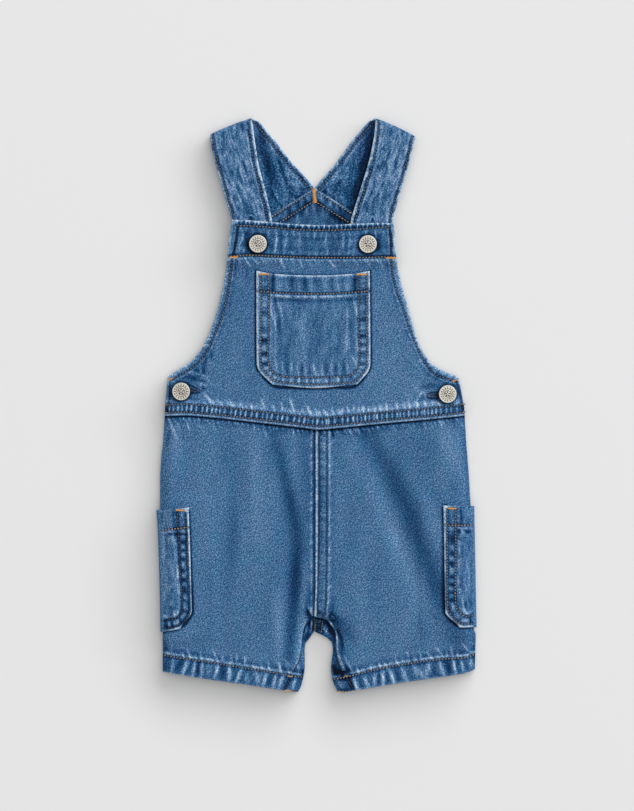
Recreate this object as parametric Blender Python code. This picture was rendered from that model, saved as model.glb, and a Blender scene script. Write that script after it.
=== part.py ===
"""Child's denim dungaree shorts, laid out flat on their back.

Blender 4.5: blender --background --python part.py

The garment lies in the XY plane, shoulders towards +Y, front up, on the floor z = 0.
Its panels lie on each other as they are sewn: back under front, bib lapped over the shorts,
right front lapped over left at the centre seam, straps folded over at the shoulders and
tucked behind the bib, patch pockets on top or wrapped round the side. All sizes below are
in millimetres. A function that ends in "under" gives the height of a layer's lower side,
one that ends in "over" of its upper side.
"""

from collections import namedtuple

import bmesh
import bpy
import numpy as np

MM = 0.001

# ---- cloth -------------------------------------------------------------------------------
CLOTH = 1.0  # one layer of denim
STRAP = 1.6  # the strap: two layers, turned and topstitched
GAP = 0.3  # between two layers that lie on each other
LAP = 1.4  # a layer that steps over another rises by this much
LAP_CLEAR = 0.8  # from this far beyond the other's edge
LAP_RUN = 3.2  # and over this distance
TURNED = 0.8  # what a turned hem or a lapped seam adds to the upper side
TURN_STEP = 1.2  # run of the step down from it
EDGE_DROP = 0.4  # how far the upper side falls at a turned edge

# ---- depths of hems, bands and laps ------------------------------------------------------
WAIST_LAP = 10.0  # the shorts reach this far up behind the bib
WAIST_BAND = 10.4  # the lapped seam at the bib's lower edge
FELL = 7.8  # the left front reaches this far under the right one
LEG_HEM = 11.0
BIB_BAND = 26.5
ARMHOLE_HEM = 6.0
ARMHOLE_TURNED = 0.6  # of what other hems add
NECK_BAND = 11.0  # the peaked top of the back lies this far over the ends of the straps
NECK_RUN = 6.0  # and comes down to the floor over this distance
STRAP_IN_BAND = 8.0  # and they reach this far under it
STRAP_END_Y = 114.0  # the end of each strap that is tucked behind the bib
STRAP_UNDER = 3.3  # its front run lies this high
BIB_POCKET_BAND = 14.0
SIDE_POCKET_BAND = 15.0
POCKET_TURNED = 0.5

# ---- outlines ----------------------------------------------------------------------------
CENTRE_X = 0.4  # the folded edge of the right front at the centre seam
CROTCH_Y = -166.0  # of the fronts
BACK_INSET = 1.6  # the back's armholes lie this far inside the bib's
PEAK = (-1.7, 169.2)  # of the back's top edge
PEAK_SLOPE = 0.625  # it falls this much for each millimetre outwards
BIB_TOP = 141.9
BIB_TOP_SAG = 1.9  # the right end lies lower than the left

Side = namedtuple("Side", "y left right")
Edge = namedtuple("Edge", "y x")
Height = namedtuple("Height", "x y")
Share = namedtuple("Share", "share y")
Fold = namedtuple("Fold", "x0 y0 x1 y1 half_width depth")

SIDES = [
    Side(142.0, -66.0, 60.2),
    Side(128.0, -68.2, 61.4),
    Side(112.0, -69.9, 62.7),
    Side(96.0, -72.2, 65.9),
    Side(82.0, -75.3, 69.8),
    Side(68.0, -79.2, 73.7),
    Side(54.0, -84.6, 77.6),
    Side(44.0, -89.5, 81.6),
    Side(35.0, -97.2, 87.2),
    Side(30.0, -103.6, 92.4),
    Side(25.5, -110.9, 100.6),
    Side(21.3, -116.3, 110.4),
    Side(17.0, -116.5, 111.7),
    Side(7.0, -117.5, 113.7),
    Side(-2.5, -118.2, 115.3),
    Side(-17.0, -119.0, 116.2),
    Side(-30.0, -119.9, 117.0),
    Side(-40.0, -121.1, 117.8),
    Side(-58.0, -122.0, 119.2),
    Side(-77.0, -122.0, 120.2),
    Side(-84.0, -121.9, 120.8),
    Side(-105.0, -121.2, 121.4),
    Side(-137.0, -120.3, 122.0),
    Side(-165.0, -119.7, 122.6),
    Side(-175.0, -119.6, 122.8),
    Side(-179.5, -120.1, 124.3),
    Side(-198.0, -120.0, 123.9),
    Side(-226.0, -120.4, 122.9),
]
# The inner edges of the legs, and what leads to them: the fronts stop short of the crotch,
# where the backs show between them.
LEFT_LEG = [Edge(-192.0, -9.3), Edge(-204.0, -9.2), Edge(-218.0, -11.6), Edge(-226.0, -15.4)]
RIGHT_LEG = [Edge(-193.0, 12.9), Edge(-206.0, 11.4), Edge(-213.0, 12.1), Edge(-226.0, 17.2)]
LEFT_FRONT_CROTCH = [
    Edge(-167.7, -3.4),
    Edge(-170.3, -7.6),
    Edge(-174.5, -9.7),
    Edge(-180.0, -11.0),
    Edge(-186.0, -11.0),
]
RIGHT_FRONT_CROTCH = [
    Edge(-165.6, 6.5),
    Edge(-170.8, 10.1),
    Edge(-174.5, 13.3),
    Edge(-178.6, 15.2),
    Edge(-185.0, 15.0),
]
LEFT_BACK_CROTCH = [Edge(-177.1, -2.1), Edge(-182.5, -5.5), Edge(-187.0, -8.8)]
RIGHT_BACK_CROTCH = [Edge(-177.1, -1.8), Edge(-179.5, 3.4), Edge(-182.3, 8.6), Edge(-187.0, 12.3)]
BACK_SEAM = [Edge(10.0, 0.0), Edge(-140.0, 0.0), Edge(-165.0, -1.4), Edge(-177.1, -1.95)]
WAIST = [
    Height(-119.0, -8.9),
    Height(-102.0, -8.4),
    Height(-83.0, -9.8),
    Height(-45.0, -14.0),
    Height(-8.0, -18.3),
    Height(1.0, -19.4),
    Height(15.0, -18.3),
    Height(54.0, -14.5),
    Height(91.0, -11.1),
    Height(117.0, -8.4),
]
LEFT_HEM = [
    Share(0.0, -208.2),
    Share(0.3, -213.6),
    Share(0.6, -218.2),
    Share(0.84, -222.0),
    Share(1.0, -224.2),
]
RIGHT_HEM = [
    Share(0.0, -224.2),
    Share(0.15, -222.4),
    Share(0.38, -218.4),
    Share(0.68, -213.6),
    Share(0.94, -208.9),
    Share(1.0, -206.6),
]
BIB_POCKET_SIDES = [
    Side(104.4, -47.0, 41.5),
    Side(60.0, -46.9, 41.9),
    Side(31.5, -46.6, 42.0),
    Side(27.5, -45.4, 41.0),
    Side(14.5, -33.0, 30.4),
]
BIB_POCKET_MOUTH = [
    Share(0.0, 104.4),
    Share(0.15, 102.0),
    Share(0.5, 100.7),
    Share(0.85, 102.0),
    Share(1.0, 104.4),
]
BIB_POCKET_FOOT = [Share(0.0, 15.6), Share(0.5, 12.9), Share(1.0, 15.9)]

# ---- straps: the edges of their front runs, and of their back runs under them -------------
Strap = namedtuple("Strap", "name side front_outer front_inner turn_outer turn_inner back_outer back_inner")
STRAPS = [
    Strap(
        name="strap_left",
        side=-1,
        front_outer=[
            Edge(114, -64.4),
            Edge(143, -66.3),
            Edge(161, -71.2),
            Edge(180, -76.7),
            Edge(199, -81.5),
            Edge(211, -83.3),
        ],
        front_inner=[
            Edge(114, -30.8),
            Edge(143, -34.6),
            Edge(167, -39.8),
            Edge(188, -45.2),
            Edge(224, -50.6),
        ],
        turn_outer=(-83.3, 211.0),
        turn_inner=(-49.4, 224.2),
        back_outer=[
            Edge(211, -82.0),
            Edge(188, -73.5),
            Edge(165, -67.5),
            Edge(120, -62.0),
        ],
        back_inner=[
            Edge(224, -47.4),
            Edge(208, -33.9),
            Edge(189, -19.1),
            Edge(171.5, -3.6),
            Edge(168.5, -1.95),
            Edge(160, -1.9),
        ],
    ),
    Strap(
        name="strap_right",
        side=1,
        front_outer=[
            Edge(114, 57.6),
            Edge(143, 59.6),
            Edge(156, 62.6),
            Edge(167, 65.8),
            Edge(188, 72.1),
            Edge(211, 77.4),
        ],
        front_inner=[
            Edge(114, 25.6),
            Edge(143, 27.0),
            Edge(167, 36.7),
            Edge(188, 41.9),
            Edge(224, 46.0),
        ],
        turn_outer=(77.9, 209.2),
        turn_inner=(44.8, 224.2),
        back_outer=[
            Edge(211, 77.0),
            Edge(188, 70.5),
            Edge(165, 63.5),
            Edge(120, 56.5),
        ],
        back_inner=[
            Edge(224, 43.4),
            Edge(208, 29.2),
            Edge(189, 15.2),
            Edge(171.5, 0.4),
            Edge(168.5, -1.45),
            Edge(160, -1.5),
        ],
    ),
]

STRAP_ACROSS = np.linspace(0.0, 1.0, 6)  # shares of a strap's width
TURN_BOW = 0.8  # a strap's turn bows out by this much
# ---- pockets wrapped round the side seams ------------------------------------------------
Wrap = namedtuple(
    "Wrap",
    "name side out top_front top_side foot_front foot_side reach corner_reach corner_rise",
)
WRAPS = [
    Wrap(
        name="cargo_pocket_left",
        side=-1,
        out=[
            Edge(-82.3, -125.0),
            Edge(-92, -124.2),
            Edge(-112, -123.4),
            Edge(-137, -122.6),
            Edge(-177, -121.8),
        ],
        top_front=-79.8,
        top_side=-82.3,
        foot_front=-174.4,
        foot_side=-177.0,
        reach=22.6,
        corner_reach=14.0,
        corner_rise=13.6,
    ),
    Wrap(
        name="cargo_pocket_right",
        side=1,
        out=[
            Edge(-79, 123.2),
            Edge(-137, 124.3),
            Edge(-174, 125.0),
        ],
        top_front=-78.4,
        top_side=-79.1,
        foot_front=-173.7,
        foot_side=-173.6,
        reach=21.4,
        corner_reach=11.0,
        corner_rise=12.0,
    ),
]
WRAP_BACK = 38.0  # how far it reaches in from the side on the back
WRAP_CLEAR = 1.0  # the panels over its back half are lifted from this far beyond it
WRAP_RUN = 6.0
WRAP_RISE = CLOTH + GAP

# ---- how high the front lies over the back, and its largest folds -------------------------
LOFT_RUN = 24.0  # the front rises over this distance in from a side
LOFT = [
    Edge(150.0, 2.9),
    Edge(110.0, 2.2),
    Edge(60.0, 2.2),
    Edge(5.0, 1.9),
    Edge(-15.0, 1.6),
    Edge(-60.0, 2.9),
    Edge(-140.0, 3.3),
    Edge(-195.0, 2.6),
    Edge(-226.0, 2.3),
]
FOLDS = [
    Fold(-61.0, -26.0, -55.0, -118.0, 10.0, 0.9),
    Fold(-28.0, -62.0, -13.0, -184.0, 10.0, 1.4),
    Fold(42.0, -28.0, 62.0, -100.0, 13.0, 1.5),
    Fold(62.0, -100.0, 92.0, -176.0, 13.0, 1.2),
    Fold(-97.0, -24.0, -104.0, -66.0, 9.0, 0.7),
]

# ---- metal -------------------------------------------------------------------------------
Button = namedtuple("Button", "name x y slit")
BUTTONS = [
    Button("button_bib_left", -45.6, 125.2, 0.0),
    Button("button_bib_right", 40.0, 125.0, 0.0),
    Button("button_side_left", -105.4, 10.3, 14.5),
    Button("button_side_right", 102.1, 8.3, -14.5),
]
BUTTON_R = 7.25
COLLAR_R = 2.2
# The head's profile: distance from the axis, and height above the cloth that it sits on.
Ring = namedtuple("Ring", "radius rise")
BUTTON_HEAD = [
    Ring(6.3, 0.3),
    Ring(BUTTON_R, 0.8),
    Ring(BUTTON_R, 1.5),
    Ring(6.8, 2.1),
    Ring(6.0, 2.3),
    Ring(3.6, 2.4),
]
BUTTON_CROWN = 2.6
BUTTON_STEPS = 20
HOLE_CLEARANCE = 0.5
SLIT_HALF = 0.6
SLIT_END_R = 1.2

DENIM = (0.075, 0.165, 0.305)
DENIM_INSIDE = (0.045, 0.105, 0.205)
SILVER = (0.72, 0.69, 0.63)


# ---- curves ------------------------------------------------------------------------------
def step(start, end, at):
    """0 up to start, 1 from end on, and smooth between them."""
    t = np.clip((at - start) / (end - start), 0.0, 1.0)
    return t * t * (3.0 - 2.0 * t)


def between(first, last, share):
    return first + share * (last - first)


def through(rows, key, value, at):
    """A smooth curve through a table's rows, value as a function of key, without overshoot."""
    rows = sorted(rows, key=lambda row: getattr(row, key))
    x = np.array([getattr(row, key) for row in rows], float)
    y = np.array([getattr(row, value) for row in rows], float)
    run = np.diff(x)
    rise = np.diff(y) / run
    same_way = rise[1:] * rise[:-1] > 0
    mean = 2 * rise[1:] * rise[:-1] / np.where(same_way, rise[1:] + rise[:-1], 1.0)
    slope = np.concatenate([rise[:1], np.where(same_way, mean, 0.0), rise[-1:]])
    at = np.clip(at, x[0], x[-1])
    k = np.clip(np.searchsorted(x, at) - 1, 0, len(run) - 1)
    t = (at - x[k]) / run[k]
    return (
        (1 + 2 * t) * (1 - t) ** 2 * y[k]
        + t * (1 - t) ** 2 * run[k] * slope[k]
        + t * t * (3 - 2 * t) * y[k + 1]
        - t * t * (1 - t) * run[k] * slope[k + 1]
    )


def edge_x(rows, y):
    return through(rows, "y", "x", y)


def left_side(y):
    return through(SIDES, "y", "left", y)


def right_side(y):
    return through(SIDES, "y", "right", y)


def waist(x):
    return through(WAIST, "x", "y", x)


def neck(x):
    """The peaked top edge of the back."""
    return PEAK[1] - PEAK_SLOPE * np.abs(x - PEAK[0])


def from_line(fold, x, y):
    """Distance from the straight line of a fold, ends included."""
    dx, dy = fold.x1 - fold.x0, fold.y1 - fold.y0
    t = np.clip(((x - fold.x0) * dx + (y - fold.y0) * dy) / (dx * dx + dy * dy), 0.0, 1.0)
    return np.hypot(x - fold.x0 - t * dx, y - fold.y0 - t * dy)


def from_side(x, y):
    """How far in from the nearer side a point lies."""
    return np.minimum(x - left_side(y), right_side(y) - x)


def inset(x, y):
    """How far in from the nearer side or inseam a point lies."""
    left_edge = edge_x([*LEFT_FRONT_CROTCH, *LEFT_LEG], y)
    right_edge = edge_x([*RIGHT_FRONT_CROTCH, *RIGHT_LEG], y)
    legs = np.maximum(left_edge - x, x - right_edge)
    inner = np.where(y < CROTCH_Y, legs, np.hypot(x, y - CROTCH_Y))
    return np.clip(np.minimum(from_side(x, y), inner), 0.0, None)


# ---- heights of the layers ---------------------------------------------------------------
def lifted(clear, run, beyond):
    """1 until clear past an edge, then down to 0 over a run. beyond is the distance past it."""
    return 1.0 - step(clear, clear + run, beyond)


def wrap_lift(x, y):
    """How far the back half of a side pocket lifts what lies on it."""
    lift = 0.0
    for wrap in WRAPS:
        in_from_side = np.where(wrap.side * x > 0, from_side(x, y), np.inf)
        along = lifted(2.0, 10.0, wrap.foot_side - y) * lifted(2.0, 10.0, y - wrap.top_front)
        lift = lift + along * lifted(WRAP_CLEAR, WRAP_RUN, in_from_side - WRAP_BACK)
    return WRAP_RISE * lift


def back_under(x, y):
    return wrap_lift(x, y) + (STRAP + GAP) * lifted(0.0, NECK_RUN, neck(x) - y - NECK_BAND)


def front_under(x, y):
    inside = inset(x, y)
    loft = edge_x(LOFT, y) * step(0.0, LOFT_RUN, inside)
    for fold in FOLDS:
        near = lifted(0.0, fold.half_width, from_line(fold, x, y))
        loft = loft - fold.depth * near * step(4.0, 16.0, inside)
    return wrap_lift(x, y) + CLOTH + GAP + loft


def fell_lift(x, y):
    """The right front steps over the left one along the centre seam."""
    return LAP * lifted(LAP_CLEAR, LAP_RUN, x - CENTRE_X - FELL) * lifted(0.0, 14.0, CROTCH_Y - y)


def bib_under(x, y):
    over_waist = lifted(LAP_CLEAR, LAP_RUN, y - waist(x) - WAIST_LAP)
    over_fell = lifted(2.0, 12.0, CENTRE_X - x) * lifted(6.0, 16.0, x - FELL)
    under = front_under(x, y) + LAP * over_waist * (1.0 + over_fell)
    over_strap = 0.0
    for strap in STRAPS:
        outer, inner = edge_x(strap.front_outer, y), edge_x(strap.front_inner, y)
        beyond = np.abs(x - (outer + inner) / 2) - np.abs(outer - inner) / 2
        over_strap = over_strap + lifted(4.0, 8.0, beyond) * lifted(2.0, 7.0, STRAP_END_Y - y)
    return under + over_strap * (STRAP_UNDER + STRAP + GAP - under)


def turned(depth, from_edge):
    """1 within a turned band, 0 beyond it."""
    return lifted(-TURN_STEP / 2, TURN_STEP, from_edge - depth)


def bib_over(x, y):
    band = np.maximum(turned(BIB_BAND, BIB_TOP - y), turned(WAIST_BAND, y - waist(x)))
    band = np.maximum(band, ARMHOLE_TURNED * turned(ARMHOLE_HEM, from_side(x, y)))
    return bib_under(x, y) + CLOTH + TURNED * band


def short_front_over(x, y):
    return front_under(x, y) + CLOTH


# ---- grids -------------------------------------------------------------------------------
def stations(near_start, near_end, count):
    """Places along a line as (shift, share), where a place is shift + share * length. The
    distances near_start and near_end are kept, and count more places lie evenly between."""
    share = np.linspace(0.0, 1.0, count + 2)[1:-1]
    evenly = between(near_start[-1], -near_end[-1], share)
    shift = np.concatenate([near_start, evenly, -np.array(near_end[::-1], float)])
    share = np.concatenate([np.zeros(len(near_start)), share, np.ones(len(near_end))])
    return shift, share


def panel_grid(left, right, top, bottom, across, down):
    """X and Y of a panel's points. left and right give x at a height, top and bottom give y
    at a share of the width, and across and down are stations."""
    high, low = (
        edge(across[0] / (right(edge(0.5)) - left(edge(0.5))) + across[1]) for edge in (top, bottom)
    )
    y = high[None, :] - down[0][:, None] - down[1][:, None] * (high - low)[None, :]
    x = left(y) + across[0][None, :] + across[1][None, :] * (right(y) - left(y))
    return x, y


# ---- solids ------------------------------------------------------------------------------
def material(name, colour, roughness, metallic=0.0):
    made = bpy.data.materials.new(name)
    made.use_nodes = True
    shader = made.node_tree.nodes["Principled BSDF"]
    shader.inputs["Base Color"].default_value = (*colour, 1.0)
    shader.inputs["Roughness"].default_value = roughness
    shader.inputs["Metallic"].default_value = metallic
    return made


def finish_solid(name, vertices, faces, finish):
    """One closed, named object with its faces pointing out."""
    mesh = bpy.data.meshes.new(name)
    mesh.from_pydata([tuple(v) for v in np.asarray(vertices) * MM], [], faces)
    shape = bmesh.new()
    shape.from_mesh(mesh)
    bmesh.ops.recalc_face_normals(shape, faces=shape.faces)
    shape.to_mesh(mesh)
    shape.free()
    mesh.shade_smooth()
    mesh.set_sharp_from_angle(angle=0.9)
    mesh.materials.append(finish)
    made = bpy.data.objects.new(name, mesh)
    bpy.context.scene.collection.objects.link(made)
    return made


def wall(name, outer, inner, finish):
    """A cloth wall between two grids of points, rows x columns x 3, closed round its edge."""
    rows, columns = outer.shape[:2]

    def at(side, row, column):
        return (side * rows + row) * columns + column

    faces = []
    for row in range(rows - 1):
        for column in range(columns - 1):
            quad = [(row, column), (row, column + 1), (row + 1, column + 1), (row + 1, column)]
            faces.append([at(0, *corner) for corner in quad])
            faces.append([at(1, *corner) for corner in reversed(quad)])
    rim = [(0, column) for column in range(columns)]
    rim += [(row, columns - 1) for row in range(1, rows)]
    rim += [(rows - 1, column) for column in range(columns - 2, -1, -1)]
    rim += [(row, 0) for row in range(rows - 2, 0, -1)]
    for here, after in zip(rim, rim[1:] + rim[:1]):
        faces.append([at(0, *here), at(1, *here), at(1, *after), at(0, *after)])
    vertices = np.concatenate([outer.reshape(-1, 3), inner.reshape(-1, 3)])
    return finish_solid(name, vertices, faces, finish)


def layer(name, x, y, under, over, finish, turned_sides=()):
    """A wall whose two sides lie one above the other. The upper side falls at turned sides."""
    over = over.copy()
    for column in turned_sides:
        over[:, column] -= EDGE_DROP
    return wall(name, np.stack([x, y, over], -1), np.stack([x, y, under], -1), finish)


# ---- the shorts --------------------------------------------------------------------------
# Fronts and backs share their rows of points from LEG_TOP below the waist down to the hem.
LEG_TOP = 5.0
LEG_ROWS = 10
HEM_ROWS = [0.0, LEG_HEM - TURN_STEP / 2, LEG_HEM + TURN_STEP / 2]
CROTCH_ROWS = [21.0, 30.0, 36.0, 39.2, 42.5, 45.3, 47.1, 49.7, 53.4, 56.5, 58.6, 62.0, 68.0]


def hem_y(rows):
    return lambda share: through(rows, "share", "y", share)


def build_short_front(name, side, finish):
    """One front, from behind the bib down to its turned hem."""
    fold_side = [0.0, 1.5, 5.0, 10.0, 15.0, 20.0, 25.0]
    if side < 0:
        seam = [Edge(10.0, CENTRE_X + FELL), Edge(-156.0, CENTRE_X + FELL), Edge(-163.0, 4.0)]
        seam += [*LEFT_FRONT_CROTCH, *LEFT_LEG]
        left, right = left_side, lambda y: edge_x(seam, y)
        across = stations(fold_side, [0.0, 4.0, 9.0], 8)
    else:
        seam = [Edge(10.0, CENTRE_X), Edge(-161.0, CENTRE_X), *RIGHT_FRONT_CROTCH, *RIGHT_LEG]
        left, right = lambda y: edge_x(seam, y), right_side
        lap_end = FELL + LAP_CLEAR
        across = stations([0.0, 3.0, lap_end, lap_end + LAP_RUN], fold_side, 8)
    start, end = left(0.0), right(0.0)
    x, y = panel_grid(
        left,
        right,
        lambda share: waist(between(start, end, share)) + WAIST_LAP,
        hem_y(LEFT_HEM if side < 0 else RIGHT_HEM),
        across,
        stations([0.0, WAIST_LAP, WAIST_LAP + LEG_TOP], [*HEM_ROWS, *CROTCH_ROWS], LEG_ROWS),
    )
    under = front_under(x, y)
    if side > 0:
        under = under + fell_lift(x, y)
    over = under + CLOTH + TURNED * turned(LEG_HEM, y - y[-1])
    layer(name, x, y, under, over, finish, turned_sides=[0 if side < 0 else -1])


def build_short_back(name, side, finish):
    """One back, flat on the floor but where a side pocket lies under it."""
    lift_end = WRAP_BACK + WRAP_CLEAR
    fold_side = [0.0, 1.5, 14.0, 28.0, lift_end, lift_end + WRAP_RUN]
    leg = [*LEFT_BACK_CROTCH, *LEFT_LEG] if side < 0 else [*RIGHT_BACK_CROTCH, *RIGHT_LEG]

    def seam(y):
        return np.where(y > leg[0].y, edge_x(BACK_SEAM, y) + side * GAP / 2, edge_x(leg, y))

    if side < 0:
        left, right = left_side, seam
        across = stations(fold_side, [0.0], 5)
    else:
        left, right = seam, right_side
        across = stations([0.0], fold_side, 5)
    start, end = left(-10.0), right(-10.0)
    x, y = panel_grid(
        left,
        right,
        lambda share: waist(between(start, end, share)) - GAP,
        hem_y(LEFT_HEM if side < 0 else RIGHT_HEM),
        across,
        stations([0.0, LEG_TOP - GAP], [*HEM_ROWS, *CROTCH_ROWS], LEG_ROWS),
    )
    layer(name, x, y, back_under(x, y), back_under(x, y) + CLOTH, finish)


def build_side_pocket(wrap, finish):
    """A patch that starts on the front, turns round the side and ends under the back."""
    front = np.linspace(1.0, 0.0, 6)
    back = np.linspace(0.0, 1.0, 5)
    bend = np.radians(np.linspace(75.0, -75.0, 5))
    rows = 13
    down = stations([0.0], [0.0], rows - 2)[1]
    side_x = left_side if wrap.side < 0 else right_side
    outer, inner = [], []
    for share in down:
        y_side = between(wrap.top_side, wrap.foot_side, share)
        y_front = between(wrap.top_front, wrap.foot_front, share)
        into_corner = step(wrap.foot_front + wrap.corner_rise, wrap.foot_front, y_front)
        reach = between(wrap.reach, wrap.corner_reach, into_corner)
        band = POCKET_TURNED * turned(SIDE_POCKET_BAND, share * (wrap.top_side - wrap.foot_side))
        outer_row, inner_row = [], []
        for s in front:
            in_from_side = between(1.5, reach, s)
            y = between(y_side, y_front, s)
            x = side_x(y) - wrap.side * in_from_side
            z = short_front_over(x, y) + GAP
            inner_row.append((x, y, z))
            outer_row.append((x, y, z + CLOTH + band * min(1.0, 3.0 * s)))
        top = outer_row[-1][2]
        radius = top / 2
        middle = edge_x(wrap.out, y_side) - wrap.side * radius
        for angle in bend:
            for row, r in ((outer_row, radius), (inner_row, radius - CLOTH)):
                row.append((middle + wrap.side * r * np.cos(angle), y_side, radius + r * np.sin(angle)))
        back_corner = step(wrap.foot_side + wrap.corner_rise, wrap.foot_side, y_side)
        back_reach = WRAP_BACK - (wrap.reach - wrap.corner_reach) * back_corner
        for s in back:
            x = side_x(y_side) - wrap.side * between(1.5, back_reach, s)
            inner_row.append((x, y_side, CLOTH))
            outer_row.append((x, y_side, 0.0))
        outer.append(outer_row)
        inner.append(inner_row)
    wall(wrap.name, np.array(outer), np.array(inner), finish)


# ---- above the waist ---------------------------------------------------------------------
def build_bib(finish):
    """The front bib: top and armholes turned in, lapped over the shorts at the waist."""
    hem_side = [0.0, ARMHOLE_HEM - TURN_STEP / 2, ARMHOLE_HEM + TURN_STEP / 2, 14.0, 21.0, 28.0]
    start, end = left_side(-9.0), right_side(-9.0)
    x, y = panel_grid(
        left_side,
        right_side,
        lambda share: BIB_TOP - BIB_TOP_SAG * step(0.1, 0.7, share),
        lambda share: waist(between(start, end, share)),
        stations(hem_side, hem_side, 14),
        stations(
            [0.0, 9.0, 18.0, BIB_BAND - TURN_STEP / 2, BIB_BAND + TURN_STEP / 2, 29.0, 35.5],
            [0.0, WAIST_BAND - TURN_STEP / 2, WAIST_BAND + TURN_STEP / 2, WAIST_LAP + LAP_CLEAR + LAP_RUN],
            11,
        ),
    )
    bib = layer("bib_front", x, y, bib_under(x, y), bib_over(x, y), finish, turned_sides=[0, -1])
    for button in BUTTONS:
        cut_hole(bib, button)


def cut_hole(cloth, button):
    """A round hole at a button's collar. A buttonhole's slit runs on from it to a small eye."""
    radius = COLLAR_R + HOLE_CLEARANCE
    if button.slit:
        towards, length = np.sign(button.slit), abs(button.slit)
        near, far = np.arcsin(SLIT_HALF / radius), np.arcsin(SLIT_HALF / SLIT_END_R)
        round_collar = np.linspace(near, 2 * np.pi - near, 13)
        outline = [(radius * np.cos(a), radius * np.sin(a)) for a in round_collar]
        outline += [
            (length - SLIT_END_R * np.cos(a), -SLIT_END_R * np.sin(a))
            for a in np.linspace(far, 2 * np.pi - far, 9)
        ]
    else:
        towards = 1.0
        outline = [(radius * np.cos(a), radius * np.sin(a)) for a in np.linspace(0, 2 * np.pi, 13)[:-1]]
    count = len(outline)
    vertices = [(button.x + towards * px, button.y + py, z) for z in (-1.0, 15.0) for px, py in outline]
    faces = [list(range(count)), list(range(2 * count - 1, count - 1, -1))]
    faces += [[k, (k + 1) % count, count + (k + 1) % count, count + k] for k in range(count)]
    cutter = finish_solid(f"cut_{button.name}", vertices, faces, cloth.data.materials[0])
    cutter.hide_render = True
    cutter.display_type = "WIRE"
    hole = cloth.modifiers.new(f"hole_{button.name}", "BOOLEAN")
    hole.operation = "DIFFERENCE"
    hole.object = cutter


def build_bib_pocket(finish):
    """A patch on the bib with a turned mouth that sags, and cut-off lower corners."""
    x, y = panel_grid(
        lambda at: through(BIB_POCKET_SIDES, "y", "left", at),
        lambda at: through(BIB_POCKET_SIDES, "y", "right", at),
        lambda share: through(BIB_POCKET_MOUTH, "share", "y", share),
        lambda share: through(BIB_POCKET_FOOT, "share", "y", share),
        stations([0.0, 2.0], [0.0, 2.0], 8),
        stations(
            [0.0, BIB_POCKET_BAND - TURN_STEP / 2, BIB_POCKET_BAND + TURN_STEP / 2],
            [0.0, 5.0, 10.0, 15.0],
            6,
        ),
    )
    under = bib_over(x, y) + GAP
    over = under + CLOTH + POCKET_TURNED * turned(BIB_POCKET_BAND, y[0] - y)
    over[[0, -1]] -= EDGE_DROP / 2
    layer("bib_pocket", x, y, under, over, finish, turned_sides=[0, -1])


def build_back_bodice(finish):
    """The back above the waist. Its peaked top is a band over the ends of the straps."""

    def left(y):
        return left_side(y) + BACK_INSET * step(10.0, 24.0, y) + 1.6 * step(100.0, 130.0, y)

    def right(y):
        return right_side(y) - BACK_INSET * step(10.0, 24.0, y)

    start, end = left(neck(-63.0)), right(neck(59.0))
    shift, share = stations([0.0, 7.0], [0.0, 7.0], 13)
    at_peak = np.argmin(np.abs(start + shift + share * (end - start) - PEAK[0]))
    share[at_peak] = (PEAK[0] - start - shift[at_peak]) / (end - start)
    low_start, low_end = left_side(-9.0), right_side(-9.0)
    x, y = panel_grid(
        left,
        right,
        lambda across: neck(between(start, end, across)),
        lambda across: waist(between(low_start, low_end, across)),
        (shift, share),
        stations([0.0, 5.0, NECK_BAND, NECK_BAND + NECK_RUN], [0.0], 13),
    )
    layer("back_bodice", x, y, back_under(x, y), back_under(x, y) + CLOTH, finish)


def strap_run(outer_edge, inner_edge, outer_y, inner_y, rows, height):
    """Rows of points across one run of a strap, at one height, between two pairs of ends."""
    share = np.linspace(0.0, 1.0, rows)
    y_outer, y_inner = between(*outer_y, share)[:, None], between(*inner_y, share)[:, None]
    x = between(edge_x(outer_edge, y_outer), edge_x(inner_edge, y_inner), STRAP_ACROSS)
    y = between(y_outer, y_inner, STRAP_ACROSS)
    return np.stack([x, y, np.full_like(x, height)], -1)


def build_strap(strap, finish):
    """A strap from behind the bib, over the shoulder and down to the back's peaked top."""
    middle = (STRAP_UNDER + STRAP) / 2
    along = np.subtract(strap.turn_inner, strap.turn_outer)
    out = strap.side * np.array([along[1], -along[0]]) / np.hypot(*along)
    turn_outer, turn_inner = strap.turn_outer - middle * out, strap.turn_inner - middle * out
    bow = 4.0 * TURN_BOW * STRAP_ACROSS * (1.0 - STRAP_ACROSS)
    turn = between(turn_outer, turn_inner, STRAP_ACROSS[:, None]) + bow[:, None] * out
    end_outer = neck(strap.back_outer[-1].x) - STRAP_IN_BAND
    end_inner = neck(strap.back_inner[-1].x) - STRAP_IN_BAND

    def face(radius):
        """The strap's outer face for the outer radius of the turn, or its inner face."""
        front = strap_run(
            strap.front_outer,
            strap.front_inner,
            (STRAP_END_Y, turn_outer[1]),
            (STRAP_END_Y, turn_inner[1]),
            13,
            middle + radius,
        )
        back = strap_run(
            strap.back_outer,
            strap.back_inner,
            (turn_outer[1], end_outer),
            (turn_inner[1], end_inner),
            11,
            middle - radius,
        )
        bend = []
        for angle in np.radians([60.0, 30.0, 0.0, -30.0, -60.0]):
            height = np.full(len(turn), middle + radius * np.sin(angle))
            bend.append(np.column_stack([turn + radius * np.cos(angle) * out, height]))
        return np.concatenate([front, bend, back])

    wall(strap.name, face(middle), face(middle - STRAP), finish)


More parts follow.
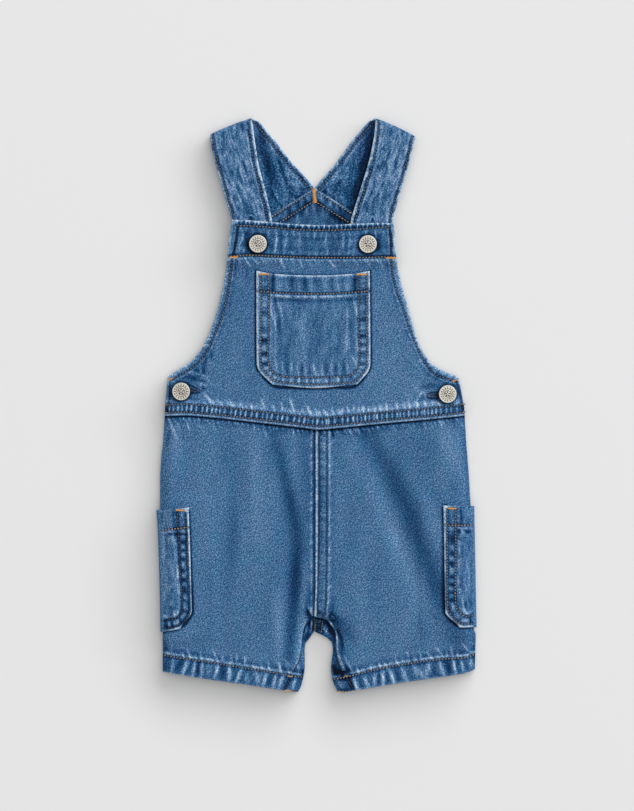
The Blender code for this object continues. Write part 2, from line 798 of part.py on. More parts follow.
# ---- buttons -----------------------------------------------------------------------------
def build_button(button, finish):
    """A tack button: its collar stands in the bib's hole and its head lies on the bib."""
    angles = np.linspace(0.0, 2 * np.pi, BUTTON_STEPS, endpoint=False)
    x_round, y_round = BUTTON_R * np.cos(angles), BUTTON_R * np.sin(angles)
    cloth_round = bib_over(button.x + x_round, button.y + y_round)
    slope = (cloth_round * x_round).sum() / (x_round * x_round).sum()
    seat = (cloth_round - slope * x_round).max()
    collar_foot = bib_under(button.x, button.y) - seat
    collar = [Ring(0.0, collar_foot), Ring(COLLAR_R, collar_foot), Ring(COLLAR_R, BUTTON_HEAD[0].rise)]
    profile = [*collar, *BUTTON_HEAD, Ring(0.0, BUTTON_CROWN)]
    vertices = [(0.0, 0.0, profile[0].rise), (0.0, 0.0, profile[-1].rise)]
    for ring in profile[1:-1]:
        vertices += [(ring.radius * np.cos(a), ring.radius * np.sin(a), ring.rise) for a in angles]
    rings = len(profile) - 2
    faces = []
    for k in range(BUTTON_STEPS):
        after = (k + 1) % BUTTON_STEPS
        faces.append([0, 2 + after, 2 + k])
        last = 2 + (rings - 1) * BUTTON_STEPS
        faces.append([1, last + k, last + after])
        for ring in range(rings - 1):
            low, high = 2 + ring * BUTTON_STEPS, 2 + (ring + 1) * BUTTON_STEPS
            faces.append([low + k, low + after, high + after, high + k])
    made = finish_solid(button.name, vertices, faces, finish)
    made.location = (button.x * MM, button.y * MM, seat * MM)
    made.rotation_euler = (0.0, -np.arctan(slope), 0.0)


# ---- the garment -------------------------------------------------------------------------
def main():
    for leftover in list(bpy.data.objects):
        bpy.data.objects.remove(leftover, do_unlink=True)
    denim = material("denim", DENIM, 0.9)
    denim_back = material("denim_back", DENIM_INSIDE, 0.9)
    silver = material("silver", SILVER, 0.35, metallic=1.0)
    build_back_bodice(denim_back)
    build_short_back("short_back_left", -1, denim_back)
    build_short_back("short_back_right", 1, denim_back)
    build_short_front("short_front_left", -1, denim)
    build_short_front("short_front_right", 1, denim)
    for wrap in WRAPS:
        build_side_pocket(wrap, denim)
    build_bib(denim)
    build_bib_pocket(denim)
    for strap in STRAPS:
        build_strap(strap, denim)
    for button in BUTTONS:
        build_button(button, silver)


main()
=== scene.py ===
"""The look of a child's denim dungaree shorts, laid flat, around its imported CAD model.

All sizes are in millimetres, in the model's own frame: shoulders towards +Y, front up, on
the floor z = 0. Each cloth piece is a thin closed shell on its solid's form, with its folds,
seams and puckers, and each row of sewing is made of single stitches. A function that ends in
"under" gives the height of a layer's lower side, one that ends in "over" of its upper side.
"""

import math
from collections import namedtuple

import bpy
import numpy as np
from mathutils import Matrix


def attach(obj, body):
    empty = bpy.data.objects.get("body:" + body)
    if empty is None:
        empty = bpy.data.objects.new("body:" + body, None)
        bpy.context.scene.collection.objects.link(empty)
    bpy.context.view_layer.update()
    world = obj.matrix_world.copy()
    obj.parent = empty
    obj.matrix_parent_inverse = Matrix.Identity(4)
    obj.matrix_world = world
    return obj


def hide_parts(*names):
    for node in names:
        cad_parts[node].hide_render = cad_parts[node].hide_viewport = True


MM = 0.001
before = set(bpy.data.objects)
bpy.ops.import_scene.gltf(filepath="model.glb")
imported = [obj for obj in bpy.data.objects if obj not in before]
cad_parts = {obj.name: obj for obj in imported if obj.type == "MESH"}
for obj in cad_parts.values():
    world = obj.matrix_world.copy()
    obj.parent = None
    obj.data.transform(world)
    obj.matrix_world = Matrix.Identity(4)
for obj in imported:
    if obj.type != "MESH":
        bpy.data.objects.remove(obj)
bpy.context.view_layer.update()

# ==== the form, as in the solids ==========================================================
# ---- cloth -------------------------------------------------------------------------------
CLOTH = 1.0  # one layer of denim
STRAP = 1.6  # the strap: two layers, turned and topstitched
GAP = 0.3  # between two layers that lie on each other
LAP = 1.4  # a layer that steps over another rises by this much
LAP_CLEAR = 0.8  # from this far beyond the other's edge
LAP_RUN = 3.2  # and over this distance
TURNED = 0.8  # what a turned hem or a lapped seam adds to the upper side
TURN_STEP = 1.2  # run of the step down from it

# ---- depths of hems, bands and laps ------------------------------------------------------
WAIST_LAP = 10.0  # the shorts reach this far up behind the bib
WAIST_BAND = 10.4  # the lapped seam at the bib's lower edge
FELL = 7.8  # the left front reaches this far under the right one
LEG_HEM = 11.0
BIB_BAND = 26.5
ARMHOLE_HEM = 6.0
ARMHOLE_TURNED = 0.6  # of what other hems add
NECK_BAND = 11.0  # the peaked top of the back lies this far over the ends of the straps
NECK_RUN = 6.0  # and comes down to the floor over this distance
STRAP_IN_BAND = 8.0  # and they reach this far under it
STRAP_END_Y = 114.0  # the end of each strap that is tucked behind the bib
STRAP_UNDER = 3.3  # its front run lies this high
BIB_POCKET_BAND = 14.0
SIDE_POCKET_BAND = 15.0
POCKET_TURNED = 0.5

# ---- outlines ----------------------------------------------------------------------------
BIB_TOP_ENDS = (-66.2, 59.8)  # x of the bib's upper corners
NECK_ENDS = (-63.0, 59.0)  # and of the back's
WAIST_SIDE_Y = -9.0  # where the waist seam meets the sides
HEM_OUTER_Y = (-208.0, -206.0)  # where the hems meet the sides, left and right
HEM_INNER_Y = -224.0  # and the inseams
CENTRE_X = 0.4  # the folded edge of the right front at the centre seam
CROTCH_Y = -166.0  # of the fronts
BACK_INSET = 1.6  # the back's armholes lie this far inside the bib's
PEAK = (-1.7, 169.2)  # of the back's top edge
PEAK_SLOPE = 0.625  # it falls this much for each millimetre outwards
PEAK_RUN = math.hypot(1.0, PEAK_SLOPE)  # along the edge for each millimetre outwards
NECK_ROWS = (1.6, 8.6)  # the rows of stitches lie this far in from it
BIB_TOP = 141.9
BIB_TOP_LINE = np.array([
    (-66, 144.2), (-53.4, 143.7), (-41, 142.8), (-28.5, 141.7), (-16, 140.7), (-3.5, 140.2),
    (9, 140.1), (21.5, 140.6), (33.9, 141.2), (46.4, 141.6), (59.5, 141.6),
])

Side = namedtuple("Side", "y left right")
Edge = namedtuple("Edge", "y x")
Height = namedtuple("Height", "x y")
Share = namedtuple("Share", "share y")
Fold = namedtuple("Fold", "x0 y0 x1 y1 half_width depth")


def table(kind, *rows):
    """Rows of numbers as records of one kind."""
    return [kind(*map(float, row)) for row in rows]


SIDES = table(Side,
    (142, -66, 60.2), (128, -68.2, 61.4), (112, -69.9, 62.7), (96, -72.2, 65.9), (82, -75.3, 69.8),
    (68, -79.2, 73.7), (54, -84.6, 77.6), (44, -89.5, 81.6), (35, -97.2, 87.2), (30, -103.6, 92.4),
    (25.5, -110.9, 100.6), (21.3, -116.3, 110.4), (17, -116.5, 111.7), (7, -117.5, 113.7),
    (-2.5, -118.2, 115.3), (-17, -119, 116.2), (-30, -119.9, 117), (-40, -121.1, 117.8),
    (-58, -122, 119.2), (-77, -122, 120.2), (-84, -121.9, 120.8), (-105, -121.2, 121.4),
    (-137, -120.3, 122), (-165, -119.7, 122.6), (-175, -119.6, 122.8), (-179.5, -120.1, 124.3),
    (-198, -120, 123.9), (-226, -120.4, 122.9),
)
# The inner edges of the legs, and what leads to them: the fronts stop short of the crotch,
# where the backs show between them.
LEFT_LEG = table(Edge, (-192, -9.3), (-204, -9.2), (-218, -11.6), (-226, -15.4))
RIGHT_LEG = table(Edge, (-193, 12.9), (-206, 11.4), (-213, 12.1), (-226, 17.2))
LEFT_FRONT_CROTCH = table(Edge,
    (-167.7, -3.4), (-170.3, -7.6), (-174.5, -9.7), (-180, -11), (-186, -11),
)
RIGHT_FRONT_CROTCH = table(Edge,
    (-165.6, 6.5), (-170.8, 10.1), (-174.5, 13.3), (-178.6, 15.2), (-185, 15),
)
LEFT_BACK_CROTCH = table(Edge, (-177.1, -2.1), (-182.5, -5.5), (-187, -8.8))
RIGHT_BACK_CROTCH = table(Edge, (-177.1, -1.8), (-179.5, 3.4), (-182.3, 8.6), (-187, 12.3))
BACK_SEAM = table(Edge, (10, 0), (-140, 0), (-165, -1.4), (-177.1, -1.95))
WAIST = table(Height,
    (-119, -8.9), (-102, -8.4), (-83, -9.8), (-45, -14), (-8, -18.3), (1, -19.4), (15, -18.3),
    (54, -14.5), (91, -11.1), (117, -8.4),
)
LEFT_HEM = table(Share, (0, -208.2), (0.3, -213.6), (0.6, -218.2), (0.84, -222), (1, -224.2))
RIGHT_HEM = table(Share,
    (0, -224.2), (0.15, -222.4), (0.38, -218.4), (0.68, -213.6), (0.94, -208.9), (1, -206.6),
)
BIB_POCKET_SIDES = table(Side,
    (104.4, -47, 41.5), (60, -46.9, 41.9), (31.5, -46.6, 42), (27.5, -45.4, 41), (14.5, -33, 30.4),
)
BIB_POCKET_MOUTH = table(Share, (0, 104.4), (0.15, 102), (0.5, 100.7), (0.85, 102), (1, 104.4))
BIB_POCKET_FOOT = table(Share, (0, 15.6), (0.5, 12.9), (1, 15.9))

# ---- straps: the edges of their front runs, and of their back runs under them -------------
Strap = namedtuple(
    "Strap", "name side front_outer front_inner turn_outer turn_inner back_outer back_inner"
)
STRAPS = [
    Strap(
        name="strap_left", side=-1,
        front_outer=table(Edge,
            (114, -64.4), (143, -66.3), (161, -71.2), (180, -76.7), (199, -81.5), (211, -83.3),
        ),
        front_inner=table(Edge,
            (114, -30.8), (143, -34.6), (167, -39.8), (188, -45.2), (224, -50.6),
        ),
        turn_outer=(-83.3, 211), turn_inner=(-49.4, 224.2),
        back_outer=table(Edge, (211, -82), (188, -73.5), (165, -67.5), (120, -62)),
        back_inner=table(Edge,
            (224, -47.4), (208, -33.9), (189, -19.1), (171.5, -3.6), (168.5, -1.95), (160, -1.9),
        ),
    ),
    Strap(
        name="strap_right", side=1,
        front_outer=table(Edge,
            (114, 57.6), (143, 59.6), (156, 62.6), (167, 65.8), (188, 72.1), (211, 77.4),
        ),
        front_inner=table(Edge,
            (114, 25.2), (143, 26.6), (150.3, 28.6), (159.7, 31.6), (178.4, 37.4), (187.8, 40.2),
            (197.1, 42.5), (215.8, 45.6), (224, 46),
        ),
        turn_outer=(77.9, 209.2), turn_inner=(44.8, 224.2),
        back_outer=table(Edge, (211, 77), (188, 70.5), (165, 63.5), (120, 56.5)),
        back_inner=table(Edge,
            (224, 43.4), (208, 29.2), (189, 15.2), (171.5, 0.4), (168.5, -1.45), (160, -1.5),
        ),
    ),
]

TURN_BOW = 0.8  # a strap's turn bows out by this much

# ---- pockets wrapped round the side seams ------------------------------------------------
Wrap = namedtuple(
    "Wrap",
    "name side out top_front top_side foot_front foot_side reach corner_reach corner_rise",
)
WRAPS = [
    Wrap(
        name="cargo_pocket_left", side=-1,
        out=table(Edge,
            (-82.3, -125), (-92, -124.2), (-112, -123.4), (-137, -122.6), (-177, -121.8),
        ),
        top_front=-79.8, top_side=-82.3, foot_front=-174.4, foot_side=-177, reach=22.6,
        corner_reach=14,
        corner_rise=13.6,
    ),
    Wrap(
        name="cargo_pocket_right", side=1,
        out=table(Edge, (-79, 123.2), (-137, 124.3), (-174, 125)),
        top_front=-78.4, top_side=-79.1, foot_front=-173.7, foot_side=-173.6, reach=22.2,
        corner_reach=11.8, corner_rise=12,
    ),
]
WRAP_BACK = 38.0  # how far it reaches in from the side on the back
WRAP_CLEAR = 1.0  # the panels over its back half are lifted from this far beyond it
WRAP_RUN = 6.0
WRAP_RISE = CLOTH + GAP

# ---- how high the front lies over the back, and its largest folds -------------------------
LOFT_RUN = 9.0  # the front rises over this distance in from a side
LOFT = table(Edge,
    (150, 2.9), (110, 2.2), (60, 2.2), (5, 2.6), (-15, 2.5), (-60, 3.1), (-140, 3.3), (-195, 2.6),
    (-226, 2.9),
)
FOLDS = table(Fold,
    (-61, -26, -55, -118, 10, 0.9), (-28, -62, -13, -184, 10, 1.4), (42, -28, 62, -100, 13, 1.5),
    (62, -100, 92, -176, 13, 1.2), (-97, -24, -104, -66, 9, 0.7),
)

# ---- curves ------------------------------------------------------------------------------
def step(start, end, at):
    """0 up to start, 1 from end on, and smooth between them."""
    t = np.clip((at - start) / (end - start), 0.0, 1.0)
    return t * t * (3.0 - 2.0 * t)


def bell(distance, width):
    """1 at no distance, and smooth down to 0 on both sides."""
    return np.exp(-((distance / width) ** 2))


def between(first, last, share):
    return first + share * (last - first)


def through(rows, key, value, at):
    """A smooth curve through a table's rows, value as a function of key, without overshoot."""
    rows = sorted(rows, key=lambda row: getattr(row, key))
    x = np.array([getattr(row, key) for row in rows], float)
    y = np.array([getattr(row, value) for row in rows], float)
    run = np.diff(x)
    rise = np.diff(y) / run
    same_way = rise[1:] * rise[:-1] > 0
    mean = 2 * rise[1:] * rise[:-1] / np.where(same_way, rise[1:] + rise[:-1], 1.0)
    slope = np.concatenate([rise[:1], np.where(same_way, mean, 0.0), rise[-1:]])
    at = np.clip(at, x[0], x[-1])
    k = np.clip(np.searchsorted(x, at) - 1, 0, len(run) - 1)
    t = (at - x[k]) / run[k]
    return (
        (1 + 2 * t) * (1 - t) ** 2 * y[k]
        + t * (1 - t) ** 2 * run[k] * slope[k]
        + t * t * (3 - 2 * t) * y[k + 1]
        - t * t * (1 - t) * run[k] * slope[k + 1]
    )


def edge_x(rows, y):
    return through(rows, "y", "x", y)


def left_side(y):
    return through(SIDES, "y", "left", y)


def right_side(y):
    return through(SIDES, "y", "right", y)


def waist(x):
    return through(WAIST, "x", "y", x)


def neck(x):
    """The peaked top edge of the back."""
    return PEAK[1] - PEAK_SLOPE * np.abs(x - PEAK[0])


def from_line(fold, x, y):
    """Distance from the straight line of a fold, ends included."""
    dx, dy = fold.x1 - fold.x0, fold.y1 - fold.y0
    t = np.clip(((x - fold.x0) * dx + (y - fold.y0) * dy) / (dx * dx + dy * dy), 0.0, 1.0)
    return np.hypot(x - fold.x0 - t * dx, y - fold.y0 - t * dy)


def from_side(x, y):
    """How far in from the nearer side a point lies."""
    return np.minimum(x - left_side(y), right_side(y) - x)


def inset(x, y):
    """How far in from the nearer side or inseam a point lies."""
    left_edge = edge_x([*LEFT_FRONT_CROTCH, *LEFT_LEG], y)
    right_edge = edge_x([*RIGHT_FRONT_CROTCH, *RIGHT_LEG], y)
    legs = np.maximum(left_edge - x, x - right_edge)
    inner = np.where(y < CROTCH_Y, legs, np.hypot(x, y - CROTCH_Y))
    return np.clip(np.minimum(from_side(x, y), inner), 0.0, None)


# ---- heights of the layers ---------------------------------------------------------------
def lifted(clear, run, beyond):
    """1 until clear past an edge, then down to 0 over a run. beyond is the distance past it."""
    return 1.0 - step(clear, clear + run, beyond)


def wrap_lift(x, y):
    """How far the back half of a side pocket lifts what lies on it."""
    lift = 0.0
    for wrap in WRAPS:
        in_from_side = np.where(wrap.side * x > 0, from_side(x, y), np.inf)
        along = lifted(2.0, 10.0, wrap.foot_side - y) * lifted(2.0, 10.0, y - wrap.top_front)
        lift = lift + along * lifted(WRAP_CLEAR, WRAP_RUN, in_from_side - WRAP_BACK)
    return WRAP_RISE * lift


def back_under(x, y):
    return wrap_lift(x, y) + (STRAP + GAP) * lifted(0.0, NECK_RUN, neck(x) - y - NECK_BAND)


def front_under(x, y):
    inside = inset(x, y)
    loft = edge_x(LOFT, y) * step(0.0, LOFT_RUN, inside)
    for fold in FOLDS:
        near = lifted(0.0, fold.half_width, from_line(fold, x, y))
        loft = loft - fold.depth * near * step(4.0, 16.0, inside)
    height, _ = creases(CREASES, x, y)
    loft = np.maximum(loft + height * step(2.0, 12.0, inside), 0.0)
    return wrap_lift(x, y) + CLOTH + GAP + loft


def fell_lift(x, y):
    """The right front steps over the left one along the centre seam."""
    return LAP * lifted(LAP_CLEAR, LAP_RUN, x - CENTRE_X - FELL) * lifted(0.0, 14.0, CROTCH_Y - y)


def bib_under(x, y):
    over_waist = lifted(LAP_CLEAR, LAP_RUN, y - waist(x) - WAIST_LAP)
    over_fell = lifted(2.0, 12.0, CENTRE_X - x) * lifted(6.0, 16.0, x - FELL)
    under = front_under(x, y) + LAP * over_waist * (1.0 + over_fell)
    over_strap = 0.0
    for strap in STRAPS:
        outer, inner = edge_x(strap.front_outer, y), edge_x(strap.front_inner, y)
        beyond = np.abs(x - (outer + inner) / 2) - np.abs(outer - inner) / 2
        over_strap = over_strap + lifted(4.0, 8.0, beyond) * lifted(2.0, 7.0, STRAP_END_Y - y)
    return under + over_strap * (STRAP_UNDER + STRAP + GAP - under)


def turned(depth, from_edge):
    """1 within a turned band, 0 beyond it."""
    return lifted(-TURN_STEP / 2, TURN_STEP, from_edge - depth)


def bib_over(x, y):
    band = np.maximum(turned(BIB_BAND, BIB_TOP - y), turned(WAIST_BAND, y - waist(x)))
    band = np.maximum(band, ARMHOLE_TURNED * turned(ARMHOLE_HEM, from_side(x, y)))
    return bib_under(x, y) + CLOTH + TURNED * band


# ==== the dressing: noise, paths, ribs and creases ========================================
FINE = 0.64  # spacing of the points of a front piece
PLAIN = 1.4  # and of a hidden one
COARSE = 1.15  # and of a leg's middle, where there is no sewing
EDGE_STEPS = [0, 0.35, 0.8, 1.3]
DICE = 4096


def dice(seed):
    return np.random.default_rng(seed).random(DICE)


def noise1(t, seed):
    """Smooth noise along a line, from -1 to 1, with a knot at each whole number."""
    rolls = dice(seed)
    k = np.floor(t).astype(int)
    f = t - k
    f = f * f * (3.0 - 2.0 * f)
    return 2.0 * ((1.0 - f) * rolls[k % DICE] + f * rolls[(k + 1) % DICE]) - 1.0


def noise2(u, v, seed):
    """Smooth noise on a plane, from -1 to 1."""
    rolls = dice(seed)
    ku, kv = np.floor(u).astype(int), np.floor(v).astype(int)
    fu, fv = u - ku, v - kv
    fu, fv = fu * fu * (3.0 - 2.0 * fu), fv * fv * (3.0 - 2.0 * fv)

    def at(i, j):
        return rolls[(i * 739 + j * 1873 + (i * j) % 61 * 17) % DICE]

    low = (1.0 - fu) * at(ku, kv) + fu * at(ku + 1, kv)
    high = (1.0 - fu) * at(ku, kv + 1) + fu * at(ku + 1, kv + 1)
    return 2.0 * ((1.0 - fv) * low + fv * high) - 1.0


def smooth_path(points, spacing=3.0):
    """A smooth line through points, with its own points about spacing apart."""
    p = np.array(points, float)
    if len(p) == 2:
        count = max(2, int(np.hypot(*(p[1] - p[0])) / spacing) + 1)
        return p[0] + np.linspace(0.0, 1.0, count)[:, None] * (p[1] - p[0])
    ends = np.concatenate([[2 * p[0] - p[1]], p, [2 * p[-1] - p[-2]]])
    made = []
    for k in range(1, len(ends) - 2):
        a, b, c, d = ends[k - 1 : k + 3]
        length = np.hypot(*(c - b))
        slope_b = (c - a) / (np.hypot(*(c - b)) + np.hypot(*(b - a))) * length
        slope_c = (d - b) / (np.hypot(*(d - c)) + np.hypot(*(c - b))) * length
        t = np.linspace(0.0, 1.0, max(2, int(length / spacing) + 1), endpoint=False)[:, None]
        made.append(
            (1 + 2 * t) * (1 - t) ** 2 * b
            + t * (1 - t) ** 2 * slope_b
            + t * t * (3 - 2 * t) * c
            - t * t * (1 - t) * slope_c
        )
    return np.concatenate([*made, p[-1:]])


def run_of(path):
    """How far along a path each of its points lies."""
    return np.concatenate([[0.0], np.cumsum(np.linalg.norm(np.diff(path, axis=0), axis=1))])


def march(path, at, reach):
    """The places at some distances along a path, and its direction there."""
    run = run_of(path)
    place, ahead, behind = (
        np.column_stack([np.interp(at + shift, run, path[:, k]) for k in (0, 1)])
        for shift in (0.0, reach, -reach)
    )
    direction = ahead - behind
    return place, direction / np.hypot(*direction.T)[:, None]


def to_left(direction):
    """A quarter turn to the left."""
    return np.column_stack([-direction[:, 1], direction[:, 0]])


def measure(path, x, y, reach):
    """How far along a path each point lies, and how far to its left, or reach beyond it."""
    shape = np.shape(x)
    x, y = np.ravel(x), np.ravel(y)
    low, high = path.min(0) - reach, path.max(0) + reach
    near = np.flatnonzero((x > low[0]) & (x < high[0]) & (y > low[1]) & (y < high[1]))
    best = np.full(len(near), float(reach) ** 2)
    along, aside = np.zeros(len(near)), np.full(len(near), float(reach))
    px, py = x[near], y[near]
    start = 0.0
    for a, b in zip(path[:-1], path[1:]):
        step_x, step_y = b - a
        length = math.hypot(step_x, step_y)
        t = np.clip(((px - a[0]) * step_x + (py - a[1]) * step_y) / length**2, 0.0, 1.0)
        dx, dy = px - a[0] - t * step_x, py - a[1] - t * step_y
        squared = dx * dx + dy * dy
        closer = squared < best
        best[closer] = squared[closer]
        along[closer] = start + t[closer] * length
        aside[closer] = (np.sqrt(squared) * np.sign(step_x * dy - step_y * dx))[closer]
        start += length
    all_along, all_aside = np.zeros(len(x)), np.full(len(x), float(reach))
    all_along[near], all_aside[near] = along, aside
    return all_along.reshape(shape), all_aside.reshape(shape)


# Ribs are short ridges across a seam. Each is a little unlike the next: its place, width,
# strength and length are drawn from the seed. Fade is the share of their length over which
# they die away; where it is over a half, their lengths differ too.
Rib = namedtuple("Rib", "pitch width slant near far height tone seed fade", defaults=[0.6])


def fading(rib, end, d):
    return 1.0 - step((1.0 - rib.fade) * end, end, d)


def ribs(s, d, rib):
    """Ribs that start near and end far from a line: s is along it and d away from it. They
    lean by slant along the line for each millimetre away."""
    place, wide, strong, long = (dice(rib.seed + k) for k in range(4))
    across = (s - rib.slant * d) / rib.pitch
    cell = np.floor(across).astype(int)
    total = np.zeros_like(across)
    for shift in (-1, 0, 1):
        k = (cell + shift) % DICE
        centre = cell + shift + 0.5 + 0.6 * (place[k] - 0.5)
        width = rib.width * (0.7 + 0.6 * wide[k])
        end = rib.far * (0.5 + 0.6 * long[k]) if rib.fade > 0.5 else rib.far
        length = step(rib.near - 0.8, rib.near + 0.8, d) * fading(rib, end, d)
        total += (0.45 + 0.9 * strong[k]) * bell(across - centre, width) * length
    return total


# A crease is a soft trough or ridge through some points. Depth is negative for a ridge. Its tone
# is painted shade in a trough and painted highlight on a ridge.
Crease = namedtuple("Crease", "points half_width depth tone")
# A ray is a fine one: worn light where it stands up, and painted shade where it dips.
Ray = namedtuple("Ray", "points half_width tone")
RAY_RISE = 0.7  # height for each unit of tone


def strokes(kind, *rows):
    """Creases or rays: each row has the x and y of the points in turn, then the other fields."""
    own = len(kind._fields) - 1
    return [kind(list(zip(row[:-own:2], row[1:-own:2])), *row[-own:]) for row in rows]


def stroke(points, half_width, x, y):
    """How strongly a soft stroke through the points covers each place: less at its ends."""
    path = smooth_path(points, max(1.5, half_width))
    length = np.hypot(*np.diff(path, axis=0).T).sum()
    s, d = measure(path, x, y, 2.6 * half_width)
    ends = (2.0 * s / length - 1.0) ** 2 * min(1.0, length / (6.0 * half_width))
    return bell(d, half_width) * (np.abs(d) < 2.6 * half_width) * (1.0 - 0.6 * ends)


def creases(table, x, y):
    height, tone = np.zeros_like(x), np.zeros_like(x)
    for crease in table:
        shape = stroke(crease.points, crease.half_width, x, y)
        depth = -RAY_RISE * crease.tone if isinstance(crease, Ray) else crease.depth
        height -= depth * shape
        tone += crease.tone * shape
    return height, tone


class Detail:
    """What the sewing and wear add to a piece's form, at given points: a height and a tone.
    Tone 0 is the plain blue. A positive tone is lighter, from wear and from painted highlight,
    and much of a negative one is painted shade."""

    def __init__(self, x, y):
        self.x, self.y = np.asarray(x, float), np.asarray(y, float)
        self.height = np.zeros_like(self.x)
        self.tone = np.zeros_like(self.x)

    def add(self, shape, height=0.0, tone=0.0):
        self.height += height * shape
        self.tone += tone * shape

    def mottle(self, across, along, amount, seed, turn=0.0):
        """Uneven fading, as patches of a size."""
        c, s = math.cos(turn), math.sin(turn)
        u, v = c * self.x + s * self.y, c * self.y - s * self.x
        self.tone += amount * noise2(u / across, v / along, seed)

    def crease(self, table):
        height, tone = creases(table, self.x, self.y)
        self.height += height
        self.tone += tone

    def row(self, path, depth=0.28, dark=0.36, width=1.05):
        """The furrow that a row of stitches pulls into the cloth, darkened with painted shade."""
        _, d = measure(path, self.x, self.y, 4.0)
        self.add(bell(d, width) * (np.abs(d) < 4.0), -depth, -dark)

    def line(self, path, offset, width, height, tone, uneven=0.0, seed=1):
        """A ridge or groove beside a path. A dark tone in a groove is painted shade."""
        s, d = measure(path, self.x, self.y, abs(offset) + 4 * width)
        shape = bell(d - offset, width) * (np.abs(d) < abs(offset) + 4 * width)
        self.add(shape * (1.0 + uneven * noise1(s / 3.0, seed)), height, tone)

    def ribs(self, path, rib, side=1.0, where=1.0):
        """Ribs to the left of a path, or to its right for side -1."""
        s, d = measure(path, self.x, self.y, rib.far + 3.0)
        d = side * d
        shape = ribs(s, d, rib) * where * (d < rib.far + 2.0)
        middle = 1.6 * rib.width * step(rib.near - 0.8, rib.near + 0.8, d) * fading(rib, rib.far, d)
        self.height += rib.height * shape
        self.tone += rib.tone * (shape - middle * where)

    def rungs(self, path, at, far, half_width, tone, near=0.6, lean=0.0, gap=0.0, seed=1):
        """Ridges across a seam, one at each x given in at, from near to far on its left."""
        s, d = measure(path, self.x, self.y, far + 3.0)
        length = step(near - 0.7, near + 0.7, d) * lifted(far - 0.8, 1.6, d)
        inside = np.flatnonzero(length)
        s, d = s.ravel()[inside] - lean * d.ravel()[inside], length.ravel()[inside]
        rolls = dice(seed)
        shape = np.zeros(len(inside))
        for k, place in enumerate(np.interp(at, path[:, 0], run_of(path))):
            wide = half_width * (0.8 + 0.4 * rolls[2 * k])
            shape += (0.7 + 0.6 * rolls[2 * k + 1]) * bell(s - place, wide)
        self.height.ravel()[inside] += RAY_RISE * tone * shape * d
        self.tone.ravel()[inside] += (tone * shape - gap) * d


def round_edge(distance, radius=0.9, fall=0.55):
    """How far a turned edge falls off, at a distance in from it."""
    return -fall * (1.0 - np.clip(distance / radius, 0.0, 1.0)) ** 2


def worn_edge(distance, along, tone, width=1.0, seed=3):
    """The pale line that wear leaves on a turned edge."""
    uneven = 1.0 + 0.35 * noise1(along / 2.2, seed) + 0.2 * noise1(along / 9.0, seed + 1)
    return tone * uneven * bell(np.maximum(distance, 0.0), width)


# ==== meshes ==============================================================================
def new_mesh(name, vertices, polygons, finish, attributes):
    """A mesh from arrays: polygons is a list of arrays of corners, one array for each count."""
    mesh = bpy.data.meshes.new(name)
    mesh.vertices.add(len(vertices))
    mesh.vertices.foreach_set("co", (np.asarray(vertices, float) * MM).ravel())
    corners = np.concatenate([p.ravel() for p in polygons]).astype(np.int32)
    counts = np.concatenate([np.full(len(p), p.shape[1]) for p in polygons])
    starts = np.concatenate([[0], np.cumsum(counts)[:-1]]).astype(np.int32)
    mesh.loops.add(len(corners))
    mesh.loops.foreach_set("vertex_index", corners)
    mesh.polygons.add(len(counts))
    mesh.polygons.foreach_set("loop_start", starts)
    mesh.update(calc_edges=True)
    for key, values in attributes.items():
        values = np.asarray(values, np.float32)
        if values.ndim == 2:
            layer = mesh.attributes.new(key, "FLOAT_VECTOR", "POINT")
            layer.data.foreach_set("vector", values.ravel())
        else:
            layer = mesh.attributes.new(key, "FLOAT", "POINT")
            layer.data.foreach_set("value", values)
    mesh.shade_smooth()
    mesh.set_sharp_from_angle(angle=1.0)
    mesh.materials.append(finish)
    made = bpy.data.objects.new(name, mesh)
    bpy.context.scene.collection.objects.link(made)
    return made


def signed_volume(vertices, polygons):
    total = 0.0
    for p in polygons:
        a = vertices[p[:, 0]]
        for k in range(1, p.shape[1] - 1):
            total += (a * np.cross(vertices[p[:, k]], vertices[p[:, k + 1]])).sum()
    return total


def shell(name, outer, inner, tones, weaves, finish, skip=3):
    """A closed thin shell between two grids of points, rows x columns x 3. Of the inner grid,
    only every skip-th row and column is used. Tones and weaves are the two faces' own."""
    rows, columns = outer.shape[:2]
    inner = inner[::skip, ::skip]
    low_rows, low_columns = inner.shape[:2]
    top = np.arange(rows * columns).reshape(rows, columns)
    low = rows * columns + np.arange(low_rows * low_columns).reshape(low_rows, low_columns)

    def quads(index):
        corners = [index[:-1, :-1], index[:-1, 1:], index[1:, 1:], index[1:, :-1]]
        return np.stack(corners, -1).reshape(-1, 4)

    def border(index):
        return np.concatenate([index[0, :-1], index[:-1, -1], index[-1, :0:-1], index[:0:-1, 0]])

    high_rim, low_rim = border(top), border(low)
    after = np.roll(low_rim, -1)
    rim = [low_rim, *(np.roll(high_rim, -k)[::skip] for k in range(skip + 1)), after]
    polygons = [quads(top), quads(low)[:, ::-1], np.stack(rim[::-1], -1)]
    vertices = np.concatenate([outer.reshape(-1, 3), inner.reshape(-1, 3)])
    if signed_volume(vertices, polygons) < 0:
        polygons = [p[:, ::-1] for p in polygons]
    tone = np.concatenate([tones[0].ravel(), tones[1][::skip, ::skip].ravel()])
    weave = np.concatenate([weaves[0].reshape(-1, 3), weaves[1][::skip, ::skip].reshape(-1, 3)])
    return new_mesh(name, vertices, polygons, finish, {"tone": tone, "weave": weave})


def stations(near_start, near_end, length, pitch, multiple=3):
    """Places along a line as (shift, share), where a place is shift + share * its length."""
    count = int(length / pitch)
    while (len(near_start) + count + len(near_end) - 1) % multiple:
        count += 1
    share = np.linspace(0.0, 1.0, count + 2)[1:-1]
    evenly = between(near_start[-1], -near_end[-1], share)
    shift = np.concatenate([near_start, evenly, -np.array(near_end[::-1], float)])
    share = np.concatenate([np.zeros(len(near_start)), share, np.ones(len(near_end))])
    return shift, share


def close_steps(depth):
    """Steps from an edge to a depth, where there is sewing."""
    return [*EDGE_STEPS, *np.arange(1.3 + FINE, depth, FINE)]


